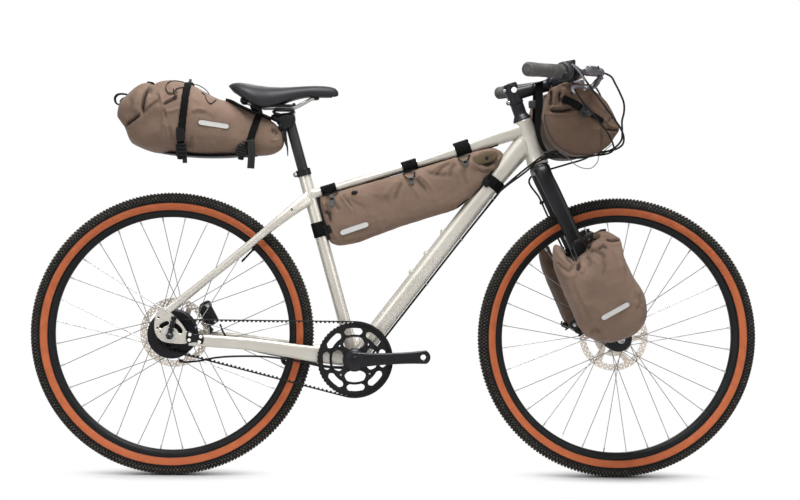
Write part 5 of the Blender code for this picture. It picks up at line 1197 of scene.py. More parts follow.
def buildStem():
    stem = Shape().turn([(.0146, .1662), (.018, .1662), (.0186, .167), (.0187, .2176), (.0181, .2184),
        (.0146, .2184)], headBase, headUp, 56, loop=True)
    stem.turn([(.0146, .2183), (.0172, .2185), (.0176, .2192), (.0174, .2212), (.015, .2222), (.006, .2222),
        (.0056, .2214), (0, .2214)], headBase, headUp, 48)
    screw(stem, headBase + headUp * .2212, headUp, .0045, .0026, 1)
    share = np.linspace(0, 1, 26)[:, None]
    line = stemMiddle + (barMiddle - stemOut * .006 - stemMiddle) * share
    wide = np.interp(share[:, 0], [0, .15, .5, .85, 1], [.0176, .0168, .0156, .0162, .0185])
    tall = np.interp(share[:, 0], [0, .15, .5, .85, 1], [.018, .0168, .0152, .016, .0196])
    stem.carry(line, np.stack([ring(w, t, 40, 2.4) for w, t in zip(wide, tall)]))
    inner, outer = .0161, .0217  # half rings about the bar: the stem's behind it, the faceplate's before it

    def halfRing(shape, start, end, reach, extra=0.0):
        angle = np.radians(np.linspace(start, end, 26))
        spokes = np.cos(angle)[:, None] * stemOut + np.sin(angle)[:, None] * stemUp
        rows = [barMiddle + spokes * r + (0, y, 0) for r, y in ((inner, -reach), (outer + extra - .001, -reach),
            (outer + extra, -reach + .001), (outer + extra, reach - .001), (outer + extra - .001, reach),
            (inner, reach))]
        points = np.stack(rows, 1)
        shape.grid(points)

    halfRing(stem, 94, 266, .0208)
    for side in (1, -1):
        for high in (1, -1):
            lug = barMiddle + stemUp * high * .0212 + (0, side * .0135, 0)
            stem.block(lug - stemOut * .005, (.0058, .0052, .0066), axes(stemOut, (0, 1, 0)), 4)
        for distance in (.1755, .2085):  # the clamp's two pinch bolts, behind the steerer
            place = onHead(distance, side * .0095, -.019)
            bars(stem, place * (1, 0, 1) + (0, side * .001, 0), place, .0056, 20)
            screw(stem, place, (0, side, 0), .0038, .0018, 1)
    stem.turn([(.0072, 0), (.0072, .0012), (.0064, .0018), (0, .0018)], onHead(.202, -.0183, .0035), (0, -1, 0), 32,
        paint=2)
    stem.build("stemBody", [satin, boltSteel, boltPale], "steering", "black_paint", "stem")

    face = Shape()
    halfRing(face, -84, 84, .0208)
    for side in (1, -1):
        for high in (1, -1):
            lug = barMiddle + stemUp * high * .0212 + (0, side * .0135, 0)
            face.block(lug + stemOut * .0052, (.0058, .0052, .0044), axes(stemOut, (0, 1, 0)), 4)
            screw(face, lug + stemOut * .0094, stemOut, .0038, .0022, 1)
    face.build("stemFace", [satin, boltSteel], "steering", "black_paint", "stem_faceplate")


def barLine(count=240):  # from the right end in to the clamp, and mirrored to the left end
    right = [onGrip(d, -1) for d in (.002, .045, .09, .165, .195, .214, .228)]
    right += [barMiddle + (ahead, -y, above) for ahead, y, above in ((.046, .15, .012), (.046, .126, .011),
        (.032, .096, .007), (.01, .064, .0015), (0, .045, 0))]
    whole = right + [barMiddle] + [point * (1, -1, 1) for point in right[::-1]]
    return lineThrough(whole, count)


def buildBar():
    line = barLine()
    radius = np.interp(np.abs(line[:, 1]), [.034, .041, .052, .062], [bar["clampRadius"], .0154, .0121,
        bar["radius"]])
    bare = Shape().cord(line, radius, 36)
    for y in (-.0365, -.0335, .0335, .0365):
        bare.turn([(.0155, -.0003), (.0162, -.0003), (.0162, .0003), (.0155, .0003)], barMiddle + (0, y, 0),
            (0, 1, 0), 40, loop=True, paint=1)
    bare.build("handlebarTube", [barSheen, greyPlastic], "steering", "black_paint", "handlebar")

    for word, side, length in (("right", -1, .085), ("left", 1, .1495)):
        axis = onGrip(1, side) - onGrip(0, side)
        profile = [(0, -.0052), (.008, -.005), (.0126, -.0042), (.0156, -.0024), (.017, .0), (.0174, .003),
            (.0174, .028), (.017, .029), (.0164, .0292), (.0164, .0302), (.017, .0304), (.017, .0325), (.0166, .0332)]
        profile += [(.0166 - .0004 * (k % 2), .036 + .0018 * k) for k in range(int((length - .038) / .0018))]
        profile += [(.0167, length - .0006), (.016, length), (.0114, length)]
        handle = Shape().turn(profile, onGrip(0, side), axis, 56)
        handle.turn([(0, -.005), (.011, -.0046), (.0114, -.005), (.0118, -.0045), (.012, -.004)], onGrip(0, side),
            axis, 40, paint=1)
        handle.build(word + "Grip", [grip, housing], "steering", "grip_rubber", "grip_" + word, sharp=45)

    axis = onGrip(1, -1) - onGrip(0, -1)
    steps = 240
    ridge = .0004 * np.cos(np.arange(steps) * 2 * math.pi * 40 / steps)
    sleeve = turned([(.0116, .0856), (.016, .0856), (.0166, .0862), (.0166, .09), (.0166, .128), (.0167, .134),
        (.0176, .14), (.0186, .144), (.0188, .148), (.018, .149), (.0116, .149)], onGrip(0, -1), axis, steps)
    out = unit(sleeve - sleeve.mean(1, keepdims=True))
    sleeve[3:7] = sleeve[3:7] + out[3:7] * ridge[None, :, None]
    Shape().grid(sleeve, ends=False, loop=True, paint=(np.arange(11) > 5).astype(int)).build("twistSleeve",
        [grip, housing], "twist_shifter", "grip_rubber", "twist_shifter", sharp=45)

    drum = Shape().turn([(.0116, .1498), (.0196, .1498), (.0215, .1508), (.024, .1545), (.0251, .159), (.0254, .1625),
        (.0253, .166), (.0246, .1692), (.0228, .1722), (.02, .1748), (.019, .1755), (.0116, .1755)], onGrip(0, -1),
        axis, 72, loop=True)
    # painted shade: a black oval block stands in for the dark hollow of the drum's recess
    recessShade = fromView(566.4, 75.6, onGrip(.16, -1)[1] - .024)
    drum.block(recessShade, (.0088, .01, .005), tilted(-8), 2.4, paint=1)
    drum.turn([(.019, .1492), (.0204, .1494), (.0204, .1502), (.019, .1504)], onGrip(0, -1), axis, 60, loop=True,
        paint=1)
    drum.block(onGrip(.165, -1, .012, .0205), (.0085, .006, .0065), axes(axis), 4)
    for lift in (.003, -.0035):  # where the two gear cables leave the drum
        drum.cord(np.array([onGrip(.165, -1, .014, .0225 + lift * .3), onGrip(.178, -1, .02, .0225 + lift)]), .004,
            14, paint=1)
    drum.build("shifterDrum", [housing, softBlack], "steering", "grip_rubber", "shifter_housing")


brake = {"clampAt": .206, "pivot": (.268, .038), "reservoir": .035}


def buildBrakes():
    pivot, tank = brake["pivot"], brake["reservoir"]
    for word, side in (("right", -1), ("left", 1)):
        axis = unit(onGrip(1, side) - onGrip(0, side))
        ahead = unit(onGrip(0, side, 1) - onGrip(0, side))
        body = Shape().turn([(.0113, .199), (.0158, .199), (.0166, .1998), (.0166, .2122), (.0158, .213),
            (.0113, .213)], onGrip(0, side), axis, 44, loop=True, paint=1)
        for lift in (.0105, -.0105):
            screw(body, onGrip(brake["clampAt"], side, -.015, lift), -ahead, .004, .0024, 2)
        body.cord(lineThrough([onGrip(brake["clampAt"], side, .012), onGrip(.21, side, .022), onGrip(.214, side,
            .034)], 10), np.linspace(.0072, .0062, 10), 20, paint=1)
        body.turn([(0, .1985), (.006, .1985), (.0072, .2), (.0076, .204), (.01, .208), (.0106, .211), (.0106, .233),
            (.01, .2345), (.01, .2365), (.0106, .238), (.0104, .262), (.0096, .265), (.0112, .266), (.0116, .2672),
            (.0116, .276), (.0108, .2785), (.006, .28), (0, .28)], onGrip(0, side, tank), axis, 44)
        body.block(onGrip(.234, side, tank, .0085), (.0195, .0095, .0065), axes((0, 0, 1), ahead), 4)
        for along in (.221, .247):
            screw(body, onGrip(along, side, tank, .0146), (0, 0, 1), .0028, .0012, 2)
        body.block(onGrip(.256, side, .04, .01), (.0038, .0038, .006), None, 2.5, paint=1)
        for lift in (.0012, .0172):
            body.turn([(0, 0), (.0076, 0), (.0082, .0008), (.0082, .003), (.0076, .0038), (0, .0038)],
                inLeverPlane(*pivot, side, lift), inLeverPlane(*pivot, side, lift + 1) - inLeverPlane(*pivot, side,
                lift), 28)
        body.cord([inLeverPlane(*pivot, side, .002), inLeverPlane(*pivot, side, .019)], .0068, 24)
        body.build(word + "BrakeBody", [leverGrey, softBlack, boltSteel], "steering", "lever_metal",
            "brake_body_" + word)

        lift = unit(inLeverPlane(.2, .05, side, 1) - inLeverPlane(.2, .05, side, 0))
        blade = Shape()
        route = lineThrough([inLeverPlane(a, r, side, -.006) for a, r in ((.272, .0385), (.262, .041), (.245, .049),
            (.228, .0525), (.21, .053), (.19, .0515), (.17, .05), (.154, .0522), (.14, .058), (.13, .067),
            (.124, .078))], 60)
        share = np.linspace(0, 1, 60)
        wide = np.interp(share, [0, .15, .4, .8, .96, 1], [.0058, .005, .0042, .0044, .0048, .003])
        thick = np.interp(share, [0, .15, .4, .8, .96, 1], [.0056, .0042, .003, .0028, .003, .002])
        blade.carry(route, np.stack([ring(t, w, 20, 2.6) for t, w in zip(thick, wide)]), lift)
        blade.turn([(0, -.0128), (.0072, -.0128), (.008, -.012), (.008, -.0008), (.0072, 0), (0, 0)],
            inLeverPlane(*pivot, side, 0), lift, 32)
        screw(blade, inLeverPlane(*pivot, side, -.0126), -lift, .004, .0016, 1)
        blade.grid(turned([(.003, -.0062), (.0036, -.005), (.0036, .005), (.003, .0062)], inLeverPlane(.205, .053,
            side, -.006), lift, 18), ends=True, paint=1)
        blade.build(word + "BrakeBlade", [leverGrey, boltSteel], "brake_lever_" + word, "lever_metal",
            "brake_lever_" + word)


caliper = {"reach": .097, "halfGap": .0098, "boltsApart": .045}


def buildCalipers():
    # two halves bolted across the disc, with a bridge, a bleed screw and a foot to the frame or the fork
    for word, body, centre, angle, y, foot in (("rear", "frame", rearAxle, 28.5, .052, (-.48, .063, .366)),
            ("front", "steering", frontAxle, 152.0, .045, (.512, .056, .429))):
        radial = np.array([math.cos(math.radians(angle)), 0, math.sin(math.radians(angle))])
        along = np.array([-radial[2], 0, radial[0]])
        middle = centre + radial * caliper["reach"] + (0, y, 0)
        turn = np.stack([along, radial, (0, 1, 0)], 1)
        clamp = Shape()
        for side in (1, -1):
            clamp.block(middle + (0, side * caliper["halfGap"], 0), (.03, .015, .007), turn, 3.4)
            clamp.turn([(0, 0), (.0095, 0), (.0105, .0006), (.0105, .0018), (.0098, .0024), (.006, .0024),
                (.0055, .0018), (0, .0018)], middle + (0, side * .016, 0) - radial * .004, (0, side, 0), 32)
        clamp.block(middle + radial * .012, (.029, .007, .015), turn, 4)
        clamp.block(middle + along * .024 + radial * .006, (.011, .016, .01), turn, 3)
        for shift in (-caliper["boltsApart"] / 2, caliper["boltsApart"] / 2):
            screw(clamp, middle + along * shift + radial * .011 - (0, .0166, 0), (0, -1, 0), .0046, .0022, 1)
            screw(clamp, middle + along * shift + radial * .011 + (0, .0166, 0), (0, 1, 0), .0046, .0022, 1)
        inner = middle - radial * .02
        foot = np.array(foot)
        clamp.cord(np.array([inner + (0, .006, 0) - along * .01, (inner - along * .018 + foot) / 2 + (0, .003, 0),
            foot]), np.array([.008, .0075, .0068]), 18)
        clamp.turn([(.003, 0), (.006, .0005), (.006, .006), (.0052, .0068), (0, .0068)],
            middle + along * .026 + radial * .012, along, 20, paint=1)
        clamp.build(word + "Caliper", [softBlack, boltSteel], body, "black_paint", word + "_brake_caliper")
    print("cockpit and brakes built")


barSheen = blackPaint("barSheen", (28, 30, 36), .24, .6)
buildFork()
buildStem()
buildBar()
buildBrakes()
buildCalipers()


# Seatpost, rails and saddle
def buildPost():
    low, top = tube["seatLength"] - .165, (.9345 - .304) / .96174
    post = Shape().turn([(0, low), (.0128, low), (.0136, low + .001), (.0136, top - .03), (.014, top - .02),
        (.0152, top - .01), (.0158, top - .004), (.015, top), (0, top)], bracket, seatUp, 48)
    for k in range(9):  # short height marks up the back of the post
        place = onSeat(low + .112 + k * .01, -.003, .0135)
        post.grid(softBlock(place, (.0022 if k % 2 else .0034, .00035, .0004), axes((-seatUp[2], 0, seatUp[0]),
            seatUp), 4, 6, 12), paint=2)
    # two dished plates hold the rails, on a curved yoke with an open window
    for level, tall in ((.9428, .004), (.9525, .0036)):
        post.block((-.2955, 0, level), (.027, .03, tall), None, 5)
    yoke = lineThrough([(-.323, 0, .94), (-.318, 0, .933), (-.305, 0, .928), (-.29, 0, .928), (-.276, 0, .932),
        (-.269, 0, .94)], 26)
    post.carry(yoke, ring(.017, .0042, 28, 3.5))
    post.carry(np.array([(-.301, 0, .9205), (-.299, 0, .926), (-.2975, 0, .93)]), np.stack([ring(.016, .015, 32, 2.6),
        ring(.0165, .016, 32, 3), ring(.015, .017, 32, 3)]))
    for x, z, height in ((-.3205, .9295, .03), (-.27, .9325, .027)):
        bars(post, (x, 0, z), (x, 0, z + height), .0026, 14, 1)
        post.turn([(0, 0), (-.0052, 0), (-.0052, .0045), (0, .0045)], (x, 0, z - .0035), (0, 0, 1), 24, sides=6,
            paint=1)
        bars(post, (x, -.009, z + height - .003), (x, .009, z + height - .003), .0042, 16)
    post.build("seatpostTube", [postBlack, boltSteel, greyPlastic], "seat", "black_paint", "seatpost")

    side = [(-.392, .026, .962), (-.388, .0245, .959), (-.372, .023, .9515), (-.35, .022, .9475), (-.31, .022, .9475),
        (-.272, .022, .948), (-.246, .019, .96), (-.226, .013, .971), (-.217, .006, .9735)]
    route = lineThrough(side + [(x, -y, z) for x, y, z in side[::-1]], 150)
    Shape().cord(route, .0036, 20).build("saddleRails", [railSteel], "seat", "polished_metal", "saddle_rails")


# each station: x, highest, rim height at the sides, lowest, half width
saddle = {"stations": [(-.4366, 1.0015, 1.0005, .999, .02), (-.432, 1.006, .9958, .9935, .036), (-.423, 1.009, .9895,
    .9865, .053), (-.4125, 1.0103, .9831, .9795, .063), (-.3966, 1.0095, .9723, .968, .0715), (-.3808, 1.0072, .9618,
    .9575, .0745), (-.368, 1.0052, .9545, .951, .0735), (-.3505, 1.003, .9495, .946, .068), (-.3357, 1.0015, .9502,
    .9465, .0615), (-.3183, 1.001, .955, .9515, .0545), (-.2983, 1.001, .9625, .959, .0465), (-.2807, 1.002, .969,
    .966, .04), (-.2554, 1.004, .9762, .9735, .0325), (-.23, 1.0055, .9803, .978, .0275), (-.2044, 1.0058, .98, .978,
    .0235), (-.185, 1.0048, .98, .9785, .0205), (-.17, 1.002, .9805, .979, .017), (-.161, .9975, .9815, .98, .013),
    (-.156, .99, .9835, .9822, .0075)], "crown": .55, "channel": .0022}


def buildSaddle():
    # half a section: the top falls from the middle in a slow curve, turns down to the rim, and tucks in below
    count, half = 120, 26
    table = np.array(saddle["stations"])
    stations = eased(np.linspace(table[0, 0], table[-1, 0], count), table[:, 0], table[:, 1:])
    xs = np.linspace(table[0, 0], table[-1, 0], count)
    turn = np.linspace(0, math.pi / 2, half)
    rows = []
    for x, (high, rim, low, wide) in zip(xs, stations):
        across = np.sin(turn) ** .92 * wide
        drop = 1 - np.cos(turn) ** saddle["crown"]
        level = high - (high - rim) * (.16 * (across / wide) ** 2 + .84 * drop)
        fade = np.clip((-.215 - x) / .05, 0, 1) * np.clip((x + .425) / .05, 0, 1)
        level = level - saddle["channel"] * fade * np.exp(-(across / .0065) ** 2)
        inward = np.array([(1.0, -.35), (.985, -.75), (.955, -1.0), (.9, -.96), (.86, -.6)])
        under = [(wide * a, rim + (rim - low) * b * .9) for a, b in inward]
        right = np.concatenate([np.stack([across, level], 1), under])
        right = np.append(right, [(wide * .8, rim + .002), (wide * .35, rim + .004), (0, rim + .0045)], 0)
        whole = np.concatenate([right, (right * (-1, 1))[-2:0:-1]])
        rows.append(np.stack([np.full(len(whole), x), whole[:, 0], whole[:, 1]], 1))
    cover = Shape().grid(rows)
    seat = cover.build("saddleCover", [saddleCover], "seat", "saddle_cover", "saddle", sharp=60, merge=True)

    shell = Shape()
    rows = []
    for x, (high, rim, low, wide) in list(zip(xs, stations))[4:-5:3]:
        flat = ring(wide * .86, .004, 40, 3)
        rows.append(np.stack([np.full(40, x), flat[:, 0], flat[:, 1] + rim - .0004], 1))
    shell.grid(rows)
    for side in (1, -1):  # rail sockets at the back and the nose
        shell.block((-.396, side * .0255, .964), (.011, .008, .008), None, 3)
    shell.block((-.216, 0, .9745), (.011, .012, .006), None, 3)
    shell.block((-.399, 0, .97), (.005, .048, .0035), None, 4)
    shell.build("saddleShell", [softBlack], "seat", "saddle_cover")
    print("seat built")


postBlack = blackPaint("postBlack", (40, 40, 42), .42, .3)
railSteel = bareMetal("railSteel", (182, 184, 180), .3, metallic=.9)
buildPost()
buildSaddle()


# Bags. Folds are strokes over the near side as the camera sees it, and the far side has them mirrored
def nearest(spots, line):
    # for each spot, the distance to a broken line, its side of it, and how far along the line it is
    line = np.asarray(line, float)
    runs = np.diff(line, axis=0)
    lengths = np.linalg.norm(runs, axis=1)
    starts = np.append(0, np.cumsum(lengths))
    best = np.full(spots.shape[:-1], 1e9)
    side, along = np.zeros_like(best), np.zeros_like(best)
    for first, run, length, start in zip(line[:-1], runs, lengths, starts):
        offset = spots - first
        t = np.clip(offset @ run / length ** 2, 0, 1)
        away = np.linalg.norm(offset - t[..., None] * run, axis=-1)
        nearer = away < best
        best = np.where(nearer, away, best)
        side = np.where(nearer, np.sign(run[0] * offset[..., 1] - run[1] * offset[..., 0]), side)
        along = np.where(nearer, start + t * length, along)
    return best, side, along / starts[-1]


folds = {"perMetre": 1500, "fadeShare": .16, "least": .15}  # a stroke's height is in two thirds of a millimetre


def strokeHeight(spots, strokes):
    # each stroke: its line and width in steps of the view, and its height. A fourth number makes it a lip: raised
    # on one side of the line and falling off over that reach. Every stroke fades towards its ends. A valley, and
    # the low side of a lip, also get painted shade, which darkens the cloth
    height, shade = np.zeros(spots.shape[:-1]), np.zeros(spots.shape[:-1])
    for line, width, rise, *more in strokes:
        away, side, along = nearest(spots, line)
        fade = np.clip(np.minimum(along, 1 - along) / folds["fadeShare"], 0, 1)
        fade = folds["least"] + (1 - folds["least"]) * fade * fade * (3 - 2 * fade)
        if more:
            lift = rise * .5 * (1 + np.tanh(side * away / width)) * np.exp(-(away / more[0]) ** 2)
            # painted shade on the low side of a lip
            lowSideShade = np.exp(-(np.maximum(-side * away, 0) / width) ** 2) * (side * away < width)
            shade += np.clip(rise / 8, 0, 1) * lowSideShade * fade * .6
        else:
            lift = rise * np.exp(-(away / width) ** 2)
            shade += np.clip((-rise - .8) / 9, 0, 1) * np.exp(-(away / width) ** 2) * fade
        height += lift * fade / folds["perMetre"]
    return height, np.clip(shade, 0, 1)


def rumple(points, size, seed, waves=9, low=.05, high=.16):
    # gentle unevenness: a sum of sine waves in chance directions, between two wavelengths, sharpened a little
    draw = np.random.default_rng(seed)
    total = np.zeros(points.shape[:-1])
    for _ in range(waves):
        heading = unit(draw.normal(size=3))
        length = draw.uniform(low, high)
        wave = np.sin(points @ heading * 2 * math.pi / length + draw.uniform(0, 6.3))
        total += (1 - np.abs(wave)) ** 2 - .35
    return total * size / math.sqrt(waves)


def normalsOf(grid):  # across the steps round a grid and the steps along it
    around = np.roll(grid, -1, 1) - np.roll(grid, 1, 1)
    along = np.gradient(grid, axis=0)
    return unit(np.cross(around, along))


def spans(outline, along, count, ends=.55):
    # an outline cut by lines square to an axis: for each cut, its place along the axis and its two limits
    outline = lineThrough(outline, 900, closed=True)
    along = unit(along)
    across = np.array([-along[1], along[0]])
    reach, off = outline @ along, outline @ across
    t = np.linspace(0, 1, count)
    t = (1 - ends) * t + ends * (1 - np.cos(math.pi * t)) / 2
    cuts = reach.min() + 2e-4 + (np.ptp(reach) - 4e-4) * t
    low, high = np.zeros(count), np.zeros(count)
    nextReach, nextOff = np.roll(reach, -1), np.roll(off, -1)
    for k, cut in enumerate(cuts):
        hit = (reach - cut) * (nextReach - cut) <= 0
        share = (cut - reach[hit]) / (nextReach[hit] - reach[hit] + 1e-12)
        found = off[hit] + (nextOff[hit] - off[hit]) * share
        low[k], high[k] = found.min(), found.max()
    return cuts, low, high, t, across


def pouch(bag, y=0.0):
    # a bag lofted along an axis: each cut is a rounded ring between the outline's limits, half as deep as given
    cuts, low, high, t, across = spans(bag["outline"], bag["along"], bag["rows"])
    depth = bag["half"] * (1 - np.abs(2 * t - 1) ** 7) ** (1 / 2.4) + 1e-4
    if "belly" in bag:
        depth = depth * np.interp(cuts, *bag["belly"])
    middle, tall = (low + high) / 2, (high - low) / 2
    flat = ring(1, 1, bag["columns"], bag["power"])
    off = middle[:, None] + tall[:, None] * flat[:, 1]
    plane = cuts[:, None, None] * unit(bag["along"]) + off[..., None] * across
    return np.stack([plane[..., 0], y + depth[:, None] * flat[:, 0], plane[..., 1]], 2)


def shellPiece(name, grid, strokes, body, slotName, node, finish, rough=.0011, seed=3, ends=True, extra=None):
    # turn outward, fold and rumple the surface, then keep the folds' painted shade for the cloth's colour
    if (normalsOf(grid) * (grid - grid.mean((0, 1)))).sum() < 0:
        grid = grid[:, ::-1]
    out = normalsOf(grid)
    height, shade = strokeHeight(seen(grid), strokes)
    wave = rumple(grid, rough, seed)
    facing = np.abs(out[..., 1]) ** .5
    grid = grid + out * (height * np.clip(facing * 1.3, .25, 1) + wave)[..., None]
    shape = Shape().grid(grid, ends=ends)
    shades = [shade.ravel()]
    if ends:
        shades.append(np.zeros(2))
    if extra:
        shape.add(extra, 1)
        shades.append(np.zeros(extra.total))
    finishes = [finish, softBlack, buckle, tape]
    piece = shape.build(name, finishes, body, slotName, node, sharp=75)
    store = piece.data.attributes.new("shade", "FLOAT", "POINT")
    store.data.foreach_set("value", np.concatenate(shades).astype(np.float32))
    return piece


def surfaceY(grid, px, py):  # how far out the near side is, at a place of the view
    spots = seen(grid)
    near = grid[..., 1] < grid[..., 1].mean()
    away = np.where(near, np.linalg.norm(spots - (px, py), axis=-1), 1e9)
    return grid.reshape(-1, 3)[np.argmin(away), 1]


def onSurface(grid, line, lift=.0012):
    # a view line laid over the near side of a bag
    line = np.asarray(line, float)
    out = [fromView(px, py, surfaceY(grid, px, py) - lift) for px, py in line]
    return np.array(out)


def ribbon(shape, line, width, thick=.0016, across=(0, 1, 0), paint=0, count=None, sides=12):
    # flat webbing along a line, wide across the given direction
    line = lineThrough(line, count or max(12, int(len(line) * 10)))
    widths = np.broadcast_to(width, len(line)) if np.ndim(width) == 0 else np.interp(np.linspace(0, 1, len(line)),
        np.linspace(0, 1, len(width)), width)
    section = np.stack([ring(w / 2, thick / 2, sides * 2, 5) for w in widths])
    return shape.carry(line, section, across, paint=paint)


def laidRibbon(shape, grid, line, width, thick=.0016, lift=.0016, paint=0, count=30):
    # webbing laid over the near side: across the line within the view, facing outwards
    line = lineThrough(line, count)
    places = onSurface(grid, line, lift)
    places[1:-1, 1] = (places[:-2, 1] + places[1:-1, 1] * 2 + places[2:, 1]) / 4
    steps = np.gradient(places, axis=0)
    across = unit(np.cross(steps, (0, -1, 0)))
    return ribbon(shape, places, width, thick, across if len(across) == count else (0, 0, 1), paint, count)


def ladderLock(shape, centre, turn, wide=.026, tall=.034, paint=0, steps=4):
    # a moulded buckle: two side rails joined by cross bars, on a thin back plate
    first, second, out = turn[:, 0], turn[:, 1], turn[:, 2]
    for side in (1, -1):
        shape.block(centre + first * side * wide * .46, (.0024, tall / 2, .0032), turn, 4, paint=paint)
    for k in range(steps):
        level = (k / (steps - 1) - .5) * tall * .86
        shape.block(centre + second * level + out * .0014, (wide / 2, .0018, .0026), turn, 4, paint=paint)
    shape.block(centre - out * .0012, (wide * .42, tall * .46, .0012), turn, 5, paint=paint)
    return shape


saddleBag = {"along": (1, 0), "half": .085, "power": 2.7, "rows": 320, "columns": 296, "strapWide": .0185,
    "belly": ([-.721, -.7, -.66, -.6, -.54, -.5, -.44, -.38, -.33, -.3], [.62, .78, .95, 1.0, .98, .93, .82, .66, .5,
    .42]), "outline": [(-.7215, .92), (-.7187, .9442), (-.7124, .9596), (-.6998, .9714), (-.6846, .9857),
    (-.6668, .9995), (-.6516, 1.006), (-.639, 1.0062), (-.63, 1.0022), (-.6158, 1.0085), (-.5954, 1.0135),
    (-.5698, 1.0138), (-.5492, 1.0096), (-.5338, 1.0034), (-.5132, .9934), (-.4875, .9797), (-.4668, .9697),
    (-.436, .96), (-.4076, .9475), (-.3793, .935), (-.3457, .923), (-.3276, .9139), (-.3094, .899), (-.2974, .8818),
    (-.2939, .8666), (-.2955, .8499), (-.3031, .8387), (-.3189, .8295), (-.342, .824), (-.3677, .8226),
    (-.4089, .823), (-.473, .8217), (-.5372, .8221), (-.5833, .8243), (-.6171, .8264), (-.6371, .8311),
    (-.6551, .8372), (-.673, .846), (-.6859, .8553), (-.6924, .8701), (-.6977, .8854), (-.7047, .8943),
    (-.7124, .9058)], "strokes": [([(150.8, 87), (146.8, 92.5), (144.3, 99), (142.9, 107), (143.6, 114.5)], 1.5, -20),
    ([(148.8, 95), (148.4, 103), (146.4, 112)], 1.8, 4), ([(156, 92), (159, 97), (159.6, 104)], 2.0, -2.4),
    ([(141, 88), (136.5, 100), (134.5, 113)], 4.5, 4.5), ([(123.5, 130), (127.7, 127), (135, 121.5), (143.5, 115.2),
    (152.5, 107.7), (161.2, 101.5)], .9, 10, 7), ([(124.5, 126.3), (133, 120.4), (141.5, 113.8)], 1.5, -12),
    ([(145, 112), (152, 105.5), (159, 99.5)], 1.5, -5), ([(160.6, 90.5), (162.3, 104), (164, 117), (162.8, 130)], 1.5,
    5.5), ([(131, 96), (130.5, 108), (127, 118)], 2.2, -1.8), ([(163.2, 103.4), (168, 99.8), (173, 97), (179, 94.4)],
    1.1, 5), ([(163.5, 104.6), (168, 102.6), (173, 100.2), (178, 97.4)], 1.4, -7),
    ([(164.5, 111.8), (172, 111), (181, 108)], 1.6, 3.4), ([(163.6, 108.5), (165.2, 112.5), (166, 118)], 1.4, -5),
    ([(168, 126), (171, 132), (172.5, 141)], 2.4, -3), ([(164, 121), (168, 131), (170.5, 143)], 1.7, 3),
    ([(191, 115), (198, 112.6), (206, 113.5), (213.5, 118.8)], 2.4, -2.4),
    ([(191, 110.5), (199, 108.8), (208, 110.5)], 2.0, 2.8), ([(193.4, 152), (195.5, 146), (196.5, 140)], 1.6, 3.2),
    ([(188.5, 149), (191.5, 143), (193, 137)], 1.8, -3.2), ([(190.5, 96.5), (196, 99.5), (203, 103.5)], 2.2, 1.8),
    ([(177, 90.5), (176.5, 95), (173.5, 99)], 1.4, -5), ([(170, 84), (172, 88.5), (171, 93)], 2.0, 2.4),
    ([(211, 153), (214, 147), (213, 141)], 1.8, 2.2), ([(160, 131), (150, 137), (139, 141)], 3.5, 1.6),
    ([(271.5, 131), (276.5, 130.5), (279, 134.5)], 2.6, -7), ([(270, 138.5), (275, 140.5), (280, 139)], 1.8, 2.4),
    ([(269, 127), (272.5, 133), (272, 139)], 1.6, 2.2), ([(232, 106), (240, 113), (246, 122)], 3.0, 2),
    ([(258, 118), (266, 124), (272, 128)], 2.5, 1.6), ([(128.5, 133), (137, 143), (150, 149)], 1.6, 2.2),
    ([(133, 130), (140, 139), (152, 146.5)], 3.0, -1.4), ([(222, 108), (216, 116), (214, 126)], 3.0, -1.6),
    ([(246, 128), (252, 136), (262, 140)], 3.5, 1.4), ([(150, 85.5), (151.6, 90.5), (150, 94)], 1.2, -5)]}


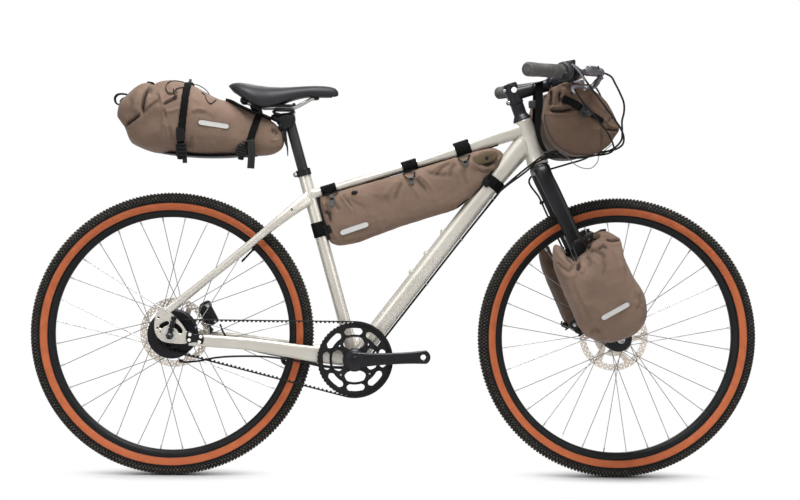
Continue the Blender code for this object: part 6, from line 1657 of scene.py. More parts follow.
def buildSaddleBag():
    grid = pouch(saddleBag)
    shellPiece("saddleBagShell", grid, saddleBag["strokes"], "seat", "bag_fabric", "saddle_bag", cloth)
    straps = Shape()

    def strapRound(x, lean):
        # one cut of the bag, leaning, with the webbing standing a little off it
        out = []
        for k in range(grid.shape[1]):
            column = grid[:, k]
            target = x + lean * (column[:, 2] - .9)
            row = np.argmin(np.abs(column[:, 0] - target))
            out.append(column[row])
        line = np.array(out)
        away = unit(line - line.mean(0)) * (0, 1, 1)
        line = lineThrough(line + away * .003, 150, closed=True)
        steps = unit(np.roll(line, -1, 0) - np.roll(line, 1, 0))
        face = unit(line - line.mean(0)) * (0, 1, 1)
        across = np.cross(steps, unit(face))
        return carried(line, ring(saddleBag["strapWide"] / 2, .001, 24, 5), across, closed=True)

    straps.grid(strapRound(-.548, .097), loop=True, ends=False)
    y = surfaceY(grid, 181, 134) - .004
    straps.block(fromView(180.8, 134, y), (.0105, .0185, .003), tilted(2), 5, paint=1)
    ladderLock(straps, fromView(182, 150, y + .004), tilted(4), .025, .033, 1)
    straps.block(fromView(181, 157.5, y + .01), (.008, .005, .0026), tilted(0), 4, paint=1)
    ribbon(straps, [fromView(184.5, 150, y + .01), fromView(185.3, 156, y + .008), fromView(185.5, 163, y + .007)],
        .0115, across=(1, 0, 0), paint=2)
    straps.build("saddleBagStrapRear", [tape, buckle, greyTape], "seat", "strap_webbing", "saddle_bag_strap_rear")

    straps = Shape()
    straps.grid(strapRound(-.366, .33), loop=True, ends=False)
    y = surfaceY(grid, 246, 148) - .0045
    ladderLock(straps, fromView(242.8, 148.5, y), tilted(-16), .025, .04, 1, 6)
    straps.block(fromView(241.5, 158, y + .004), (.0075, .005, .0026), tilted(-8), 4, paint=1)
    ribbon(straps, [fromView(247.5, 139.5, y - .002), fromView(251, 141, y - .006), fromView(252, 148, y - .007),
        fromView(252, 158, y - .006), fromView(251.3, 168.5, y - .004)], .0185, across=(1, 0, .03), paint=2)
    straps.build("saddleBagStrapFront", [tape, buckle, greyTape], "seat", "strap_webbing", "saddle_bag_strap_front")

    # the hard plates above and below, the handle loop, the bungee cord and its lock, and the clasp at the rails
    hard = Shape()
    upper = viewLine(0, 40, (227, 100.2), (232, 101.6), (240, 105.8), (251, 110.9), (262, 114.8), (272, 119.0))
    hard.carry(upper, ring(.024, .0042, 28, 4))
    low = viewLine(0, 60, (163, 153.0), (172, 154.2), (186, 155.8), (205, 157.0), (225, 157.0), (245, 155.9),
        (258, 155.8))
    wide = np.interp(np.linspace(0, 1, 60), [0, .1, .8, 1], [.02, .052, .046, .02])
    hard.carry(low, np.stack([ring(w, .0022, 32, 4) for w in wide]))
    hard.block(fromView(257.3, 106.4, 0), (.015, .034, .0125), tilted(-20)[:, [0, 2, 1]], 4)
    for level in (104.5, 108.5):
        hard.block(fromView(257.5, level, -.0345), (.013, .0018, .0022), tilted(-24), 4, paint=1)
    for side in (1, -1):
        hard.cord(lineThrough([(-.356, side * .024, .933), (-.359, side * .027, .946), (-.36, side * .022, .955)],
            12), .0052, 14)
    around = lineThrough([(-.304, 0, .901), (-.299, -.019, .906), (-.286, -.0215, .911), (-.276, -.017, .914),
        (-.27, 0, .9155), (-.276, .017, .914), (-.286, .0215, .911), (-.299, .019, .906)], 70, closed=True)
    up = np.array([-.1, 0, .995])
    tall = .0165
    rows = np.stack([around + up * (s - .5) * tall * 2 + unit((around - around.mean(0)) * (1, 1, 0)) * (b - .001)
        for s, b in ((0, -.0008), (.04, .001), (.3, .0022), (.5, .0018), (.7, .0024), (.96, .0012), (1, -.001))])
    hard.grid(rows, ends=True)
    for px, py, long, tall, angle in ((278.5, 119.2, .019, .0085, 20), (286.5, 119.4, .025, .0165, -6),
            (281.5, 126.5, .0065, .011, 20)):
        hard.block(fromView(px, py, 0), (long, .0235, tall), tilted(-angle)[:, [0, 2, 1]], 3)
    tail = viewLine(-.0165, 30, (285.5, 127), (285.2, 134), (286.5, 142), (288, 148), (288.4, 156))
    hard.carry(tail, np.stack([ring(w, .0009, 16, 4) for w in np.interp(np.linspace(0, 1, 30), [0, .4, .7, 1],
        [.0058, .0052, .0022, .0012])]), (1, 0, .1))
    loop = viewLine(0, 60, (130, 95.2), (124, 94.0), (118.5, 94.6), (115.8, 97.5), (116.2, 102), (118.2, 104.2),
        (121.0, 104.3), (121.6, 101), (124.5, 98.4), (129.5, 97.3))
    hard.carry(loop, ring(.0125, .002, 20, 4), paint=2)
    for px, py, wide, tall in ((150.8, 84.2, .0088, .0058), (153.2, 83.6, .0052, .0034)):
        hard.block(fromView(px, py, -.006), (wide, .016, tall), tilted(-24)[:, [0, 2, 1]], 3, paint=2)
    hard.build("saddleBagFittings", [softBlack, buckle, tape], "seat", "strap_webbing")

    cords = Shape()
    for line in ([(189, 84.8), (184, 82.3), (176, 80.7), (170, 81.8), (166.6, 86), (167.4, 91), (171.2, 93.6),
            (174.4, 92.2), (177, 88.6), (183, 87.2), (188.5, 86.6)], [(174.2, 88.5), (174.6, 92.8), (177, 95.8),
            (176.3, 98.4)], [(202.5, 92.6), (205.6, 95), (207.2, 99.6), (211, 103.4), (214.6, 101.6), (217.2, 98.8)]):
        cords.cord(onSurface(grid, lineThrough(line, 44), .0022), .0012, 8)
    cords.cord(viewLine(-.02, 30, (191.5, 84.2), (198, 85.0), (204, 88), (208, 91.6), (210.3, 95.3)), .0012, 8)
    knob = fromView(190.2, 83.8, -.02)
    cords.block(knob, (.0052, .005, .0058), tilted(-12), 3, paint=1)
    cords.cord(np.array([knob + (.001, 0, .004), fromView(191.3, 79.2, -.02)]), .0036, 16, paint=2)
    cords.build("saddleBagCords", [hoseBlack, buckle, greyPlastic], "seat", "strap_webbing")
    patch(grid, [(201.4, 122.3), (226.9, 126.3)], 2.85, "saddleBagPatch", "seat")


def patch(grid, ends, half, name, body):
    # a plain oval plate laid flat on the near side, with a raised rim; it carries nothing
    first, last = onSurface(grid, ends, .0006)
    run = unit(last - first)
    out = unit(np.cross(run, np.cross((0, -1, 0), run)))
    up = np.cross(out, run)
    length, radius = np.linalg.norm(last - first), half * .00252
    angle = np.linspace(0, 2 * math.pi, 60, endpoint=False)
    flat = np.stack([np.cos(angle) * radius + np.where(np.cos(angle) > 0, length / 2, -length / 2),
        np.sin(angle) * radius], 1)
    middle = (first + last) / 2
    rows = []
    for scale, lift in ((1.0, -.003), (1.0, .0008), (.97, .0013), (.9, .0014), (.84, .0009), (.5, .0009),
            (.02, .0009)):
        inset = flat.copy()
        inset[:, 1] *= scale
        inset[:, 0] = np.sign(flat[:, 0]) * np.maximum(np.abs(flat[:, 0]) - radius * (1 - scale), 0)
        rows.append(middle + inset[:, :1] * run + inset[:, 1:] * up + out * lift)
    Shape().grid(rows, paint=np.array([1, 1, 1, 1, 0, 0, 0])).build(name, [palePatch, greyPlastic], body,
        "bag_fabric")


frameBag = {"along": (.9571, .2898), "half": .03, "power": 3.6, "rows": 330, "columns": 200, "strapHalf": .02,
    "outline": [(-.2021, .7187), (-.1965, .7265), (-.1588, .7338), (-.1101, .7482), (-.065, .7614), (.0028, .7808),
    (.0479, .795), (.1235, .819), (.1461, .8266), (.1875, .8401), (.2368, .8516), (.2492, .8515), (.2687, .8412),
    (.273, .8335), (.2639, .8145), (.2486, .7955), (.23, .7726), (.213, .744), (.1926, .7228), (.1739, .7077),
    (.1516, .6922), (.0873, .6705), (.012, .6462), (-.0821, .61), (-.1008, .6031), (-.1424, .5949), (-.1612, .5973),
    (-.1725, .6033), (-.1783, .6128), (-.1844, .6503), (-.192, .6692), (-.1987, .6917)],
    "strokes": [([(330, 197), (334.5, 203), (340, 211)], 1.7, -3.6), ([(340.5, 193.5), (345, 201), (351, 209)], 1.6,
    3.4), ([(343, 194), (348, 202), (353, 208)], 1.4, -3.6), ([(348, 197), (356, 204), (367, 208)], 2.4, -2),
    ([(402.5, 182), (399, 191), (395, 202)], 2.2, -4), ([(406, 183), (404.5, 193), (404, 204)], 1.8, 2.6),
    ([(398, 180), (391, 188), (384, 197)], 2.2, 2.8), ([(416, 178), (421, 185), (427, 190.5)], 2.0, -5),
    ([(413.5, 185), (416.5, 192), (423, 199)], 1.8, 2.8), ([(419, 174), (427, 181), (433, 189)], 1.8, 3.6),
    ([(425, 171), (436, 175), (449, 176)], 2.6, -3), ([(452, 162), (443, 168), (436, 177)], 2.0, -4),
    ([(456, 163), (452, 170), (451, 179)], 2.0, -3.4), ([(448, 161), (438, 166), (429, 174)], 1.8, 3.4),
    ([(460, 166), (458, 174), (461, 183)], 1.8, 3.2), ([(465, 167), (464, 176), (468, 186)], 2.0, -2.6),
    ([(471.5, 158), (476, 163.5), (485, 167.5), (494, 165.5), (501, 160)], .9, 6.5, 5),
    ([(474, 156.5), (480, 162), (488, 164), (496, 160)], 2.4, -10), ([(480, 154), (488, 156.5), (497, 153.5)], 3.0,
    -6), ([(476, 169), (485, 172.5), (493, 169.5)], 1.5, -4), ([(499, 150), (502.5, 155), (498, 162)], 1.3, 3),
    ([(324.5, 211), (329.5, 215), (330.5, 222)], 1.7, -9), ([(322.5, 200), (325.5, 206), (326, 212)], 1.6, 3.4),
    ([(326.5, 203), (328, 210), (333, 215)], 1.5, -4), ([(332, 224), (334, 233), (341, 242)], 2.4, 2.2),
    ([(372, 196), (381, 200), (392, 201)], 3.4, -2), ([(455, 206), (462, 199), (470, 194)], 2.2, 2.2),
    ([(345, 241), (370, 235), (400, 225)], 2.6, 1.4), ([(430, 205), (446, 198), (458, 188)], 3.6, -1.6),
    ([(350, 222), (372, 214), (396, 209)], 4, 1.2), ([(408, 214), (426, 206), (444, 201)], 4, 1.2)]}


def buildFrameBag():
    grid = pouch(frameBag)
    shellPiece("frameBagShell", grid, frameBag["strokes"], "frame", "bag_fabric", "frame_bag", cloth, .0009, 5)
    fit = Shape()
    # three wire hooks with grey tabs, below the tube's straps: the wire's corners, then the tab's ends, in the view
    for wire, tab in (([(326, 194.5), (329, 196.3), (336.6, 193.8), (338.5, 191.5)], [(332.6, 195.6), (332.4, 207)]),
            ([(403.6, 173.6), (408.4, 178.6), (414.2, 176.8), (415.6, 171.6)], [(411.6, 177), (412.4, 184.5)]),
            ([(458.4, 157.6), (462.6, 161.4), (468, 159.8), (470.4, 154.4)], [(465.6, 160), (466.6, 166)])):
        line = onSurface(grid, lineThrough(wire, 24), .0032)
        fit.cord(line, .0015, 8, paint=1)
        fit.cord(onSurface(grid, lineThrough([wire[0], wire[-1]], 8), .004), .0012, 8, paint=1)
        ends = onSurface(grid, tab, .0034)
        middle, reach = ends.mean(0), np.linalg.norm(ends[1] - ends[0]) / 2
        turn = tilted(math.degrees(math.atan2(*(ends[0] - ends[1])[[2, 0]])) - 90)
        fit.block(middle, (.0068, reach, .002), turn, 4, paint=2)
        fit.block(middle - (0, .0022, 0) + turn[:, 1] * reach * .45, (.0052, .003, .0014), turn, 4, paint=1)
    # a vent button, a round port at the front corner, and the black patch by the down tube's strap
    vent = fromView(355, 192.6, surfaceY(grid, 355, 192.6) - .001)
    fit.block(vent, (.008, .0054, .003), tilted(12), 2.6, paint=1)
    port = fromView(486.5, 157.6, surfaceY(grid, 486.5, 158.2) + .001)
    fit.block(port, (.0315, .015, .0028), tilted(15), 2.3)
    for radius, lift in ((.01, .003), (.0045, .004)):
        fit.grid(turned([(radius, 0), (radius, .0012), (radius - .0012, .0018), (radius - .0024, .0012)],
            port + (.002, -lift, -.002), (0, -1, 0), 28), paint=1 if radius < .006 else 0)
    fit.block(fromView(486, 182, -.022), (.01, .0135, .003), tilted(50), 5, paint=1)
    laidRibbon(fit, grid, [(322.5, 231.8), (326.5, 230.4), (331, 228.6)], (.031, .027, .02), .003, .004, 1)
    # black strips, painted shade, that fill the dark gaps to the top tube, the seat tube and the down tube
    under = lineThrough([point.mean(0) - (0, 0, np.ptp(point[:, 2]) / 2 + .0012) for point in topSkin[3:42]], 60)
    fit.carry(under, ring(.009, .0026, 20, 4), paint=1)
    fit.carry(np.array([onSeat(d, 0, -.019) for d in np.linspace(.312, .425, 24)]), ring(.012, .006, 20, 3), paint=1)
    downTubeGapShade = viewLine(-.012, 40, (457.5, 208), (464, 201.5), (471.5, 194.5), (478.5, 188), (484, 181.5), (489, 175),
        (493, 169.5))
    fit.carry(downTubeGapShade, np.stack([ring(.01, r, 20, 3) for r in eased(np.linspace(0, 1, 40), [0, .3, .6, 1],
        [.002, .0056, .007, .004])]), paint=1)
    fit.build("frameBagFittings", [clothShade, buckle, greyPlastic], "frame", "bag_fabric")
    patch(grid, [(343.5, 232.4), (366.5, 224.6)], 3.1, "frameBagPatch", "frame")

    for word, x in (("rear", -.178), ("middle", .029), ("front", .166)):
        share = (x - topStart[0]) / (topEnd - topStart)[0]
        row, part = divmod(share * (len(topSkin) - 1), 1)
        row = int(row)
        turnAlong = unit(topSkin[row + 1].mean(0) - topSkin[row - 1].mean(0))
        skin = topSkin[row] * (1 - part) + topSkin[row + 1] * part
        middle = skin.mean(0)
        around = lineThrough(skin + unit(skin - middle) * .0034, 90, closed=True)
        rows = []
        for s, lift in ((-1, -.0006), (-.97, .0007), (-.8, .0011), (-.55, .0008), (0, .0009), (.55, .0008),
                (.8, .0011), (.97, .0007), (1, -.0006)):
            rows.append(around + turnAlong * frameBag["strapHalf"] * s + unit(around - middle) * lift)
        band = Shape().grid(rows, ends=False, loop=True)
        lower = middle - np.array([0, 0, 1]) * (np.ptp(skin[:, 2]) / 2 + .002)
        band.block(lower + (0, -.012, 0), (.015, .006, .0024), np.stack([turnAlong, (0, 1, 0), np.cross(turnAlong,
            (0, 1, 0))], 1), 4, paint=1)
        band.block(middle + (0, -.0195, .0015), (.0105, .0014, .0085), np.stack([turnAlong, (0, 1, 0),
            np.cross(turnAlong, (0, 1, 0))], 1), 5)
        band.build("topTubeStrap" + word.title(), [tape, buckle], "frame", "strap_webbing", "top_tube_strap_" + word,
            sharp=50)
    for name, node, axis, middle, half, power, wide in (("seatTubeStrap", "seat_tube_strap", seatUp, onSeat(.345),
            (.0159, .0159), 2.0, .0195), ("downTubeStrap", "down_tube_strap", downAlong, None, (.0275, .0228), 2.2,
            .0145)):
        if middle is None:
            middle = onDown((.245 - tube["downStart"][0]) / downAlong[0], 0, -.0005)
        side = np.cross(axis, (0, 1, 0))
        flat = ring(half[1] + .0012, half[0] + .0012, 90, power)
        around = middle + flat[:, :1] * np.array([0, 1, 0]) + flat[:, 1:] * side
        out = unit(around - middle)
        rows = [around + axis * wide * s + out * lift for s, lift in ((-1, -.0006), (-.97, .0007), (-.8, .0012),
            (-.5, .0008), (0, .001), (.5, .0008), (.8, .0012), (.97, .0007), (1, -.0006))]
        band = Shape().grid(rows, ends=False, loop=True)
        band.block(middle + (0, -half[1] - .0016, 0), (.0095, .0022, wide * .8), np.stack([side, (0, 1, 0), axis], 1),
            5)
        band.build(name, [tape, buckle], "frame", "strap_webbing", node, sharp=50)
    print("saddle bag and frame bag built")


buildSaddleBag()
buildFrameBag()


# Handlebar bag: a roll across the bicycle with full end faces
barBag = {"middle": (.449, .912), "half": .175, "outline": [(.3681, .993), (.383, .9995), (.3979, 1.0064),
    (.4178, 1.0092), (.4428, 1.0078), (.468, .9995), (.4856, .9861), (.5034, .9715), (.5161, .9568), (.5263, .9395),
    (.5354, .9197), (.5445, .8938), (.5347, .8762), (.52, .8549), (.5051, .8422), (.4902, .8346), (.4703, .8298),
    (.4453, .8285), (.4252, .8312), (.4076, .8384), (.39, .8506), (.3748, .8678), (.3633, .8875), (.3568, .9072),
    (.3548, .9246), (.3575, .947), (.3622, .9719)], "strokes": [([(551.8, 90), (552, 98), (551, 107)], 1.2, -13),
    ([(556, 87), (555.5, 96), (555, 106)], 1.7, 5), ([(561, 91.5), (560, 97), (560.8, 103)], 1.2, -12),
    ([(564, 87), (566, 92), (564, 98)], 1.8, 3.5), ([(550, 110.6), (558, 111.4), (566, 110.6), (574, 108.4)], 1.5,
    -18), ([(551.5, 107.4), (561, 106.4), (570, 104.6)], 1.1, 6), ([(549, 113.8), (560, 114.8), (572, 112.6),
    (582, 110)], 1.2, 4), ([(570, 84), (573, 90), (572.5, 96)], 1.7, -7), ([(576, 84), (575.5, 91), (578, 98)], 2.0,
    3), ([(562, 85), (568, 87.5), (570.5, 92)], 1.8, -5), ([(601.3, 126), (602, 138), (602, 150)], 1.0, 5, 6),
    ([(606, 129.6), (613, 130.3), (620, 130.2)], .9, -8), ([(604, 118), (611, 126), (619, 129)], 1.8, 3),
    ([(606, 132), (610, 138), (608, 146)], 2.6, 2.4), ([(578, 97), (588, 108), (598, 118)], 1.6, -2),
    ([(588, 90), (597, 101), (608, 113)], 2.2, 2.4), ([(560, 122), (556, 133), (561, 143)], 5.0, 1.8),
    ([(585, 122), (588, 134), (584, 146)], 5.0, 1.4), ([(613, 117), (609, 124), (611, 130)], 1.5, -3.5),
    ([(575, 100), (577, 106), (573, 109)], 1.8, -5)]}


def buildBarBag():
    size = barBag
    middle = np.array(size["middle"])
    outline = lineThrough(size["outline"], 300, closed=True)
    # the roll's length in steps, then each end: a turned edge, and the face drawn in to its middle
    edge = [(.965, .9975), (.985, .999), (1.0, .995), (1.005, .975)]
    face = [(1.004, s) for s in np.linspace(.955, .02, 46)]
    rows = []
    bodyRows = [(t, 1.0 - .01 * math.exp(-((abs(t) - .955) / .01) ** 2)) for t in np.linspace(-.96, .96, 111)]
    every = [(-t, s) for t, s in face[::-1]] + [(-t, s) for t, s in edge[::-1]] + bodyRows + edge + face
    for t, s in every:
        y = t * size["half"]
        points = middle + (outline - middle) * s
        near = abs(t)
        # the top dips under the bar and the stem, and the back is drawn in where the head tube is
        limit = np.interp(abs(y), [0, .05, .062, .096, .11, .175], [.068, .068, .086, .088, .103, .103]) + middle[1]
        points[:, 1] = np.where(points[:, 1] > limit, limit + (points[:, 1] - limit) * .12, points[:, 1])
        clear = headBase[0] + (points[:, 1] - headBase[2]) * headUp[0] / headUp[2]
        back = clear + .033
        hold = np.clip(1 - (abs(y) - .03) / .03, 0, 1)
        wanted = np.maximum(points[:, 0], back)
        points[:, 0] = points[:, 0] + (wanted - points[:, 0]) * hold * (points[:, 0] < middle[0])
        points = middle + (points - middle) * (1 - .02 * math.sin(math.pi * 5 * t) * (near < .9) * .35)
        points[:, 0] += (middle[0] - points[:, 0]) * .13 * (1 - min(near, 1) ** 8) * (points[:, 0] < middle[0])
        dome = .0075 * (1 - s ** 2) if near > 1.0 else 0.0
        rows.append(np.stack([points[:, 0], np.full(len(points), y + math.copysign(dome, t)), points[:, 1]], 1))
    grid = np.array(rows)
    # the roll takes the darker cloth, painted shade for the levers' shadow
    shellPiece("barBagShell", grid, size["strokes"], "steering", "bag_fabric", "handlebar_bag", clothBarShaded, .001, 11)

    fit = Shape()
    for side in (1, -1):  # the seam round the lower side of each end face
        path = middle + (outline - middle) * .985
        low = path[(path[:, 1] < .93) & (path[:, 0] < .502)]
        low = low[np.argsort(np.arctan2(low[:, 0] - .47, .93 - low[:, 1]))]
        line = np.stack([low[:, 0], np.full(len(low), side * (size["half"] * 1.004 + .0012)), low[:, 1]], 1)
        fit.carry(lineThrough(line, 90), ring(.0019, .0016, 8), (0, 1, 0))
    laidRibbon(fit, grid, [(563.2, 98.6), (567, 99.8), (574, 103.4), (582.5, 108.4)], .0185, .003, .004, 1)
    laidRibbon(fit, grid, [(589.5, 112.8), (596, 116.6), (605.5, 122.4)], (.0125, .015, .011), .0026, .0036, 1)
    laidRibbon(fit, grid, [(563.5, 97.6), (565.5, 100.5), (565, 103.4)], .011, .004, .006, 1)
    y = surfaceY(grid, 586, 111.5) - .006
    ladderLock(fit, fromView(585.2, 111.4, y), tilted(-32), .017, .029, 2, 3)
    fit.block(fromView(589.5, 113.4, y - .002), (.0085, .006, .004), tilted(-40), 3, paint=2)
    fit.build("barBagFittings", [clothSeam, tape, darkPlastic], "steering", "strap_webbing")

    straps = Shape()
    down = [fromView(px, py, -.03) for px, py in ((539.4, 82.6), (539.8, 90), (539.8, 100), (539.4, 110),
        (538.8, 120), (538.4, 130), (540.4, 140), (543.8, 148), (547.5, 153.5))]
    top = [fromView(px, py, -.03) for px, py in ((533.2, 86.2), (534.0, 84.2), (537, 83.2), (542.6, 82.2),
        (543.4, 84.5))]
    for side in (1, -1):  # over the stem, down past the head tube's front, and under the roll
        ribbon(straps, [point * (1, side, 1) for point in down], (.0195, .019, .0165, .011, .01), .0022, (1, 0, 0),
            count=60)
        straps.carry(lineThrough([point * (1, side, 1) for point in top], 30), ring(.01, .0016, 20, 5))
    box = fromView(533, 104.5, -.0215)
    straps.block(box, (.01, .0105, .006), tilted(4), 5, paint=1)
    straps.build("barBagStraps", [tape, darkPlastic], "steering", "strap_webbing")
    print("handlebar bag built")


# Fork bags: rolled dry bags held to each leg
forkBag = {"along": (1, 0), "half": .0585, "power": 2.7, "rows": 250, "columns": 260, "away": .1355,
    "outline": [(.3879, .5992), (.3928, .6047), (.4054, .6019), (.414, .596), (.4208, .5796), (.4334, .5697),
    (.4461, .5624), (.4545, .5754), (.4694, .5886), (.4743, .5977), (.479, .6101), (.484, .6226), (.49, .6315),
    (.4968, .64), (.5078, .644), (.5306, .6373), (.55, .6262), (.5552, .6228), (.5566, .619), (.5588, .6086),
    (.5631, .5812), (.5745, .5563), (.5926, .5214), (.6132, .4915), (.6221, .4641), (.6255, .444), (.6218, .4164),
    (.607, .3922), (.5821, .3744), (.552, .3631), (.5269, .3589), (.5016, .3627), (.4723, .3764), (.4559, .3973),
    (.4429, .4272), (.4222, .4721), (.4041, .5144), (.3911, .5468), (.3862, .5717)],
    "strokes": [([(561, 247), (566, 252), (569, 259), (575, 264)], 1.6, -6), ([(557, 249), (560, 256), (566, 262),
    (573, 267)], 2.0, 5), ([(557, 262), (563, 268), (572, 272)], 1.8, -5), ([(562, 273), (570, 277), (577, 276)], 2.0,
    3.5), ([(578.3, 262), (579, 266), (578.6, 271)], 1.2, -12), ([(575, 264), (573.5, 268), (570, 271)], 1.5, -4),
    ([(582, 262), (584, 268), (582, 274)], 1.8, 4), ([(586, 256), (590, 261), (589, 268)], 1.8, -4),
    ([(588, 252), (595, 250.5), (603, 254), (606, 259)], 2.0, -6), ([(598, 250), (604, 246), (608, 249)], 1.6, -7),
    ([(592, 258), (598, 264), (598, 272)], 1.8, 4), ([(603, 258), (606, 267), (603, 276)], 2.0, -3.5),
    ([(606, 239.5), (613, 241), (622, 239.4)], 1.0, -8), ([(601, 234), (609, 236), (618, 238)], 1.6, 4),
    ([(607, 243), (614, 245), (622, 243)], 1.4, 3), ([(612, 250), (617, 262), (620, 276)], 2.6, -1.8),
    ([(566, 282), (574, 300), (586, 326)], 2.0, 2.8), ([(571, 280), (580, 300), (592, 322)], 2.2, -2.2),
    ([(590, 333), (596, 329.5), (601, 333)], 2.0, -4), ([(600, 336), (606, 331), (604, 325)], 2.0, 2.4),
    ([(622, 262), (630, 281), (637, 296)], 2.0, 2.4), ([(640, 293), (642, 303), (637, 311)], 2.0, -3),
    ([(634, 288), (633, 298), (636, 306)], 2.0, 1.8), ([(630, 300), (636, 306), (644, 306)], 1.8, 2),
    ([(585, 283), (600, 280), (618, 284)], 5, 1.2), ([(588, 300), (598, 296), (612, 300)], 5, -1)]}


def buildForkBag(word, side):
    away = side * forkBag["away"]
    grid = pouch(forkBag, away)
    # the rolled top is narrower: a flattened roll that the bag's mouth is folded into
    start, heading = np.array([.47, .64]), unit((.372, -.928))
    down = (grid[..., [0, 2]] - start) @ heading
    squeeze = np.interp(down, [-.01, .03, .075, .11], [.46, .6, .9, 1.0])
    grid[..., 1] = away + (grid[..., 1] - away) * squeeze
    # the far bag takes the darker cloth, painted shade for its place behind the wheel
    shellPiece(word + "ForkBagShell", grid, forkBag["strokes"], "steering", "bag_fabric", "fork_bag_" + word,
        cloth if side < 0 else clothFarShaded, .0011, 21 if side < 0 else 22)
    fit = Shape()
    near = -1.0 if side < 0 else 1.0
    flip = np.array([1, -near, 1])

    def put(points):
        return np.asarray(points) * flip

    # the closure's folded strap with its buckle, the loop behind it, the foot hook, and the block on the leg
    fit.carry(put(viewLine(-.134, 24, (584, 238.5), (590, 234.5), (597, 233), (602, 230.2), (606, 229.8))),
        ring(.013, .0024, 20, 4), paint=1)
    fit.block(fromView(589, 235.5, -.15) * flip, (.0125, .005, .011), tilted(28), 4, paint=1)
    fit.block(fromView(597, 235.5, -.156) * flip, (.009, .006, .005), tilted(12), 4)
    loop = viewLine(-.148, 40, (587.5, 243), (592, 240.2), (598, 239.5), (603.5, 242), (604.5, 247), (600, 245.6),
        (594, 244.6), (588.6, 248))
    fit.carry(put(loop), ring(.01, .0013, 16, 4), paint=2)
    foot = fromView(579, 331, -.12) * flip
    fit.block(foot, (.0085, .007, .01), tilted(-30), 4, paint=1)
    fit.cord(put(viewLine(-.126, 20, (576.5, 327), (575.6, 330), (577, 332.5), (580, 332.5), (582, 329.4))), .002, 10,
        paint=1)
    fit.carry(put(viewLine(-.118, 24, (579, 336), (585, 333), (592, 338), (603, 341.5))), ring(.0085, .0012, 16, 4),
        paint=2)
    turn = np.stack([unit([-legRun[2], 0, legRun[0]]), np.cross(legRun, unit([-legRun[2], 0, legRun[0]])), legRun], 1)
    spot = (onLeg(.5) + (0, .0125, 0)) * (1, near, 1)
    fit.block(spot, (.0175, .0075, .03), turn, 4, paint=1)
    for share in (.47, .62):
        tall = float(np.interp(share, [.3, .62], [.0205, .0176]))
        flat = ring(tall + .001, .0128, 60, 2.6)
        line = (onLeg(share) + flat[:, :1] * turn[:, 0] + flat[:, 1:] * np.array([0, 1, 0])) * (1, near, 1)
        across = np.broadcast_to(legRun * (1, near, 1), line.shape)
        fit.carry(line, ring(.01, .0011, 16, 5), across, closed=True, paint=2)
    fit.block((onLeg(.56) + (0, .0215, 0)) * (1, near, 1), (.0155, .0115, .073), turn, 5, paint=1)
    fit.build(word + "ForkBagFittings", [clothShade, softBlack, tape], "steering", "strap_webbing")
    if side < 0:
        patch(grid, [(604.6, 317.6), (627.6, 304.8)], 2.9, "forkBagPatch", "steering")


buildBarBag()
buildForkBag("right", -1)
buildForkBag("left", 1)
print("fork bags built")


# Hoses and cables
def viewed(points):  # a route given as the view's place of each point and its depth
    return [fromView(*point) for point in points]


hoses = {"rear": viewed([(602, 72.9, -.1395), (606, 73.6, -.14), (612, 77, -.141), (616, 84, -.14),
    (620.5, 93, -.136), (624.4, 103, -.131), (624.6, 112, -.128), (622.6, 121, -.124), (622.8, 131, -.116),
    (622, 140, -.106), (615, 148, -.092), (604, 152.8, -.078), (590, 156.6, -.066), (574, 158.2, -.056),
    (559, 157.5, -.048), (546, 158.5, -.042), (536, 163.5, -.037), (526, 172, -.03)]),
    "gear": viewed([(580.5, 70.5, -.234), (585, 78.5, -.228), (591, 87, -.22), (600, 99, -.212), (609, 111, -.205),
    (616, 120.5, -.2), (621.5, 129, -.192), (624.3, 137, -.18), (623.8, 143.2, -.17), (620, 147.4, -.155),
    (613, 150.3, -.135), (603, 151.9, -.112), (592, 153.5, -.095), (578, 155.8, -.078), (565, 155.6, -.062),
    (552, 154.8, -.05), (542, 157.2, -.042), (533, 163.5, -.037)]), "twin": viewed([(571.5, 66.5, -.233),
    (572.4, 76, -.229), (573.5, 84, -.22), (577.5, 93, -.215), (585, 104, -.208), (592, 112, -.205),
    (600, 122.5, -.201), (606, 129.5, -.198), (610.5, 137, -.195), (613.8, 144.5, -.188), (614.2, 149.6, -.178),
    (610, 153, -.16), (602, 154.9, -.14), (590, 155.6, -.11), (576, 156.6, -.085), (563, 156.2, -.062),
    (551, 156.5, -.05), (541, 158.8, -.042)]), "front": [(.5205, .14, 1.031), (.533, .142, 1.026), (.548, .134, .998),
    (.558, .124, .952), (.556, .112, .904), (.542, .095, .862), (.502, .078, .833), (.448, .068, .815),
    (.399, .066, .8), (.362, .0655, .788), (.348, .06, .768)], "radius": .0025}


def underDown(distance, y):  # just below the down tube, deeper where the tube is taller
    return onDown(distance, y, -np.interp(distance, [.45, .67, .73], [.0274, .032, .0385]))


def roundShell(angle, y, out=0.0):  # a place on the bracket shell's outside
    turn = math.radians(angle)
    return bracket + (math.cos(turn) * (.0268 + out), y, math.sin(turn) * (.0268 + out))


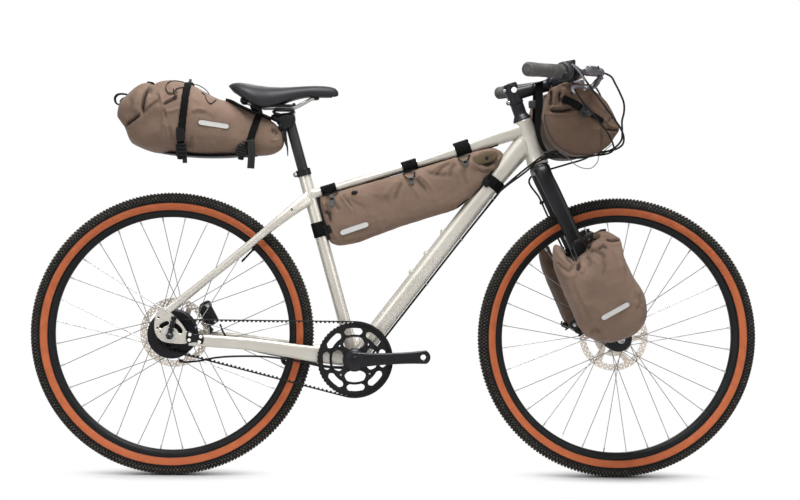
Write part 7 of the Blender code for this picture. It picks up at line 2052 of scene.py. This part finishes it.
def buildHoses():
    rear = [onGrip(.2, -1, .035)] + hoses["rear"] + [underDown(d, .002) for d in (.57, .5, .4, .3, .2,
        .1)] + [underDown(.03, .004)]
    rear += [roundShell(-62, .008), roundShell(-88, .012), roundShell(-118, .019, .002), (-.175, .033, .279),
        (-.26, .047, .296), (-.36, .052, .315), (-.425, .048, .335), (-.448, .05, .362), (-.458, .052, .385)]
    first = [onGrip(.164, -1, .014, .0245)]
    gear = first + hoses["gear"] + [underDown(.585, -.015), underDown(.54, -.008)]
    gear += [underDown(d, -.007) for d in (.5, .4, .3, .2, .1)] + [underDown(.03, -.009)]
    gear += [roundShell(-62, -.012), roundShell(-88, -.017), roundShell(-118, -.022, .002), (-.18, -.033, .283),
        (-.26, -.0355, .299), (-.33, -.036, .308), (-.401, -.0355, .309), (-.46, -.036, .305), (-.505, -.037, .296),
        (-.545, -.0388, .2925)]
    hose = Shape().cord(lineThrough(rear, 900), hoses["radius"], 12)
    hose.cord(lineThrough(rear[:2], 8), .0042, 16, paint=1)
    piece = hose.build("rearBrakeHose", [hoseBlack, buckle], None, "hose_black", "rear_brake_hose")
    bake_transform(piece)

    cable = Shape().cord(lineThrough(gear, 900), hoses["radius"], 12)
    cable.cord(lineThrough(hoses["twin"], 360), .0023, 10)
    # painted highlight: a pale sleeve over the gear cable's first stretch below the lever
    sleeve = viewed([(572.4, 64.2, -.24), (577, 68.5, -.238), (581.5, 74, -.233), (585.5, 80.5, -.228)])
    cable.cord(lineThrough(sleeve, 40), .0026, 12, paint=1)
    cable.block((-.55, -.0388, .296), (.0055, .0029, .0042), np.array(Matrix.Rotation(.2, 3, "Y")), 5, paint=2)
    piece = cable.build("gearCable", [hoseBlack, paleCableAndHighlight, softBlack], None, "hose_black", "gear_cable")
    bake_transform(piece)

    behind = np.array([legRun[2], 0, -legRun[0]])
    front = [onGrip(.2, 1, .035)] + hoses["front"] + [onLeg(s) + behind * (h + .0057) for s, h in ((.13, .0199),
        (.22, .0198), (.32, .0197), (.42, .0188), (.52, .0178), (.62, .0168), (.72, .0154))]
    front.append((.483, .05, .453))
    hose = Shape().cord(lineThrough(front, 520), hoses["radius"], 12)
    wire = [fromView(px, py, -.09) for px, py in ((560, 152), (568, 157), (575, 164), (583, 168), (592, 168),
        (598, 162), (600, 155), (606, 150), (613, 144))]
    hose.cord(lineThrough(wire, 90), .0011, 8, paint=1)
    hose.build("frontBrakeHose", [hoseBlack, paleCableAndHighlight], "steering", "hose_black", "front_brake_hose")

    clips = Shape()  # ties that hold the hoses together, and to the fork
    bundle = viewed([(544.5, 153.4, -.052), (552, 152.4, -.056), (560, 151.8, -.06), (564, 154.6, -.064),
        (569, 157.6, -.068)])
    clips.cord(lineThrough(bundle, 30), .004, 14)
    for share in (.16, .44):
        clips.block(onLeg(share) + behind * .0255, (.0052, .0062, .005), None, 4)
    for px, py, y in ((560.5, 155, -.066), (551, 154.5, -.052)):
        clips.block(fromView(px, py, y), (.0065, .006, .0055), tilted(-25), 3)
    clips.build("hoseClips", [softBlack], "steering", "hose_black")
    print("hoses built")


buildHoses()


# Camera, lights and ground
stage = {"lens": 72.16, "worldStrength": .4, "ground": (.72, .72, .72, 1), "shade": (.4, .4, .4, 1),
         "shadeReach": (.29, .14), "glossShare": .85,
         "lamps": {  # place, where it points, size, power
             "overhead": ((0.0, -.9, 3.3), (0, 0, .4), 1.5, 145), "left": ((-3.2, -3.4, 2.2), (0, 0, .5), 2.0, 44),
             "right": ((3.4, -3.0, 2.4), (0, 0, .6), 2.0, 40), "behind": ((.3, 3.2, 2.8), (0, 0, .5), 1.8, 40)}}


def placed(name, data, place, turn):  # a camera or lamp put into the scene
    holder = bpy.data.objects.new(name, data)
    bpy.context.scene.collection.objects.link(holder)
    holder.location, holder.rotation_euler = place, turn.to_euler()
    return holder


def setStage():
    lens = bpy.data.cameras.new("view")
    lens.lens, lens.sensor_width, lens.clip_end = stage["lens"], 36, 100
    bpy.context.scene.camera = placed("view", lens, eye["place"], eyeTurn())
    for name, (place, aim, size, power) in stage["lamps"].items():
        lamp = bpy.data.lights.new(name, "AREA")
        lamp.shape, lamp.size, lamp.energy = "DISK", size, power
        placed(name, lamp, place, (Vector(aim) - Vector(place)).to_track_quat("-Z", "Y"))

    world = bpy.data.worlds.new("studio")
    bpy.context.scene.world = world
    sky = Nodes(world)
    toCamera = sky.node("ShaderNodeLightPath", output="Is Camera Ray")
    through = sky.node("ShaderNodeLightPath", output="Is Transmission Ray")
    strength = sky.node("ShaderNodeMapRange", None, {"Value": toCamera.sum("MAXIMUM", toCamera, through),
        "To Min": stage["worldStrength"], "To Max": 1.0})
    background = sky.tree.nodes["Background"]
    sky.join((1, 1, 1, 1), background.inputs["Color"])
    sky.join(strength, background.inputs["Strength"])

    mesh = bpy.data.meshes.new("ground")
    mesh.from_pydata([(-9, -9, 0), (9, -9, 0), (9, 9, 0), (-9, 9, 0)], [], [(0, 1, 2, 3)])
    ground = bpy.data.objects.new("ground", mesh)
    bpy.context.scene.collection.objects.link(ground)
    material = bpy.data.materials.new("paleGround")
    floor = Nodes(material)
    floor.tree.nodes.remove(floor.tree.nodes["Principled BSDF"])
    toCamera = floor.node("ShaderNodeLightPath", output="Is Camera Ray")
    # the camera sees the ground's real shading only inside an oval round each tyre's foot, over a darker tone that is
    # painted shadow, and plain white elsewhere. Reflections see an even glow, which keeps the paint freer of grain
    spot, (long, deep) = floor.place(), stage["shadeReach"]
    for operation, value in (("ABSOLUTE", (0, 0, 0)), ("SUBTRACT", (wheels["base"] / 2, 0, 0)),
            ("MULTIPLY", (1 / long, 1 / deep, 0))):
        spot = floor.node("ShaderNodeVectorMath", {"operation": operation}, {0: spot, 1: value})
    away = floor.node("ShaderNodeVectorMath", {"operation": "LENGTH"}, {0: spot}, output="Value")
    white = toCamera * away.band(.1, 1.0)
    even = floor.node("ShaderNodeLightPath", output="Is Glossy Ray") * stage["glossShare"]
    matt, shaded = (floor.node("ShaderNodeBsdfDiffuse", None, {"Color": stage[tone]}) for tone in ("ground", "shade"))
    own = floor.node("ShaderNodeMixShader", None, {0: toCamera, 1: matt, 2: shaded})
    glow = floor.node("ShaderNodeEmission", None, {"Color": (1, 1, 1, 1), "Strength": 1.0})
    whole = floor.node("ShaderNodeMixShader", None, {0: white.sum("MAXIMUM", white, even), 1: own, 2: glow})
    floor.join(whole, floor.tree.nodes["Material Output"].inputs["Surface"])
    mesh.materials.append(material)


setStage()
bpy.context.scene.view_settings.view_transform = "Standard"
